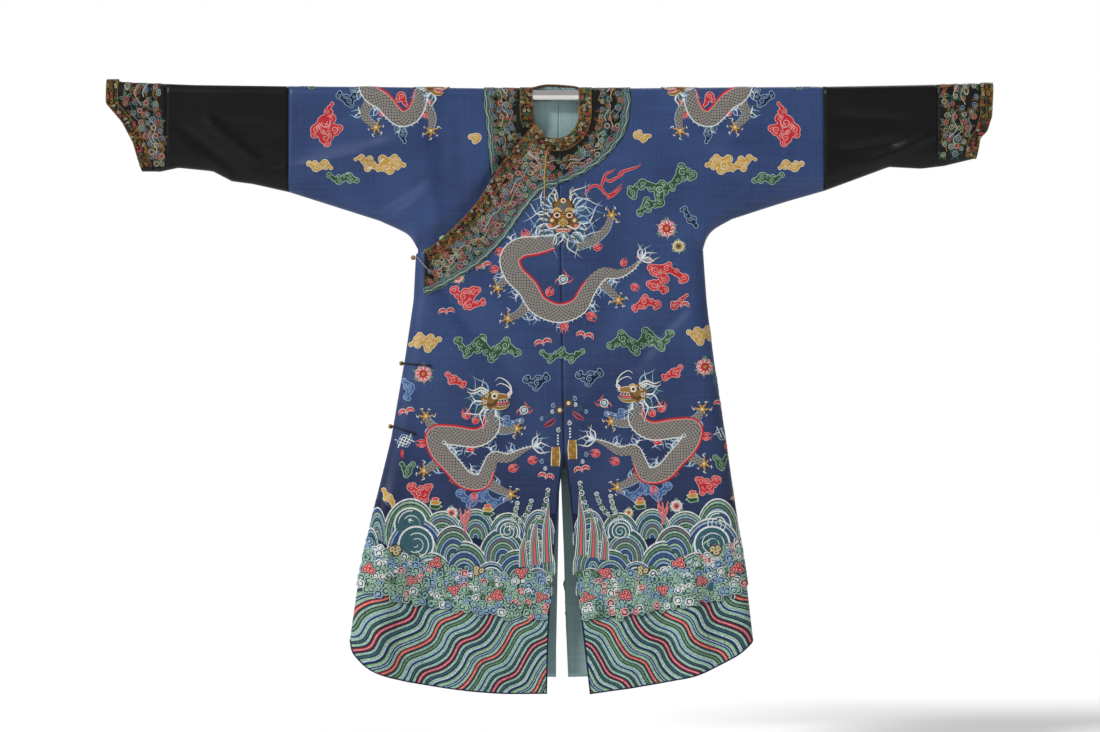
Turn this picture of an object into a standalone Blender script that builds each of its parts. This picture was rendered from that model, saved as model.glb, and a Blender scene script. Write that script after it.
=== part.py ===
"""A Chinese dragon robe, hung flat on a round metal rod that runs through its sleeves.

Metres, +Z up. The robe's front faces -Y, the wearer's left is +X, and the origin is the middle of
the rod. Every cloth piece is an open sheet worked out over the robe's flat outline: a place
(x, z) on the outline gets its depth y from robe_depth, and Solidify gives the sheet its wall.
"""
import math

import bmesh
import bpy
import numpy as np

COLLECTION_NAME = "dragon_robe_on_rod"

# Walls and gaps
CLOTH = 0.0016
TRIM = 0.0010
SEAM_GAP = 0.0003
FLAP_GAP = 0.0042
FLAP_DEPTH = 0.0120
LAY_GAP = 0.0005
FACING_LIFT = CLOTH / 2 + LAY_GAP + TRIM / 2
TRIM_LIFT = FACING_LIFT + LAY_GAP + TRIM

# Rod
ROD_RADIUS = 0.014
ROD_LEFT = -0.900
ROD_RIGHT = 0.870

# Seams and edges across the robe
SLEEVE_SEAM = {-1: 0.615, 1: 0.611}
CUFF_SEAM = {-1: 0.897, 1: 0.872}
SEAM_ROLL = 0.040
SLIT_TOP = -0.820
NECK_LEFT = -0.056
NECK_RIGHT = 0.050
NECK_MIDDLE = (NECK_LEFT + NECK_RIGHT) / 2
CENTRE_X = 0.004
NECK_STRAIGHT = -0.042
NECK_BOTTOM = -0.100
BACK_NECK_RISE = 0.010
RING_WIDTH = 0.029
BAND_WIDTH = 0.026
CUFF_BAND = 0.028

# Columns: x, z of the fold over the rod
SHOULDER_LINE = (
    (-1.034, 0.0360),
    (-0.989, 0.0300),
    (-0.830, 0.0240),
    (-0.600, 0.0210),
    (-0.400, 0.0195),
    (-0.170, 0.0165),
    (-0.056, 0.0154),
    (0.050, 0.0154),
    (0.170, 0.0165),
    (0.420, 0.0190),
    (0.600, 0.0200),
    (0.826, 0.0240),
    (0.997, 0.0280),
)

# Columns: z, distance from the middle of the side edge on the wearer's right and left
SIDE_EDGE = (
    (-1.250, 0.475, 0.450),
    (-1.110, 0.455, 0.434),
    (-0.960, 0.423, 0.412),
    (-0.790, 0.381, 0.388),
    (-0.600, 0.348, 0.359),
    (-0.470, 0.329, 0.343),
    (-0.353, 0.323, 0.335),
)

# Columns: distance from the middle, z of the lower edge of armpit, sleeve and cuff
UNDERARM = {
    -1: (
        (0.323, -0.353),
        (0.333, -0.329),
        (0.351, -0.313),
        (0.407, -0.287),
        (0.615, -0.221),
        (0.700, -0.202),
        (0.747, -0.196),
        (0.791, -0.173),
        (0.870, -0.165),
        (0.912, -0.174),
        (0.953, -0.172),
    ),
    1: (
        (0.335, -0.353),
        (0.344, -0.327),
        (0.362, -0.306),
        (0.402, -0.283),
        (0.517, -0.246),
        (0.614, -0.218),
        (0.717, -0.180),
        (0.763, -0.163),
        (0.837, -0.167),
        (0.888, -0.161),
        (0.963, -0.143),
    ),
}

# Columns: z, distance from the middle of the cuff's mouth
CUFF_MOUTH = {
    -1: ((-0.172, 0.953), (-0.109, 0.972), (-0.062, 0.997), (-0.019, 1.034), (0.036, 1.034)),
    1: ((-0.143, 0.963), (-0.100, 0.970), (-0.083, 0.986), (-0.049, 0.997), (0.028, 1.001)),
}

# Columns: x, z of the hem from the slit to the start of the side edge
FRONT_HEM = {
    -1: (
        (-0.023, -1.370),
        (-0.145, -1.369),
        (-0.297, -1.352),
        (-0.408, -1.325),
        (-0.462, -1.285),
        (-0.475, -1.250),
    ),
    1: (
        (0.075, -1.371),
        (0.190, -1.354),
        (0.307, -1.332),
        (0.403, -1.290),
        (0.440, -1.262),
        (0.450, -1.250),
    ),
}
BACK_HEM = {
    -1: ((-0.002, -1.340), (-0.200, -1.336), (-0.330, -1.320), (-0.430, -1.285), (-0.471, -1.250)),
    1: ((0.026, -1.340), (0.190, -1.334), (0.320, -1.315), (0.410, -1.280), (0.450, -1.250)),
}
UNDER_HEM = ((-0.050, -1.335), (-0.200, -1.332), (-0.330, -1.318), (-0.430, -1.284), (-0.471, -1.250))

# Columns: x, z of the slit's front and back edges, from the hem up
FRONT_SLIT = {
    -1: ((-0.023, -1.370), (-0.017, -1.187), (-0.001, -0.982), (0.008, -0.880), (0.0155, -0.820)),
    1: ((0.075, -1.371), (0.053, -1.174), (0.032, -0.944), (0.022, -0.860), (0.0165, -0.820)),
}
BACK_SLIT = {
    -1: ((-0.002, -1.340), (-0.001, -1.100), (0.002, -0.960), (0.0065, -0.870)),
    1: ((0.026, -1.340), (0.019, -1.170), (0.014, -0.960), (0.0080, -0.870)),
}

# Columns: x, z of the overlap's curved edge, from the armpit to the neck
OVERLAP_EDGE = (
    (-0.3225, -0.364),
    (-0.284, -0.345),
    (-0.230, -0.298),
    (-0.178, -0.239),
    (-0.127, -0.157),
    (-0.084, -0.104),
    (-0.050, -0.066),
)
# Columns: x, z of the lower edge of the embroidered facing on the overlap
FACING_EDGE = (
    (-0.293, -0.453),
    (-0.244, -0.427),
    (-0.183, -0.389),
    (-0.127, -0.335),
    (-0.084, -0.274),
    (-0.040, -0.222),
    (0.003, -0.205),
)
# The facing's plain end at the armpit, and the far sides of the outlines of the overlap's pieces
SATIN_END_X = -0.303
SATIN_END_LOW = -0.372
OVERLAP_CUT_TOP = -0.300
OVERLAP_CUT_LEFT = -0.100
OVERLAP_CUT_RIGHT = 0.030
# Columns: x, z of the facing's outer edge on the wearer's left shoulder, from the top down
SHOULDER_FACING = (
    (0.168, 0.060),
    (0.168, -0.020),
    (0.156, -0.085),
    (0.110, -0.144),
    (0.058, -0.181),
    (0.004, -0.205),
)
FACING_HALF_WIDTH = 0.168
FACING_BACK_DROP = 0.118

# Columns: z, half the depth of the hanging robe
HALF_DEPTH = (
    (-1.370, 0.0360),
    (-0.900, 0.0310),
    (-0.500, 0.0280),
    (-0.200, 0.0230),
    (-0.060, 0.0182),
    (0.000, 0.0174),
    (0.040, 0.0174),
)

# Columns: x and z of one end, x and z of the other, half width, height (a trough is below 0)
FRONT_FOLDS = (
    (-0.295, -0.370, -0.100, -0.660, 0.034, -0.0080),
    (-0.235, -0.370, -0.060, -0.600, 0.036, 0.0060),
    (0.300, -0.440, 0.120, -0.690, 0.034, -0.0070),
    (0.240, -0.440, 0.090, -0.620, 0.036, 0.0060),
    (-0.270, -0.080, -0.245, -0.280, 0.028, -0.0050),
    (0.030, -0.140, 0.045, -0.330, 0.024, -0.0045),
    (-0.580, -0.190, -0.330, -0.100, 0.028, 0.0050),
    (0.580, -0.185, 0.340, -0.120, 0.028, 0.0050),
    (-0.385, -0.930, -0.415, -1.320, 0.036, 0.0120),
    (-0.300, -1.120, -0.290, -1.370, 0.044, -0.0100),
    (0.290, -1.060, 0.320, -1.340, 0.034, 0.0110),
    (0.240, -1.140, 0.262, -1.350, 0.032, -0.0080),
    (0.395, -1.000, 0.405, -1.300, 0.034, -0.0070),
)
BACK_FOLDS = (
    (-0.290, -0.400, -0.110, -0.680, 0.036, -0.0070),
    (0.295, -0.410, 0.120, -0.700, 0.036, -0.0070),
    (-0.560, -0.180, -0.340, -0.110, 0.030, 0.0050),
    (0.560, -0.180, 0.340, -0.110, 0.030, 0.0050),
    (-0.330, -0.950, -0.350, -1.320, 0.040, 0.0100),
    (0.310, -0.980, 0.340, -1.320, 0.040, 0.0100),
    (-0.170, -1.050, -0.180, -1.340, 0.044, -0.0080),
    (0.180, -1.080, 0.190, -1.340, 0.044, -0.0080),
)

# Rows and columns of the sheets
SKIRT_ROWS = 7
BODY_ROWS = 8
NECK_CURVE_ROWS = 3
SHOULDER_ROWS = 6
ROLL_STEPS = 4
NECK_ROWS = NECK_CURVE_ROWS + ROLL_STEPS
SEAM_STEPS = 4
FRONT_MIDDLE = 5
BACK_MIDDLE = 3
OVERLAP_MIDDLE = 8
# Length of cloth that folds over the rod, on the body and down from the top of a sleeve
SIDE_OF_ROD = 0.018
SLEEVE_FOLD = 0.022

# Outlines that laid pieces are cut to
CUTTER_REACH = 0.120
ABOVE_SHOULDER = 0.060
PAST_CENTRE = 0.020
BACK_FOLD_Z = 0.012
BACK_CUT_BELOW = -0.300
BACK_CUT_MARGIN = 0.030
NECK_POINT_MARGIN = 0.0016
NECK_POINT_DEPTH = 0.0125
NECK_POINT_INNER = 0.0313
NECK_POINT_TOP = 0.0550
NECK_POINT_LOW = -0.0021
FLAP_CLEARANCE = 0.0025
# Columns: x, z below which pieces on the under flap end, outside the overlap's own edge
FLAP_CUT_START = ((-0.400, -0.165), (-0.140, -0.165))
FLAP_CUT_END = ((-0.020, -0.030), (0.100, -0.030), (0.100, -0.500), (-0.400, -0.500))
LINING_NECK = {"width": 0.080, "top": -0.003, "foot": -0.140}
LINING_SLIT = {"top": -0.850, "top_width": 0.130, "foot": -1.345, "foot_width": 0.145, "inner": 0.040}

# Ball buttons on the wearer's right side, and their cord loops
BUTTON_RADIUS = 0.0055
LOOP_RADIUS = 0.0013
# Columns: name, z of the ball, x and z of the loop's sewn end
BUTTONS = (
    ("armpit", -0.372, -0.292, -0.404),
    ("waist", -0.615, -0.290, -0.620),
    ("hip", -0.760, -0.325, -0.776),
)
LOOP_POINTS = 9
LOOP_LIFT = 0.0044
LOOP_HOOK = 0.0025
LOOP_START = 0.004


def table_column(rows, column):
    """One column of a table as an array."""
    return np.array([row[column] for row in rows])


def look_up(rows, value, column=1):
    """Column of a table, read straight between its rows, at value in its first column."""
    return np.interp(value, table_column(rows, 0), table_column(rows, column))


def roll(distance, width):
    """Quarter round of a folded edge: 0 at the edge, 1 where the cloth lies flat."""
    part = np.clip(distance / width, 0.0, 1.0)
    return np.sqrt(1.0 - (1.0 - part) ** 2)


def ease(value):
    """Smooth step from 0 at 0 to 1 at 1."""
    part = np.clip(value, 0.0, 1.0)
    return part * part * (3.0 - 2.0 * part)


def quarter_turns(steps):
    """Even angles from 0 to a right angle."""
    return np.linspace(0.0, math.pi / 2, steps + 1)


def shoulder_height(x):
    """Height of the fold over the rod at x."""
    return look_up(SHOULDER_LINE, x)


def side_distance(z, side, inset):
    """Distance of the side edge from the middle, with the flap's inset on the under layer."""
    edge = look_up(SIDE_EDGE, z, 1 if side < 0 else 2)
    return edge - inset * ease((-0.330 - z) / 0.024)


def seam_distance(x, z, inset):
    """Distance of a place in the outline from the side or underarm seam."""
    side = np.where(x < 0.0, -1, 1)
    out = np.abs(x)
    result = np.zeros_like(out)
    for one in (-1, 1):
        corner_out, corner_z = UNDERARM[one][0]
        own_inset = inset if one < 0 else 0.0
        below = side_distance(z, one, own_inset) - out
        beside = z - look_up(UNDERARM[one], out)
        around = np.hypot(np.maximum(corner_out - own_inset - out, 0.0), np.maximum(z - corner_z, 0.0))
        distance = np.where(z <= corner_z, below, np.where(out >= corner_out, beside, around))
        result = np.where(side == one, distance, result)
    return np.maximum(result, 0.0)


def fold_height(x, z, folds):
    """Sum of the folds: each is a soft ridge or trough along a straight line."""
    total = np.zeros_like(x)
    for x0, z0, x1, z1, half_width, height in folds:
        run_x, run_z = x1 - x0, z1 - z0
        along = np.clip(((x - x0) * run_x + (z - z0) * run_z) / (run_x**2 + run_z**2), 0.0, 1.0)
        away = np.hypot(x - x0 - along * run_x, z - z0 - along * run_z)
        total = total + height * np.exp(-((away / half_width) ** 2))
    return total


def under_overlap(x, z):
    """1 where the overlap hides the under flap, easing to 0 just above the overlap's edge."""
    below = (look_up(OVERLAP_EDGE, x) - z) * 0.7
    return ease((below + 0.040) / 0.036) * ease((-0.020 - x) / 0.010)


def robe_depth(x, z, layer):
    """Depth y of the sheet at (x, z): front layers lie towards -Y and the back towards +Y.

    Half the robe's depth plus its folds, times a quarter round over the rod and at the seam.
    """
    x = np.asarray(x, dtype=float)
    z = np.asarray(z, dtype=float)
    folds = BACK_FOLDS if layer == "back" else FRONT_FOLDS
    height = shoulder_height(x)
    folded = fold_height(x, z, folds)
    hidden = under_overlap(x, z) if layer == "under" else 0.0
    depth = look_up(HALF_DEPTH, z) + folded * (1.0 - hidden) - FLAP_DEPTH * hidden
    over_rod = roll(height - z, height)
    if layer == "back":
        half = (NECK_RIGHT - NECK_LEFT) / 2
        stand = np.sqrt(np.clip(1.0 - ((x - NECK_MIDDLE) / half) ** 2, 0.0, 1.0))
        over_rod = np.minimum(np.hypot(over_rod, stand), 1.0)
    inset = 0.0 if layer == "over" else FLAP_GAP
    depth = depth * over_rod * roll(seam_distance(x, z, inset), SEAM_ROLL)
    return depth if layer == "back" else -depth


def smooth_curve(points, count):
    """Points spread evenly along a smooth curve through the given ones."""
    rows = np.array(points, dtype=float)
    if len(rows) > 2:
        padded = np.vstack((2 * rows[0] - rows[1], rows, 2 * rows[-1] - rows[-2]))
        step = np.linspace(0.0, 1.0, 12, endpoint=False)[:, None]
        pieces = []
        for i in range(len(rows) - 1):
            a, b, c, d = padded[i : i + 4]
            square, cube = 2 * a - 5 * b + 4 * c - d, 3 * b - a - 3 * c + d
            pieces.append(0.5 * (2 * b + (c - a) * step + square * step**2 + cube * step**3))
        rows = np.vstack(pieces + [rows[-1]])
    length = np.concatenate(([0.0], np.cumsum(np.linalg.norm(np.diff(rows, axis=0), axis=1))))
    even = np.linspace(0.0, length[-1], count + 1)
    return np.stack([np.interp(even, length, rows[:, k]) for k in range(rows.shape[1])], axis=1)


def joined_rows(sections):
    """Curve sections (points, rows) laid end to end, with each shared end kept once.

    A section with no row count keeps its own points.
    """
    curves = [smooth_curve(points, rows) if rows else np.array(points) for points, rows in sections]
    return np.vstack([curves[0]] + [curve[1:] for curve in curves[1:]])


def line_fractions(length, middle, fold_length, fold_share):
    """Places along one line of a panel: dense where it folds over the rod and at its seam.

    fold_share is 1 for a line that starts on top of the rod, and 0 for one that starts beside it.
    """
    near = []
    if fold_length > 0.0:
        turn = quarter_turns(ROLL_STEPS)
        even = turn / (math.pi / 2)
        near = list(fold_length * (fold_share * (1.0 - np.cos(turn)) + (1.0 - fold_share) * even) / length)
    turn = quarter_turns(SEAM_STEPS)
    far = list(1.0 - SEAM_ROLL * (1.0 - np.cos(turn[::-1])) / length)
    if not near:
        near = [0.0]
        middle = middle + ROLL_STEPS
    between = list(np.linspace(near[-1], far[0], middle + 2)[1:-1])
    return np.array(near + between + far)


def half_panel(side, inner, hem, middle, inset):
    """Grid of (x, z) for half the body: lines run from the inner edge out to the seam.

    inner is the list of sections hem to slit top, slit top to neck, neck, shoulder line.
    The outer edge is the side, the armpit and the underarm. The lowest lines bend to the hem.
    """
    rim = joined_rows(inner)
    side_z = np.linspace(hem[-1][1], SLIT_TOP, 6)
    low = [(side * side_distance(z, side, inset), z) for z in side_z]
    armpit_z = UNDERARM[side][0][1]
    high_z = np.linspace(SLIT_TOP, armpit_z, 6)
    high = [(side * side_distance(z, side, inset), z) for z in high_z]
    arm = [(side * out, z) for out, z in UNDERARM[side] if out < SLEEVE_SEAM[side] - 0.01]
    arm[0] = (side * side_distance(armpit_z, side, inset), armpit_z)
    end = (side * (SLEEVE_SEAM[side] - SEAM_GAP / 2), float(look_up(UNDERARM[side], SLEEVE_SEAM[side])))
    outer = joined_rows(
        ((low, SKIRT_ROWS), (high, BODY_ROWS), (arm[:4], NECK_ROWS), (arm[3:] + [end], SHOULDER_ROWS))
    )
    dense_hem = smooth_curve(hem, 60)
    fractions = np.linspace(0.0, 1.0, 61)
    lines = []
    for row, (start, stop) in enumerate(zip(rim, outer)):
        length = np.linalg.norm(stop - start)
        slope = (start[1] - stop[1]) / length
        above = min(max(start[1], 0.0) / shoulder_height(start[0]), 1.0)
        reach = max(start[1], 0.0) + SIDE_OF_ROD * (1.0 - above)
        fold_length = reach / slope if row >= SKIRT_ROWS + BODY_ROWS else 0.0
        part = line_fractions(length, middle, fold_length, above)
        line = start + (stop - start) * part[:, None]
        if row < SKIRT_ROWS:
            bend = np.stack([np.interp(part, fractions, dense_hem[:, k]) for k in (0, 1)], axis=1)
            flat = dense_hem[0] + (dense_hem[-1] - dense_hem[0]) * part[:, None]
            line = line + (bend - flat) * (1.0 - row / SKIRT_ROWS) ** 2
        lines.append(line)
    return np.array(lines)


def sheet_points(grid, layer, closed=()):
    """Points of a grid of (x, z) with their depth; columns in closed lie in the seam plane."""
    points = np.stack([grid[..., 0], robe_depth(grid[..., 0], grid[..., 1], layer), grid[..., 1]], axis=-1)
    for column in closed:
        points[:, column, 1] = 0.0
    return points


def grid_faces(rows, columns, first, flip):
    """Quads of a grid of points numbered row by row from first."""
    faces = []
    for i in range(rows - 1):
        for j in range(columns - 1):
            a = first + i * columns + j
            quad = (a, a + 1, a + columns + 1, a + columns)
            faces.append(quad[::-1] if flip else quad)
    return faces


def sheet_object(name, grids, material):
    """One cloth piece: grids of points (points, flip) joined where they meet, then given a wall.

    The sheet is in triangles, so that a piece cut from a copy of it has the same facets.
    """
    vertices, faces = [], []
    for points, flip in grids:
        rows, columns = points.shape[:2]
        faces += grid_faces(rows, columns, len(vertices), flip)
        vertices += [tuple(point) for point in points.reshape(-1, 3)]
    mesh = bpy.data.meshes.new(name)
    mesh.from_pydata(vertices, [], faces)
    work = bmesh.new()
    work.from_mesh(mesh)
    bmesh.ops.remove_doubles(work, verts=work.verts, dist=0.00005)
    bmesh.ops.triangulate(work, faces=work.faces, quad_method="FIXED")
    work.to_mesh(mesh)
    work.free()
    piece = bpy.data.objects.new(name, mesh)
    parts.objects.link(piece)
    wall = piece.modifiers.new("cloth wall", "SOLIDIFY")
    wall.thickness = CLOTH
    wall.offset = 0.0
    wall.use_even_offset = False
    mesh.materials.append(material)
    mesh.shade_smooth()
    return piece


def finish(name, colour, roughness, metallic=0.0):
    """A Principled material of one colour."""
    material = bpy.data.materials.new(name)
    material.use_nodes = True
    shader = material.node_tree.nodes["Principled BSDF"]
    shader.inputs["Base Color"].default_value = (*colour, 1.0)
    shader.inputs["Roughness"].default_value = roughness
    shader.inputs["Metallic"].default_value = metallic
    return material


def neck_curve(side):
    """The neck's edge from the middle of its bottom up one side to the straight part."""
    edge = NECK_LEFT if side < 0 else NECK_RIGHT
    turn = quarter_turns(6)
    x = NECK_MIDDLE + (edge - NECK_MIDDLE) * np.sin(turn)
    z = NECK_STRAIGHT + (NECK_BOTTOM - NECK_STRAIGHT) * np.cos(turn)
    return list(zip(x, z))


def neck_side_rows(curve, edge):
    """Rows up one side of the neck: along its curve, then close together over the rod."""
    top = float(shoulder_height(edge))
    turn = quarter_turns(ROLL_STEPS)[1:]
    low = smooth_curve(list(curve) + [(edge, 0.0)], NECK_CURVE_ROWS)
    return [tuple(point) for point in low] + [(edge, top * math.sin(angle)) for angle in turn]


def shoulder_run(start, end):
    """Points on the shoulder line from start to end."""
    return [(x, float(shoulder_height(x))) for x in np.linspace(start, end, 6)]


def build_body(side, blue):
    """Half the robe: one length of silk from the front hem over the rod to the back hem."""
    neck_x = NECK_LEFT if side < 0 else NECK_RIGHT
    seam_x = side * (SLEEVE_SEAM[side] - SEAM_GAP / 2)
    shoulder = (shoulder_run(neck_x, seam_x), SHOULDER_ROWS)
    half_gap = side * SEAM_GAP / 2
    if side > 0:
        slit = FRONT_SLIT[1]
        bottom = neck_curve(1)
        start = (CENTRE_X + half_gap, bottom[0][1])
        front_inner = (
            (slit, SKIRT_ROWS),
            ((slit[-1], (0.010, -0.450), start), BODY_ROWS),
            (neck_side_rows([start] + bottom[2:], neck_x), None),
            shoulder,
        )
        hem = FRONT_HEM[1]
        layer = "over"
    else:
        low = UNDER_HEM[0]
        corner = (-0.0485, -0.150)
        front_inner = (
            ((low, (low[0], SLIT_TOP)), SKIRT_ROWS),
            (((low[0], SLIT_TOP), corner), BODY_ROWS),
            (neck_side_rows((corner, (-0.0485, -0.072), (-0.0550, NECK_STRAIGHT)), neck_x), None),
            shoulder,
        )
        hem = UNDER_HEM
        layer = "under"
    inset = FLAP_GAP if side < 0 else 0.0
    front = half_panel(side, front_inner, hem, FRONT_MIDDLE, inset)
    back_slit = BACK_SLIT[side]
    seam_foot = (back_slit[-1][0], SLIT_TOP)
    rise = float(shoulder_height(0.0)) + BACK_NECK_RISE
    seam_top = (CENTRE_X + half_gap, rise)
    turn = quarter_turns(NECK_ROWS)
    rim_x = NECK_MIDDLE + (neck_x - NECK_MIDDLE) * np.sin(turn)
    rim_z = shoulder_height(rim_x) + BACK_NECK_RISE * np.cos(turn) ** 2
    rim = [seam_top] + list(zip(rim_x, rim_z))[1:]
    back_inner = (
        (list(back_slit) + [seam_foot], SKIRT_ROWS),
        ((seam_foot, (0.006 + half_gap, -0.400), seam_top), BODY_ROWS),
        (rim, None),
        shoulder,
    )
    back = half_panel(side, back_inner, BACK_HEM[side], BACK_MIDDLE, inset)
    front_points = sheet_points(front, layer)
    back_points = sheet_points(back, "back")
    front_points[:, -1, 1] = 0.0
    back_points[:, -1, :] = front_points[:, -1, :]
    fold = SKIRT_ROWS + BODY_ROWS + NECK_ROWS
    front_points[fold:, 0, 1] = 0.0
    back_points[fold:, 0, :] = front_points[fold:, 0, :]
    name = "body_right" if side < 0 else "body_left"
    return sheet_object(name, ((front_points, side < 0), (back_points, side > 0)), blue)


def overlap_top():
    """The overlap's upper edge: curved from the armpit to the neck, then round the neck's bottom."""
    bottom = [point for point in neck_curve(-1)[::-1] if point[0] > -0.046]
    bottom[-1] = (CENTRE_X - SEAM_GAP / 2, bottom[-1][1])
    return list(OVERLAP_EDGE), bottom


def build_overlap(blue):
    """The outer front on the wearer's right, from the curved edge to the hem."""
    curved, bottom = overlap_top()
    fine_top = joined_rows(((curved, 60), ([curved[-1]] + bottom, 12)))
    fine_hem = smooth_curve(FRONT_HEM[-1][::-1], 72)
    mean_width = 0.40
    near = SEAM_ROLL * (1.0 - np.cos(quarter_turns(SEAM_STEPS))) / mean_width
    u_list = np.concatenate((near, np.linspace(near[-1], 1.0, OVERLAP_MIDDLE + 1)[1:]))
    spread = np.linspace(0.0, 1.0, 73)
    top = np.stack([np.interp(u_list, spread, fine_top[:, k]) for k in (0, 1)], axis=1)
    hem = np.stack([np.interp(u_list, spread, fine_hem[:, k]) for k in (0, 1)], axis=1)
    slit = list(FRONT_SLIT[-1])[::-1]
    centre = joined_rows((((top[-1], (0.0097, -0.450), slit[0]), BODY_ROWS), (slit, SKIRT_ROWS)))
    rows = BODY_ROWS + SKIRT_ROWS
    side_z = np.linspace(top[0][1], hem[0][1], rows + 1)
    side = np.stack([-side_distance(side_z, -1, 0.0), side_z], axis=1)
    side[0] = top[0]
    v = np.linspace(0.0, 1.0, rows + 1)[:, None, None]
    u = u_list[None, :, None]
    down = (1 - v) * top[None] + v * hem[None]
    across = (1 - u) * side[:, None] + u * centre[:, None]
    corners = (1 - u) * ((1 - v) * top[0] + v * hem[0]) + u * ((1 - v) * top[-1] + v * hem[-1])
    grid = down + across - corners
    return sheet_object("front_overlap", ((sheet_points(grid, "over"), False),), blue)


def tube_grid(side, start, end_of, rows, columns, layer):
    """Half a sleeve tube: rows along the arm, columns from the shoulder fold to the underarm.

    Each row's x and z settle in a few rounds, because a tube's end may slant with z.
    """
    drop = SLEEVE_FOLD * (1.0 - np.cos(quarter_turns(ROLL_STEPS)))
    rise = SEAM_ROLL * (1.0 - np.cos(quarter_turns(SEAM_STEPS)[::-1]))
    middle = np.linspace(0.0, 1.0, columns + 2)[1:-1]
    share = np.concatenate([np.zeros_like(drop), middle, np.ones_like(rise)])
    fixed = np.concatenate([-drop, np.zeros_like(middle), rise])
    between = np.concatenate([np.zeros_like(drop), np.ones_like(middle), np.zeros_like(rise)])
    part = np.linspace(0.0, 1.0, rows + 1)[:, None]
    x = np.full((rows + 1, len(share)), start)
    for _ in range(3):
        high = look_up(SHOULDER_LINE, side * x) - SLEEVE_FOLD * between
        low = look_up(UNDERARM[side], x) + SEAM_ROLL * between
        z = high + (low - high) * share + fixed
        x = start + (end_of(z) - start) * part
    return sheet_points(np.stack([side * x, z], axis=-1), layer, closed=(0, -1))


def straight_end(side):
    """End of the black sleeve: the straight seam to the cuff."""
    return lambda z: np.full_like(z, CUFF_SEAM[side] - SEAM_GAP / 2)


def mouth_end(side):
    """End of the cuff: its slanting mouth."""
    return lambda z: look_up(CUFF_MOUTH[side], z)


def build_tube(name, side, start, end_of, rows, columns, material):
    """A sleeve or cuff: front and back joined along the shoulder fold and the underarm."""
    front = tube_grid(side, start, end_of, rows, columns, "over" if side > 0 else "under")
    back = tube_grid(side, start, end_of, rows, columns, "back")
    grids = ((front, side > 0), (back, side < 0))
    return sheet_object(name, grids, material)


def prism(name, outline, start_y, end_y):
    """Cutter: a flat outline of (x, z) drawn out along Y."""
    work = bmesh.new()
    corners = [work.verts.new((x, start_y, z)) for x, z in outline]
    face = work.faces.new(corners)
    moved = bmesh.ops.extrude_face_region(work, geom=[face])["geom"]
    for item in moved:
        if isinstance(item, bmesh.types.BMVert):
            item.co.y = end_y
    bmesh.ops.recalc_face_normals(work, faces=work.faces)
    mesh = bpy.data.meshes.new(name)
    work.to_mesh(mesh)
    work.free()
    cutter = bpy.data.objects.new(name, mesh)
    cutters.objects.link(cutter)
    cutter.hide_render = True
    cutter.display_type = "WIRE"
    return cutter


def applied_piece(name, panel, lift, material, keep, remove=()):
    """A piece laid on a panel: the panel's own sheet moved out by lift and cut to its outline.

    keep and remove are prisms; the piece is what lies in every keep and in no remove.
    """
    mesh = panel.data.copy()
    mesh.name = name
    work = bmesh.new()
    work.from_mesh(mesh)
    work.normal_update()
    outward = [vertex.normal.copy() for vertex in work.verts]
    for _ in range(3):
        beside = [[outward[edge.other_vert(v).index] for edge in v.link_edges] for v in work.verts]
        outward = [sum(near, own).normalized() for near, own in zip(beside, outward)]
    for vertex, direction in zip(work.verts, outward):
        vertex.co = vertex.co + direction * lift
    work.to_mesh(mesh)
    work.free()
    mesh.materials.clear()
    mesh.materials.append(material)
    piece = bpy.data.objects.new(name, mesh)
    parts.objects.link(piece)
    wall = piece.modifiers.new("wall", "SOLIDIFY")
    wall.thickness = TRIM
    wall.offset = 0.0
    for operation, tools in (("DIFFERENCE", remove), ("INTERSECT", keep)):
        for tool in tools:
            cut = piece.modifiers.new(tool.name, "BOOLEAN")
            cut.operation = operation
            cut.object = tool
    return piece


def neck_band_outline(side, width):
    """Outline over one side of the neck, out to a band of the given width round its edge."""
    edge = NECK_LEFT if side < 0 else NECK_RIGHT
    turn = quarter_turns(8)[::-1]
    x = NECK_MIDDLE + (edge + side * width - NECK_MIDDLE) * np.sin(turn)
    z = NECK_STRAIGHT + (NECK_BOTTOM - width - NECK_STRAIGHT) * np.cos(turn)
    return [(edge + side * width, ABOVE_SHOULDER)] + list(zip(x, z))


def back_cut_outline(side, reach, drop):
    """Outline of what is cut away on the back: all below a curve that drops towards the middle."""
    turn = quarter_turns(8)[::-1]
    x = NECK_MIDDLE + (side * reach - NECK_MIDDLE) * np.sin(turn)
    z = BACK_FOLD_Z - drop * np.cos(turn)
    outside = side * (reach + BACK_CUT_MARGIN)
    inside = -side * PAST_CENTRE
    below = [(inside, z[-1]), (inside, BACK_CUT_BELOW), (outside, BACK_CUT_BELOW)]
    return [(outside, BACK_FOLD_Z)] + list(zip(x, z)) + below


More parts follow.
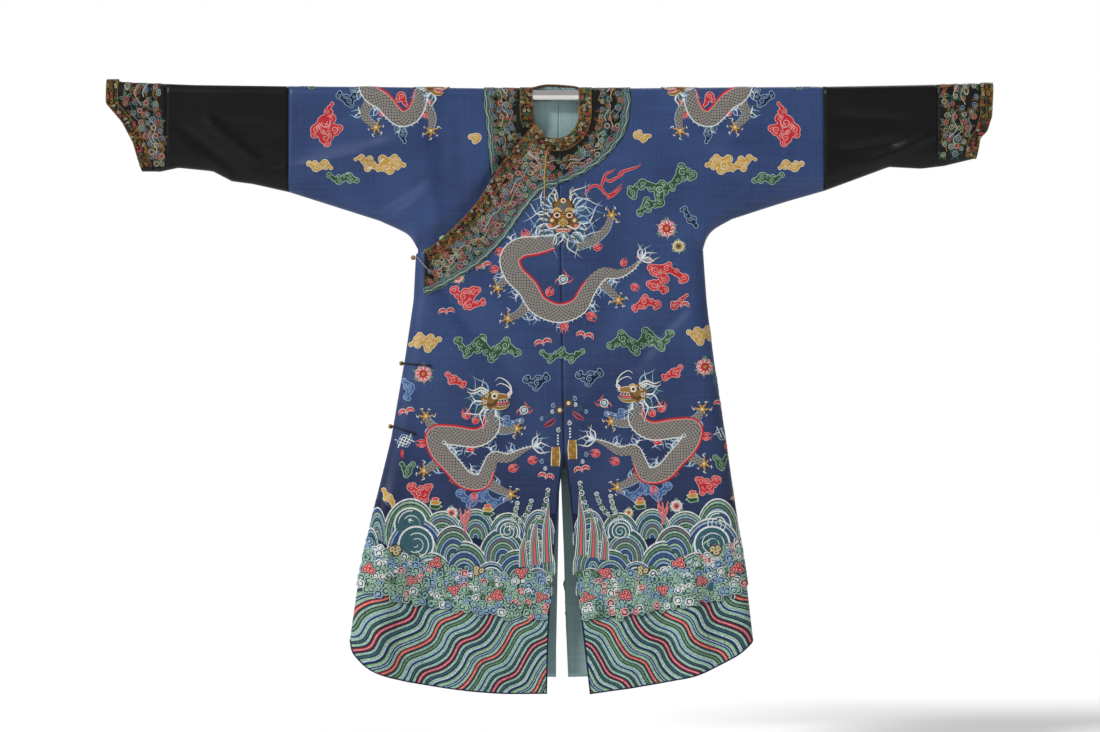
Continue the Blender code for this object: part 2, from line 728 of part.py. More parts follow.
def build_neck_pieces(side, panel, facing_finish, trim_finish):
    """Facing and ring trim on one shoulder, over the rod and on down the back.

    On the wearer's right their front is also cut along the overlap's edge, which covers the rest.
    """
    label = "right" if side < 0 else "left"
    past = -side * PAST_CENTRE
    inner_side = [(past, ABOVE_SHOULDER)]
    facing_low = SHOULDER_FACING[-1][1]
    shoulder = [(side * x, z) for x, z in SHOULDER_FACING]
    facing_outline = shoulder + [(past, facing_low)] + inner_side
    ring_outline = neck_band_outline(side, RING_WIDTH) + [(past, NECK_BOTTOM - RING_WIDTH)] + inner_side
    back_facing = back_cut_outline(side, FACING_HALF_WIDTH, FACING_BACK_DROP)
    back_ring = back_cut_outline(side, abs(ring_outline[0][0]), RING_WIDTH)
    edge_x = (NECK_LEFT if side < 0 else NECK_RIGHT) + side * NECK_POINT_MARGIN
    inner_x = -side * NECK_POINT_INNER
    neck_point = [
        (edge_x, NECK_POINT_TOP),
        (inner_x, NECK_POINT_TOP),
        (inner_x, NECK_POINT_LOW),
        (edge_x, NECK_POINT_LOW),
    ]
    edge = [(x - FLAP_CLEARANCE, z + FLAP_CLEARANCE) for x, z in OVERLAP_EDGE if x > -0.150]
    below_overlap = list(FLAP_CUT_START) + edge + list(FLAP_CUT_END)
    for kind, outline, back_outline, lift, used in (
        ("neck_facing_", facing_outline, back_facing, FACING_LIFT, facing_finish),
        ("neck_trim_", ring_outline, back_ring, TRIM_LIFT, trim_finish),
    ):
        name = kind + label
        keep = [prism(name + " outline", outline, -CUTTER_REACH, CUTTER_REACH)]
        remove = [
            prism(name + " neck point", neck_point, -NECK_POINT_DEPTH, NECK_POINT_DEPTH),
            prism(name + " back cut", back_outline, 0.001, CUTTER_REACH),
        ]
        if side < 0:
            remove.append(prism(name + " front cut", below_overlap, -CUTTER_REACH, -0.001))
        applied_piece(name, panel, lift, used, keep, remove)


def build_overlap_pieces(panel, facing_finish, trim_finish):
    """Facing and trim along the overlap's curved edge and the neck's bottom."""
    past_centre = [(OVERLAP_CUT_RIGHT, 0.0), (OVERLAP_CUT_LEFT, 0.0)]
    outline = [(SATIN_END_X, OVERLAP_CUT_TOP), (SATIN_END_X, SATIN_END_LOW)] + list(FACING_EDGE)
    outline += [(OVERLAP_CUT_RIGHT, FACING_EDGE[-1][1])] + past_centre
    keep = [prism("overlap facing outline", outline, -CUTTER_REACH, CUTTER_REACH)]
    applied_piece("overlap_facing", panel, FACING_LIFT, facing_finish, keep)
    edge = smooth_curve(OVERLAP_EDGE, 14)
    run = np.gradient(edge, axis=0)
    run = run / np.linalg.norm(run, axis=1)[:, None]
    inner = edge + np.stack([run[:, 1], -run[:, 0]], axis=1) * BAND_WIDTH
    inner = inner[(inner[:, 0] > SATIN_END_X + 0.008) & (inner[:, 0] < -0.058)]
    ring = [point for point in neck_band_outline(-1, RING_WIDTH)[1:] if point[0] > -0.050]
    start_x = SATIN_END_X + 0.002
    band = [(start_x, OVERLAP_CUT_TOP), (start_x, float(inner[0][1]) - 0.004)]
    band += [tuple(point) for point in inner] + ring
    band += [(OVERLAP_CUT_RIGHT, NECK_BOTTOM - RING_WIDTH)] + past_centre
    keep = [prism("overlap trim outline", band, -CUTTER_REACH, CUTTER_REACH)]
    applied_piece("overlap_trim", panel, TRIM_LIFT, trim_finish, keep)


def build_cuff_trim(side, panel, material):
    """Trim band round the cuff's mouth, front and back."""
    label = "right" if side < 0 else "left"
    mouth = [(side * (out - CUFF_BAND), z) for z, out in CUFF_MOUTH[side]]
    low = (mouth[0][0], mouth[0][1] - ABOVE_SHOULDER)
    high = (mouth[-1][0], mouth[-1][1] + ABOVE_SHOULDER)
    past_mouth = side * 1.100
    outline = [low] + mouth + [high, (past_mouth, high[1]), (past_mouth, low[1])]
    keep = [prism("cuff trim outline " + label, outline, -CUTTER_REACH, CUTTER_REACH)]
    applied_piece("cuff_trim_" + label, panel, FACING_LIFT, material, keep)


def build_linings(side, panel, pale):
    """Pale lining inside one half of the back, where the neck and the slit show it."""
    label = "right" if side < 0 else "left"
    sizes = LINING_NECK
    out, past = side * sizes["width"], -side * PAST_CENTRE
    neck = [(out, sizes["top"]), (out, sizes["foot"]), (past, sizes["foot"]), (past, sizes["top"])]
    keep = [prism("neck lining outline " + label, neck, 0.001, CUTTER_REACH)]
    applied_piece("lining_neck_" + label, panel, -FACING_LIFT, pale, keep)
    sizes = LINING_SLIT
    inner = -side * sizes["inner"]
    slit = [
        (side * sizes["top_width"], sizes["top"]),
        (side * sizes["foot_width"], sizes["foot"]),
        (inner, sizes["foot"]),
        (inner, sizes["top"]),
    ]
    keep = [prism("slit lining outline " + label, slit, 0.001, CUTTER_REACH)]
    applied_piece("lining_slit_" + label, panel, -FACING_LIFT, pale, keep)


def build_rod(chrome):
    """The round rod through both sleeves."""
    work = bmesh.new()
    bmesh.ops.create_cone(
        work, cap_ends=True, segments=32, radius1=ROD_RADIUS, radius2=ROD_RADIUS, depth=ROD_RIGHT - ROD_LEFT
    )
    mesh = bpy.data.meshes.new("rod")
    work.to_mesh(mesh)
    work.free()
    rod = bpy.data.objects.new("rod", mesh)
    parts.objects.link(rod)
    rod.rotation_euler = (0.0, math.pi / 2, 0.0)
    rod.location = ((ROD_LEFT + ROD_RIGHT) / 2, 0.0, 0.0)
    mesh.materials.append(chrome)
    mesh.shade_smooth()
    mesh.set_sharp_from_angle(angle=math.radians(40))


def build_button(label, z, loop_x, loop_z, brass, cord):
    """A ball button at the side edge and the cord loop that holds it, sewn on the overlap."""
    edge = -float(side_distance(np.array(z), -1, 0.0))
    centre_x = edge - CLOTH / 2 - SEAM_GAP - BUTTON_RADIUS
    bpy.ops.mesh.primitive_uv_sphere_add(
        segments=14, ring_count=10, radius=BUTTON_RADIUS, location=(centre_x, 0.0, z)
    )
    ball = bpy.context.object
    ball.name = "button_" + label
    ball.data.materials.append(brass)
    ball.data.shade_smooth()
    for owner in list(ball.users_collection):
        owner.objects.unlink(ball)
    parts.objects.link(ball)
    t = np.linspace(0.0, 1.0, LOOP_POINTS)
    first_x = edge + LOOP_START
    x = first_x + (loop_x - first_x) * t
    z_line = z + (loop_z - z) * t
    y = robe_depth(x, z_line, "over") - LOOP_LIFT
    head_y = -BUTTON_RADIUS - SEAM_GAP - LOOP_RADIUS
    hook = [(centre_x - LOOP_HOOK, head_y, z), (centre_x + LOOP_HOOK, head_y, z)]
    route = hook + list(zip(x, y, z_line))
    curve = bpy.data.curves.new("loop_" + label, "CURVE")
    curve.dimensions = "3D"
    curve.bevel_depth = LOOP_RADIUS
    curve.bevel_resolution = 1
    curve.use_fill_caps = True
    spline = curve.splines.new("POLY")
    spline.points.add(len(route) - 1)
    for point, place in zip(spline.points, route):
        point.co = (*place, 1.0)
    loop = bpy.data.objects.new("loop_" + label, curve)
    curve.materials.append(cord)
    parts.objects.link(loop)


for old in list(bpy.data.objects):
    bpy.data.objects.remove(old, do_unlink=True)
parts = bpy.data.collections.new(COLLECTION_NAME)
cutters = bpy.data.collections.new("cutters")
bpy.context.scene.collection.children.link(parts)
bpy.context.scene.collection.children.link(cutters)

blue_silk = finish("blue silk", (0.024, 0.050, 0.135), 0.45)
black_silk = finish("black silk", (0.008, 0.008, 0.009), 0.40)
embroidered = finish("embroidered black satin", (0.030, 0.026, 0.024), 0.50)
woven_gold = finish("gold and black edging", (0.190, 0.115, 0.040), 0.45, 0.2)
pale_lining = finish("pale blue lining", (0.190, 0.270, 0.290), 0.60)
chrome = finish("polished rod", (0.600, 0.600, 0.590), 0.12, 1.0)
brass = finish("brass", (0.300, 0.190, 0.080), 0.35, 1.0)
dark_cord = finish("dark cord", (0.030, 0.030, 0.035), 0.60)
grey_cord = finish("grey cord", (0.260, 0.260, 0.250), 0.60)


build_rod(chrome)
for side, label in ((1, "left"), (-1, "right")):
    body = build_body(side, blue_silk)
    sleeve_start = SLEEVE_SEAM[side] + SEAM_GAP / 2
    cuff_start = CUFF_SEAM[side] + SEAM_GAP / 2
    build_tube("sleeve_" + label, side, sleeve_start, straight_end(side), 5, 4, black_silk)
    cuff = build_tube("cuff_" + label, side, cuff_start, mouth_end(side), 4, 4, embroidered)
    build_cuff_trim(side, cuff, woven_gold)
    build_neck_pieces(side, body, embroidered, woven_gold)
    build_linings(side, body, pale_lining)
overlap = build_overlap(blue_silk)
build_overlap_pieces(overlap, embroidered, woven_gold)
for label, z, loop_x, loop_z in BUTTONS:
    build_button(label, z, loop_x, loop_z, brass, grey_cord if label == "armpit" else dark_cord)
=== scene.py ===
"""Looks of a Chinese dragon robe on its rod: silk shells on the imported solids, with the embroidery.

Metres, +Z up. The robe's front faces -Y and the wearer's left is +X. A cloth piece is a fine sheet
over the robe's flat outline, with its depth from robe_depth. Embroidery is drawn in cloth places
(x, t) in millimetres: x across the robe, and t up its front, over the rod and on down its back.
"""
import logging
import math
from collections.abc import Callable, Sequence
from dataclasses import dataclass, field
from enum import Enum

import bmesh
import bpy
import numpy as np
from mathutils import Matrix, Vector


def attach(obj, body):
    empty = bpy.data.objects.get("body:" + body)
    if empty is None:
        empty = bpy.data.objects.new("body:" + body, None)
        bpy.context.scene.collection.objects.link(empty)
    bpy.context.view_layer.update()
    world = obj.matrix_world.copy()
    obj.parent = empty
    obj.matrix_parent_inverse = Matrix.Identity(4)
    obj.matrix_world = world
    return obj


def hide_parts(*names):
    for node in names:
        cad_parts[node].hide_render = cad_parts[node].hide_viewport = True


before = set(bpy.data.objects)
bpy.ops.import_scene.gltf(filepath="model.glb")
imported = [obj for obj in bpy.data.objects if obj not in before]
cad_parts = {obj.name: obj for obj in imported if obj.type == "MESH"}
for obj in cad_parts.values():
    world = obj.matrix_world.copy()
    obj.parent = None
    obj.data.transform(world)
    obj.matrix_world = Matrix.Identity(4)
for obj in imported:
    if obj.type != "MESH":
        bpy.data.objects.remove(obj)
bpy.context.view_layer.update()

LOG = logging.getLogger("dragon_robe")
MM = 0.001
Point = tuple[float, float]
Colour = tuple[float, float, float]

# Walls, gaps and the lifts of laid pieces, as in the solids
CLOTH = 0.0016
TRIM = 0.0010
SEAM_GAP = 0.0003
FLAP_GAP = 0.0042
FLAP_DEPTH = 0.0120
LAY_GAP = 0.0005
FACING_LIFT = CLOTH / 2 + LAY_GAP + TRIM / 2
TRIM_LIFT = FACING_LIFT + LAY_GAP + TRIM

# Seams and edges across the robe
SLEEVE_SEAM = {-1: 0.615, 1: 0.611}
CUFF_SEAM = {-1: 0.897, 1: 0.872}
SEAM_ROLL = 0.040
SLIT_TOP = -0.820
NECK_LEFT = -0.056
NECK_RIGHT = 0.050
NECK_MIDDLE = (NECK_LEFT + NECK_RIGHT) / 2
NECK_STRAIGHT = -0.042
NECK_BOTTOM = -0.100
BACK_NECK_RISE = 0.010
RING_WIDTH = 0.029
BAND_WIDTH = 0.026
CUFF_BAND = 0.028
CENTRE_X = 0.004
ARMPIT_Z = -0.353

# Columns: x, z of the fold over the rod
SHOULDER_LINE = (
    (-1.034, 0.0360), (-0.989, 0.0300), (-0.830, 0.0240), (-0.600, 0.0210), (-0.400, 0.0195),
    (-0.170, 0.0165), (-0.056, 0.0154), (0.050, 0.0154), (0.170, 0.0165), (0.420, 0.0190),
    (0.600, 0.0200), (0.826, 0.0240), (0.997, 0.0280),
)
# Columns: z, distance from the middle of the side edge on the wearer's right and left
SIDE_EDGE = (
    (-1.250, 0.475, 0.450), (-1.110, 0.455, 0.434), (-0.960, 0.423, 0.412), (-0.790, 0.381, 0.388),
    (-0.600, 0.348, 0.359), (-0.470, 0.329, 0.343), (-0.353, 0.323, 0.335),
)
# Columns: distance from the middle, z of the lower edge of armpit, sleeve and cuff
UNDERARM = {
    -1: (
        (0.323, -0.353), (0.333, -0.329), (0.351, -0.313), (0.407, -0.287), (0.615, -0.221),
        (0.700, -0.202), (0.747, -0.196), (0.791, -0.173), (0.870, -0.165), (0.912, -0.174),
        (0.953, -0.172),
    ),
    1: (
        (0.335, -0.353), (0.344, -0.327), (0.362, -0.306), (0.402, -0.283), (0.517, -0.246),
        (0.614, -0.218), (0.717, -0.180), (0.763, -0.163), (0.837, -0.167), (0.888, -0.161),
        (0.963, -0.143),
    ),
}
# Columns: z, distance from the middle of the cuff's mouth
CUFF_MOUTH = {
    -1: ((-0.172, 0.953), (-0.109, 0.972), (-0.062, 0.997), (-0.019, 1.034), (0.036, 1.034)),
    1: ((-0.143, 0.963), (-0.100, 0.970), (-0.083, 0.986), (-0.049, 0.997), (0.028, 1.001)),
}
# Columns: x, z of the hem from the slit to the start of the side edge
FRONT_HEM = {
    -1: (
        (-0.023, -1.370), (-0.145, -1.369), (-0.297, -1.352), (-0.408, -1.325), (-0.462, -1.285),
        (-0.475, -1.250),
    ),
    1: (
        (0.075, -1.371), (0.190, -1.354), (0.307, -1.332), (0.403, -1.290), (0.440, -1.262),
        (0.450, -1.250),
    ),
}
BACK_HEM = {
    -1: ((-0.002, -1.340), (-0.200, -1.336), (-0.330, -1.320), (-0.430, -1.285), (-0.471, -1.250)),
    1: ((0.026, -1.340), (0.190, -1.334), (0.320, -1.315), (0.410, -1.280), (0.450, -1.250)),
}
UNDER_HEM = (
    (-0.050, -1.335), (-0.200, -1.332), (-0.330, -1.318), (-0.430, -1.284), (-0.471, -1.250),
)
# Columns: x, z of the slit's front and back edges, from the hem up
FRONT_SLIT = {
    -1: ((-0.023, -1.370), (-0.017, -1.187), (-0.001, -0.982), (0.008, -0.880), (0.0155, -0.820)),
    1: ((0.075, -1.371), (0.053, -1.174), (0.032, -0.944), (0.022, -0.860), (0.0165, -0.820)),
}
BACK_SLIT = {
    -1: ((-0.002, -1.340), (-0.001, -1.100), (0.002, -0.960), (0.0065, -0.870)),
    1: ((0.026, -1.340), (0.019, -1.170), (0.014, -0.960), (0.0080, -0.870)),
}
# Columns: x, z of the overlap's curved edge, from the armpit to the neck
OVERLAP_EDGE = (
    (-0.3225, -0.364), (-0.284, -0.345), (-0.230, -0.298), (-0.178, -0.239), (-0.127, -0.157),
    (-0.084, -0.104), (-0.050, -0.066),
)
# Columns: x, z of the lower edge of the embroidered facing on the overlap
FACING_EDGE = (
    (-0.303, -0.457), (-0.293, -0.453), (-0.244, -0.427), (-0.183, -0.389), (-0.127, -0.335),
    (-0.084, -0.274), (-0.040, -0.222), (0.003, -0.205),
)
# Columns: x, z of the facing's outer edge on the wearer's left shoulder, from the chest up
SHOULDER_FACING = (
    (0.004, -0.205), (0.058, -0.181), (0.110, -0.144), (0.156, -0.085), (0.168, -0.020),
    (0.168, 0.000),
)
FACING_HALF_WIDTH = 0.168
FACING_BACK_DROP = 0.118
# Columns: z, half the depth of the hanging robe
HALF_DEPTH = (
    (-1.370, 0.0360), (-0.900, 0.0310), (-0.500, 0.0280), (-0.200, 0.0230), (-0.060, 0.0182),
    (0.000, 0.0174), (0.040, 0.0174),
)
# Columns: x and z of one end, x and z of the other, half width, height (a trough is below 0)
FRONT_FOLDS = (
    (-0.295, -0.370, -0.100, -0.660, 0.034, -0.0080),
    (-0.235, -0.370, -0.060, -0.600, 0.036, 0.0060),
    (0.300, -0.440, 0.120, -0.690, 0.034, -0.0070),
    (0.240, -0.440, 0.090, -0.620, 0.036, 0.0060),
    (-0.270, -0.080, -0.245, -0.280, 0.028, -0.0050),
    (0.030, -0.140, 0.045, -0.330, 0.024, -0.0045),
    (-0.580, -0.190, -0.330, -0.100, 0.028, 0.0050),
    (0.580, -0.185, 0.340, -0.120, 0.028, 0.0050),
    (-0.385, -0.930, -0.415, -1.320, 0.036, 0.0120),
    (-0.300, -1.120, -0.290, -1.370, 0.044, -0.0100),
    (0.290, -1.060, 0.320, -1.340, 0.034, 0.0110),
    (0.240, -1.140, 0.262, -1.350, 0.032, -0.0080),
    (0.395, -1.000, 0.405, -1.300, 0.034, -0.0070),
)
BACK_FOLDS = (
    (-0.290, -0.400, -0.110, -0.680, 0.036, -0.0070),
    (0.295, -0.410, 0.120, -0.700, 0.036, -0.0070),
    (-0.560, -0.180, -0.340, -0.110, 0.030, 0.0050),
    (0.560, -0.180, 0.340, -0.110, 0.030, 0.0050),
    (-0.330, -0.950, -0.350, -1.320, 0.040, 0.0100),
    (0.310, -0.980, 0.340, -1.320, 0.040, 0.0100),
    (-0.170, -1.050, -0.180, -1.340, 0.044, -0.0080),
    (0.180, -1.080, 0.190, -1.340, 0.044, -0.0080),
)
# Small creases that only the fine sheets have, in the same columns
FRONT_CREASES = (
    (-0.560, -0.060, -0.400, -0.040, 0.012, -0.0016),
    (-0.590, -0.120, -0.400, -0.095, 0.014, -0.0026),
    (-0.600, -0.165, -0.430, -0.130, 0.012, 0.0026),
    (-0.580, -0.212, -0.380, -0.150, 0.012, -0.0026),
    (-0.420, -0.265, -0.300, -0.190, 0.014, -0.0024),
    (-0.380, -0.290, -0.300, -0.230, 0.012, 0.0022),
    (0.330, -0.135, 0.560, -0.170, 0.013, -0.0026),
    (0.380, -0.100, 0.600, -0.120, 0.012, 0.0022),
    (0.400, -0.200, 0.560, -0.225, 0.012, -0.0022),
    (0.340, -0.270, 0.420, -0.215, 0.013, -0.0022),
    (-0.225, -0.060, -0.215, -0.250, 0.014, -0.0022),
    (-0.300, -0.150, -0.270, -0.300, 0.013, 0.0022),
    (-0.160, -0.130, -0.125, -0.175, 0.010, -0.0024),
    (-0.290, -0.405, -0.190, -0.560, 0.014, -0.0030),
    (-0.240, -0.520, -0.120, -0.640, 0.014, 0.0022),
    (0.300, -0.480, 0.190, -0.600, 0.014, -0.0028),
    (0.320, -0.400, 0.250, -0.500, 0.013, 0.0022),
    (0.055, -0.620, 0.010, -0.800, 0.016, -0.0022),
    (-0.160, -0.560, 0.120, -0.575, 0.016, -0.0018),
    (-0.200, -0.640, -0.020, -0.655, 0.014, 0.0016),
    (0.040, -0.655, 0.220, -0.640, 0.015, 0.0016),
    (-0.330, -0.700, -0.210, -0.690, 0.016, -0.0016),
    (0.180, -0.720, 0.330, -0.700, 0.016, -0.0018),
    (-0.420, -1.120, -0.440, -1.300, 0.018, -0.0040),
    (-0.360, -1.180, -0.355, -1.340, 0.018, -0.0030),
    (-0.200, -1.150, -0.190, -1.360, 0.022, 0.0030),
    (-0.110, -1.200, -0.090, -1.360, 0.020, -0.0026),
    (0.350, -1.100, 0.365, -1.300, 0.018, -0.0036),
    (0.150, -1.180, 0.165, -1.350, 0.020, 0.0028),
    (0.110, -1.220, 0.120, -1.360, 0.018, -0.0024),
    (-0.780, -0.060, -0.640, -0.080, 0.013, -0.0026),
    (-0.860, -0.075, -0.720, -0.185, 0.014, -0.0052),
    (-0.800, -0.060, -0.690, -0.150, 0.012, 0.0044),
    (-0.700, -0.170, -0.625, -0.150, 0.011, -0.0024),
    (-0.760, -0.120, -0.640, -0.115, 0.010, 0.0018),
    (0.640, -0.050, 0.800, -0.060, 0.013, -0.0026),
    (0.650, -0.130, 0.780, -0.110, 0.012, -0.0048),
    (0.690, -0.170, 0.860, -0.090, 0.012, 0.0042),
    (0.640, -0.190, 0.720, -0.165, 0.011, -0.0022),
)
BACK_CREASES = tuple((x0, z0 - 0.02, x1, z1 + 0.01, w, -0.8 * h) for x0, z0, x1, z1, w, h in FRONT_CREASES)

# Rows and columns of the sheets
SKIRT_ROWS = 64
BODY_ROWS = 72
NECK_CURVE_ROWS = 12
ROLL_STEPS = 9
NECK_ROWS = NECK_CURVE_ROWS + ROLL_STEPS
SEAM_STEPS = 8
SHOULDER_ROWS = 56
PANEL_MIDDLE = 36
SIDE_OF_ROD = 0.018
# How far inside the side edge the outermost stitches lie
EDGE_MARGIN = 0.0002
# Cloth length of a quarter turn over the rod, in the cloth places' millimetres
TURN = 26.0


class Layer(Enum):
    """Which sheet of the robe a place lies on."""

    OVER = "over"
    UNDER = "under"
    BACK = "back"


def column(rows: Sequence[Sequence[float]], index: int) -> np.ndarray:
    """One column of a table as an array."""
    return np.array([row[index] for row in rows])


def look_up(rows: Sequence[Sequence[float]], value: np.ndarray | float, index: int = 1) -> np.ndarray:
    """A table's column, read straight between its rows, at value in its first column."""
    return np.interp(value, column(rows, 0), column(rows, index))


def roll(distance: np.ndarray, width: np.ndarray | float) -> np.ndarray:
    """Quarter round of a folded edge: 0 at the edge, 1 where the cloth lies flat."""
    part = np.clip(distance / width, 0.0, 1.0)
    return np.sqrt(1.0 - (1.0 - part) ** 2)


def ease(value: np.ndarray) -> np.ndarray:
    """Smooth step from 0 at 0 to 1 at 1."""
    part = np.clip(value, 0.0, 1.0)
    return part * part * (3.0 - 2.0 * part)


def side_distance(z: np.ndarray, side: int, inset: float) -> np.ndarray:
    """Distance of the side edge from the middle, with the flap's inset on the under layer."""
    return look_up(SIDE_EDGE, z, 1 if side < 0 else 2) - inset * ease((-0.330 - z) / 0.024)


def seam_distance(x: np.ndarray, z: np.ndarray, inset: float) -> np.ndarray:
    """Distance of a place in the outline from the side or underarm seam.

    Below the armpit it is counted across, out on the sleeve it is counted down, and between the two it is
    the distance from the armpit's corner.

    Args:
        x: places across, in metres.
        z: heights, in metres.
        inset: how far inside the outline the cloth ends.

    Returns:
        The distance in metres, never below 0.
    """
    out = np.abs(x)
    result = np.zeros_like(out)
    for side in (-1, 1):
        corner_out, corner_z = UNDERARM[side][0]
        own_inset = inset if side < 0 else 0.0
        below = side_distance(z, side, own_inset) - out
        beside = z - look_up(UNDERARM[side], out)
        around = np.hypot(np.maximum(corner_out - own_inset - out, 0.0), np.maximum(z - corner_z, 0.0))
        distance = np.where(z <= corner_z, below, np.where(out >= corner_out, beside, around))
        result = np.where(np.where(x < 0.0, -1, 1) == side, distance, result)
    return np.maximum(result, 0.0)


def fold_height(x: np.ndarray, z: np.ndarray, folds: Sequence[Sequence[float]]) -> np.ndarray:
    """Sum of the folds: each is a bell-shaped ridge or trough along a straight line.

    Args:
        x: places across, in metres.
        z: heights, in metres.
        folds: the ridges and troughs.

    Returns:
        The height that the folds add at each place.
    """
    total = np.zeros_like(x)
    for x0, z0, x1, z1, half_width, height in folds:
        run_x, run_z = x1 - x0, z1 - z0
        along = np.clip(((x - x0) * run_x + (z - z0) * run_z) / (run_x**2 + run_z**2), 0.0, 1.0)
        away = np.hypot(x - x0 - along * run_x, z - z0 - along * run_z)
        fade = ease(4.0 * np.minimum(along + 0.12, 1.12 - along))
        total = total + height * np.exp(-((away / half_width) ** 2)) * fade
    return total


def ripple(x: np.ndarray, z: np.ndarray) -> np.ndarray:
    """Slow unevenness of hanging silk: a few crossing sine waves, a millimetre high in all."""
    first = np.sin(17.0 * x + 9.0 * z + 1.3) * np.sin(6.0 * z - 8.0 * x + 0.4)
    second = np.sin(31.0 * x - 12.0 * z) * np.sin(14.0 * z + 2.1)
    return 0.0008 * first + 0.0005 * second


def under_overlap(x: np.ndarray, z: np.ndarray) -> np.ndarray:
    """1 where the overlap hides the under flap, easing to 0 just above the overlap's edge."""
    below = (look_up(OVERLAP_EDGE, x) - z) * 0.7
    return ease((below + 0.040) / 0.036) * ease((-0.020 - x) / 0.010)


# How much deeper the dressed cloth's creases are than their table says
CREASE_GAIN = 1.25


def robe_depth(x: np.ndarray, z: np.ndarray, layer: Layer) -> np.ndarray:
    """Depth y of a sheet at places of the outline.

    Half the robe's depth plus folds, creases and ripple, times a quarter round over the rod and
    another one at the seam.

    Args:
        x: places across the robe.
        z: heights of the places.
        layer: the sheet; the front ones lie towards -Y.

    Returns:
        The depths, below 0 on the front.
    """
    x = np.asarray(x, dtype=float)
    z = np.asarray(z, dtype=float)
    back = layer is Layer.BACK
    height = look_up(SHOULDER_LINE, x)
    folded = fold_height(x, z, BACK_FOLDS if back else FRONT_FOLDS)
    creased = fold_height(x, z, BACK_CREASES if back else FRONT_CREASES)
    folded = folded + CREASE_GAIN * creased + ripple(x, z)
    hidden = under_overlap(x, z) if layer is Layer.UNDER else 0.0
    depth = look_up(HALF_DEPTH, z) + folded * (1.0 - hidden) - FLAP_DEPTH * hidden
    over_rod = roll(height - z, height)
    if back:
        half = (NECK_RIGHT - NECK_LEFT) / 2
        stand = np.sqrt(np.clip(1.0 - ((x - NECK_MIDDLE) / half) ** 2, 0.0, 1.0))
        over_rod = np.minimum(np.hypot(over_rod, stand), 1.0)
    inset = 0.0 if layer is Layer.OVER else FLAP_GAP
    depth = depth * over_rod * roll(seam_distance(x, z, inset), SEAM_ROLL)
    return depth if back else -depth


def lifted(x: np.ndarray, z: np.ndarray, layer: Layer, lift: np.ndarray | float) -> np.ndarray:
    """Points of a sheet moved out along its normal.

    The normal comes from the slopes of robe_depth, measured over a millimetre each way.

    Args:
        x: places across the robe.
        z: heights of the places.
        layer: the sheet that the points lie on.
        lift: distance out from the middle of the sheet.

    Returns:
        Points with a last axis of x, y, z.
    """
    step = 0.0005
    y = robe_depth(x, z, layer)
    slope_x = (robe_depth(x + step, z, layer) - robe_depth(x - step, z, layer)) / (2 * step)
    slope_z = (robe_depth(x, z + step, layer) - robe_depth(x, z - step, layer)) / (2 * step)
    out = 1.0 if layer is Layer.BACK else -1.0
    normal = np.stack([-out * slope_x, np.full_like(y, out), -out * slope_z], axis=-1)
    normal = normal / np.linalg.norm(normal, axis=-1, keepdims=True)
    return np.stack([x, y, z], axis=-1) + normal * np.asarray(lift)[..., None]


def cloth_place(x: np.ndarray, t: np.ndarray, lift: np.ndarray) -> tuple[np.ndarray, np.ndarray]:
    """Points of the robe's outside for cloth places.

    Below 0, t is a height on the front. From 0 it climbs a quarter turn of the rod to TURN, goes
    down the back's quarter turn to twice TURN, and beyond that it counts down the back.

    Args:
        x: millimetres across the robe.
        t: millimetres up the front and on over the rod.
        lift: millimetres out from the middle of the cloth.

    Returns:
        Points in metres, and the outward direction's sign along Y of each.
    """
    back = t > TURN
    own = np.where(back, 2 * TURN - t, t)
    x = x * MM
    low = own * MM
    angle = np.clip(own / TURN, 0.0, 0.985) * math.pi / 2
    half = (NECK_RIGHT - NECK_LEFT) / 2
    stand = np.clip(1.0 - ((x - NECK_MIDDLE) / half) ** 2, 0.0, 1.0) * BACK_NECK_RISE
    z = np.where(own <= 0.0, low, (look_up(SHOULDER_LINE, x) + stand) * np.sin(angle))
    over = (x > -0.046) | (z < look_up(OVERLAP_EDGE, x))
    for side in (-1, 1):
        inset = np.where(back | ~over, FLAP_GAP, 0.0) if side < 0 else 0.0
        edge = look_up(SIDE_EDGE, z, 1 if side < 0 else 2) - inset - EDGE_MARGIN
        x = np.where((z < ARMPIT_Z) & (side * x > edge), side * edge, x)
    points = np.zeros(x.shape + (3,))
    for layer, chosen in ((Layer.OVER, over & ~back), (Layer.UNDER, ~over & ~back), (Layer.BACK, back)):
        points[chosen] = lifted(x[chosen], z[chosen], layer, lift[chosen] * MM)
    return points, np.where(back, 1.0, -1.0)


def smooth_curve(points: Sequence[Sequence[float]] | np.ndarray, count: int) -> np.ndarray:
    """Points spread evenly along a smooth curve through the given ones (Catmull-Rom).

    Args:
        points: the curve's own points.
        count: number of steps; the result has one point more.

    Returns:
        An array of count + 1 points.
    """
    rows = np.array(points, dtype=float)
    if len(rows) > 2:
        padded = np.vstack((2 * rows[0] - rows[1], rows, 2 * rows[-1] - rows[-2]))
        a, b, c, d = (padded[k : k + len(rows) - 1, None] for k in range(4))
        step = np.linspace(0.0, 1.0, 12, endpoint=False)[None, :, None]
        cubic = (2 * a - 5 * b + 4 * c - d) * step**2 + (3 * b - a - 3 * c + d) * step**3
        dense = 0.5 * (2 * b + (c - a) * step + cubic)
        rows = np.vstack([dense.reshape(-1, rows.shape[1]), rows[-1]])
    length = np.concatenate(([0.0], np.cumsum(np.linalg.norm(np.diff(rows, axis=0), axis=1))))
    even = np.linspace(0.0, length[-1], count + 1)
    return np.stack([np.interp(even, length, rows[:, k]) for k in range(rows.shape[1])], axis=1)


def joined_rows(*sections: tuple[Sequence, int]) -> np.ndarray:
    """Curve sections (points, rows) laid end to end; a section with 0 rows keeps its own points."""
    curves = [smooth_curve(points, rows) if rows else np.array(points) for points, rows in sections]
    return np.vstack([curves[0]] + [curve[1:] for curve in curves[1:]])


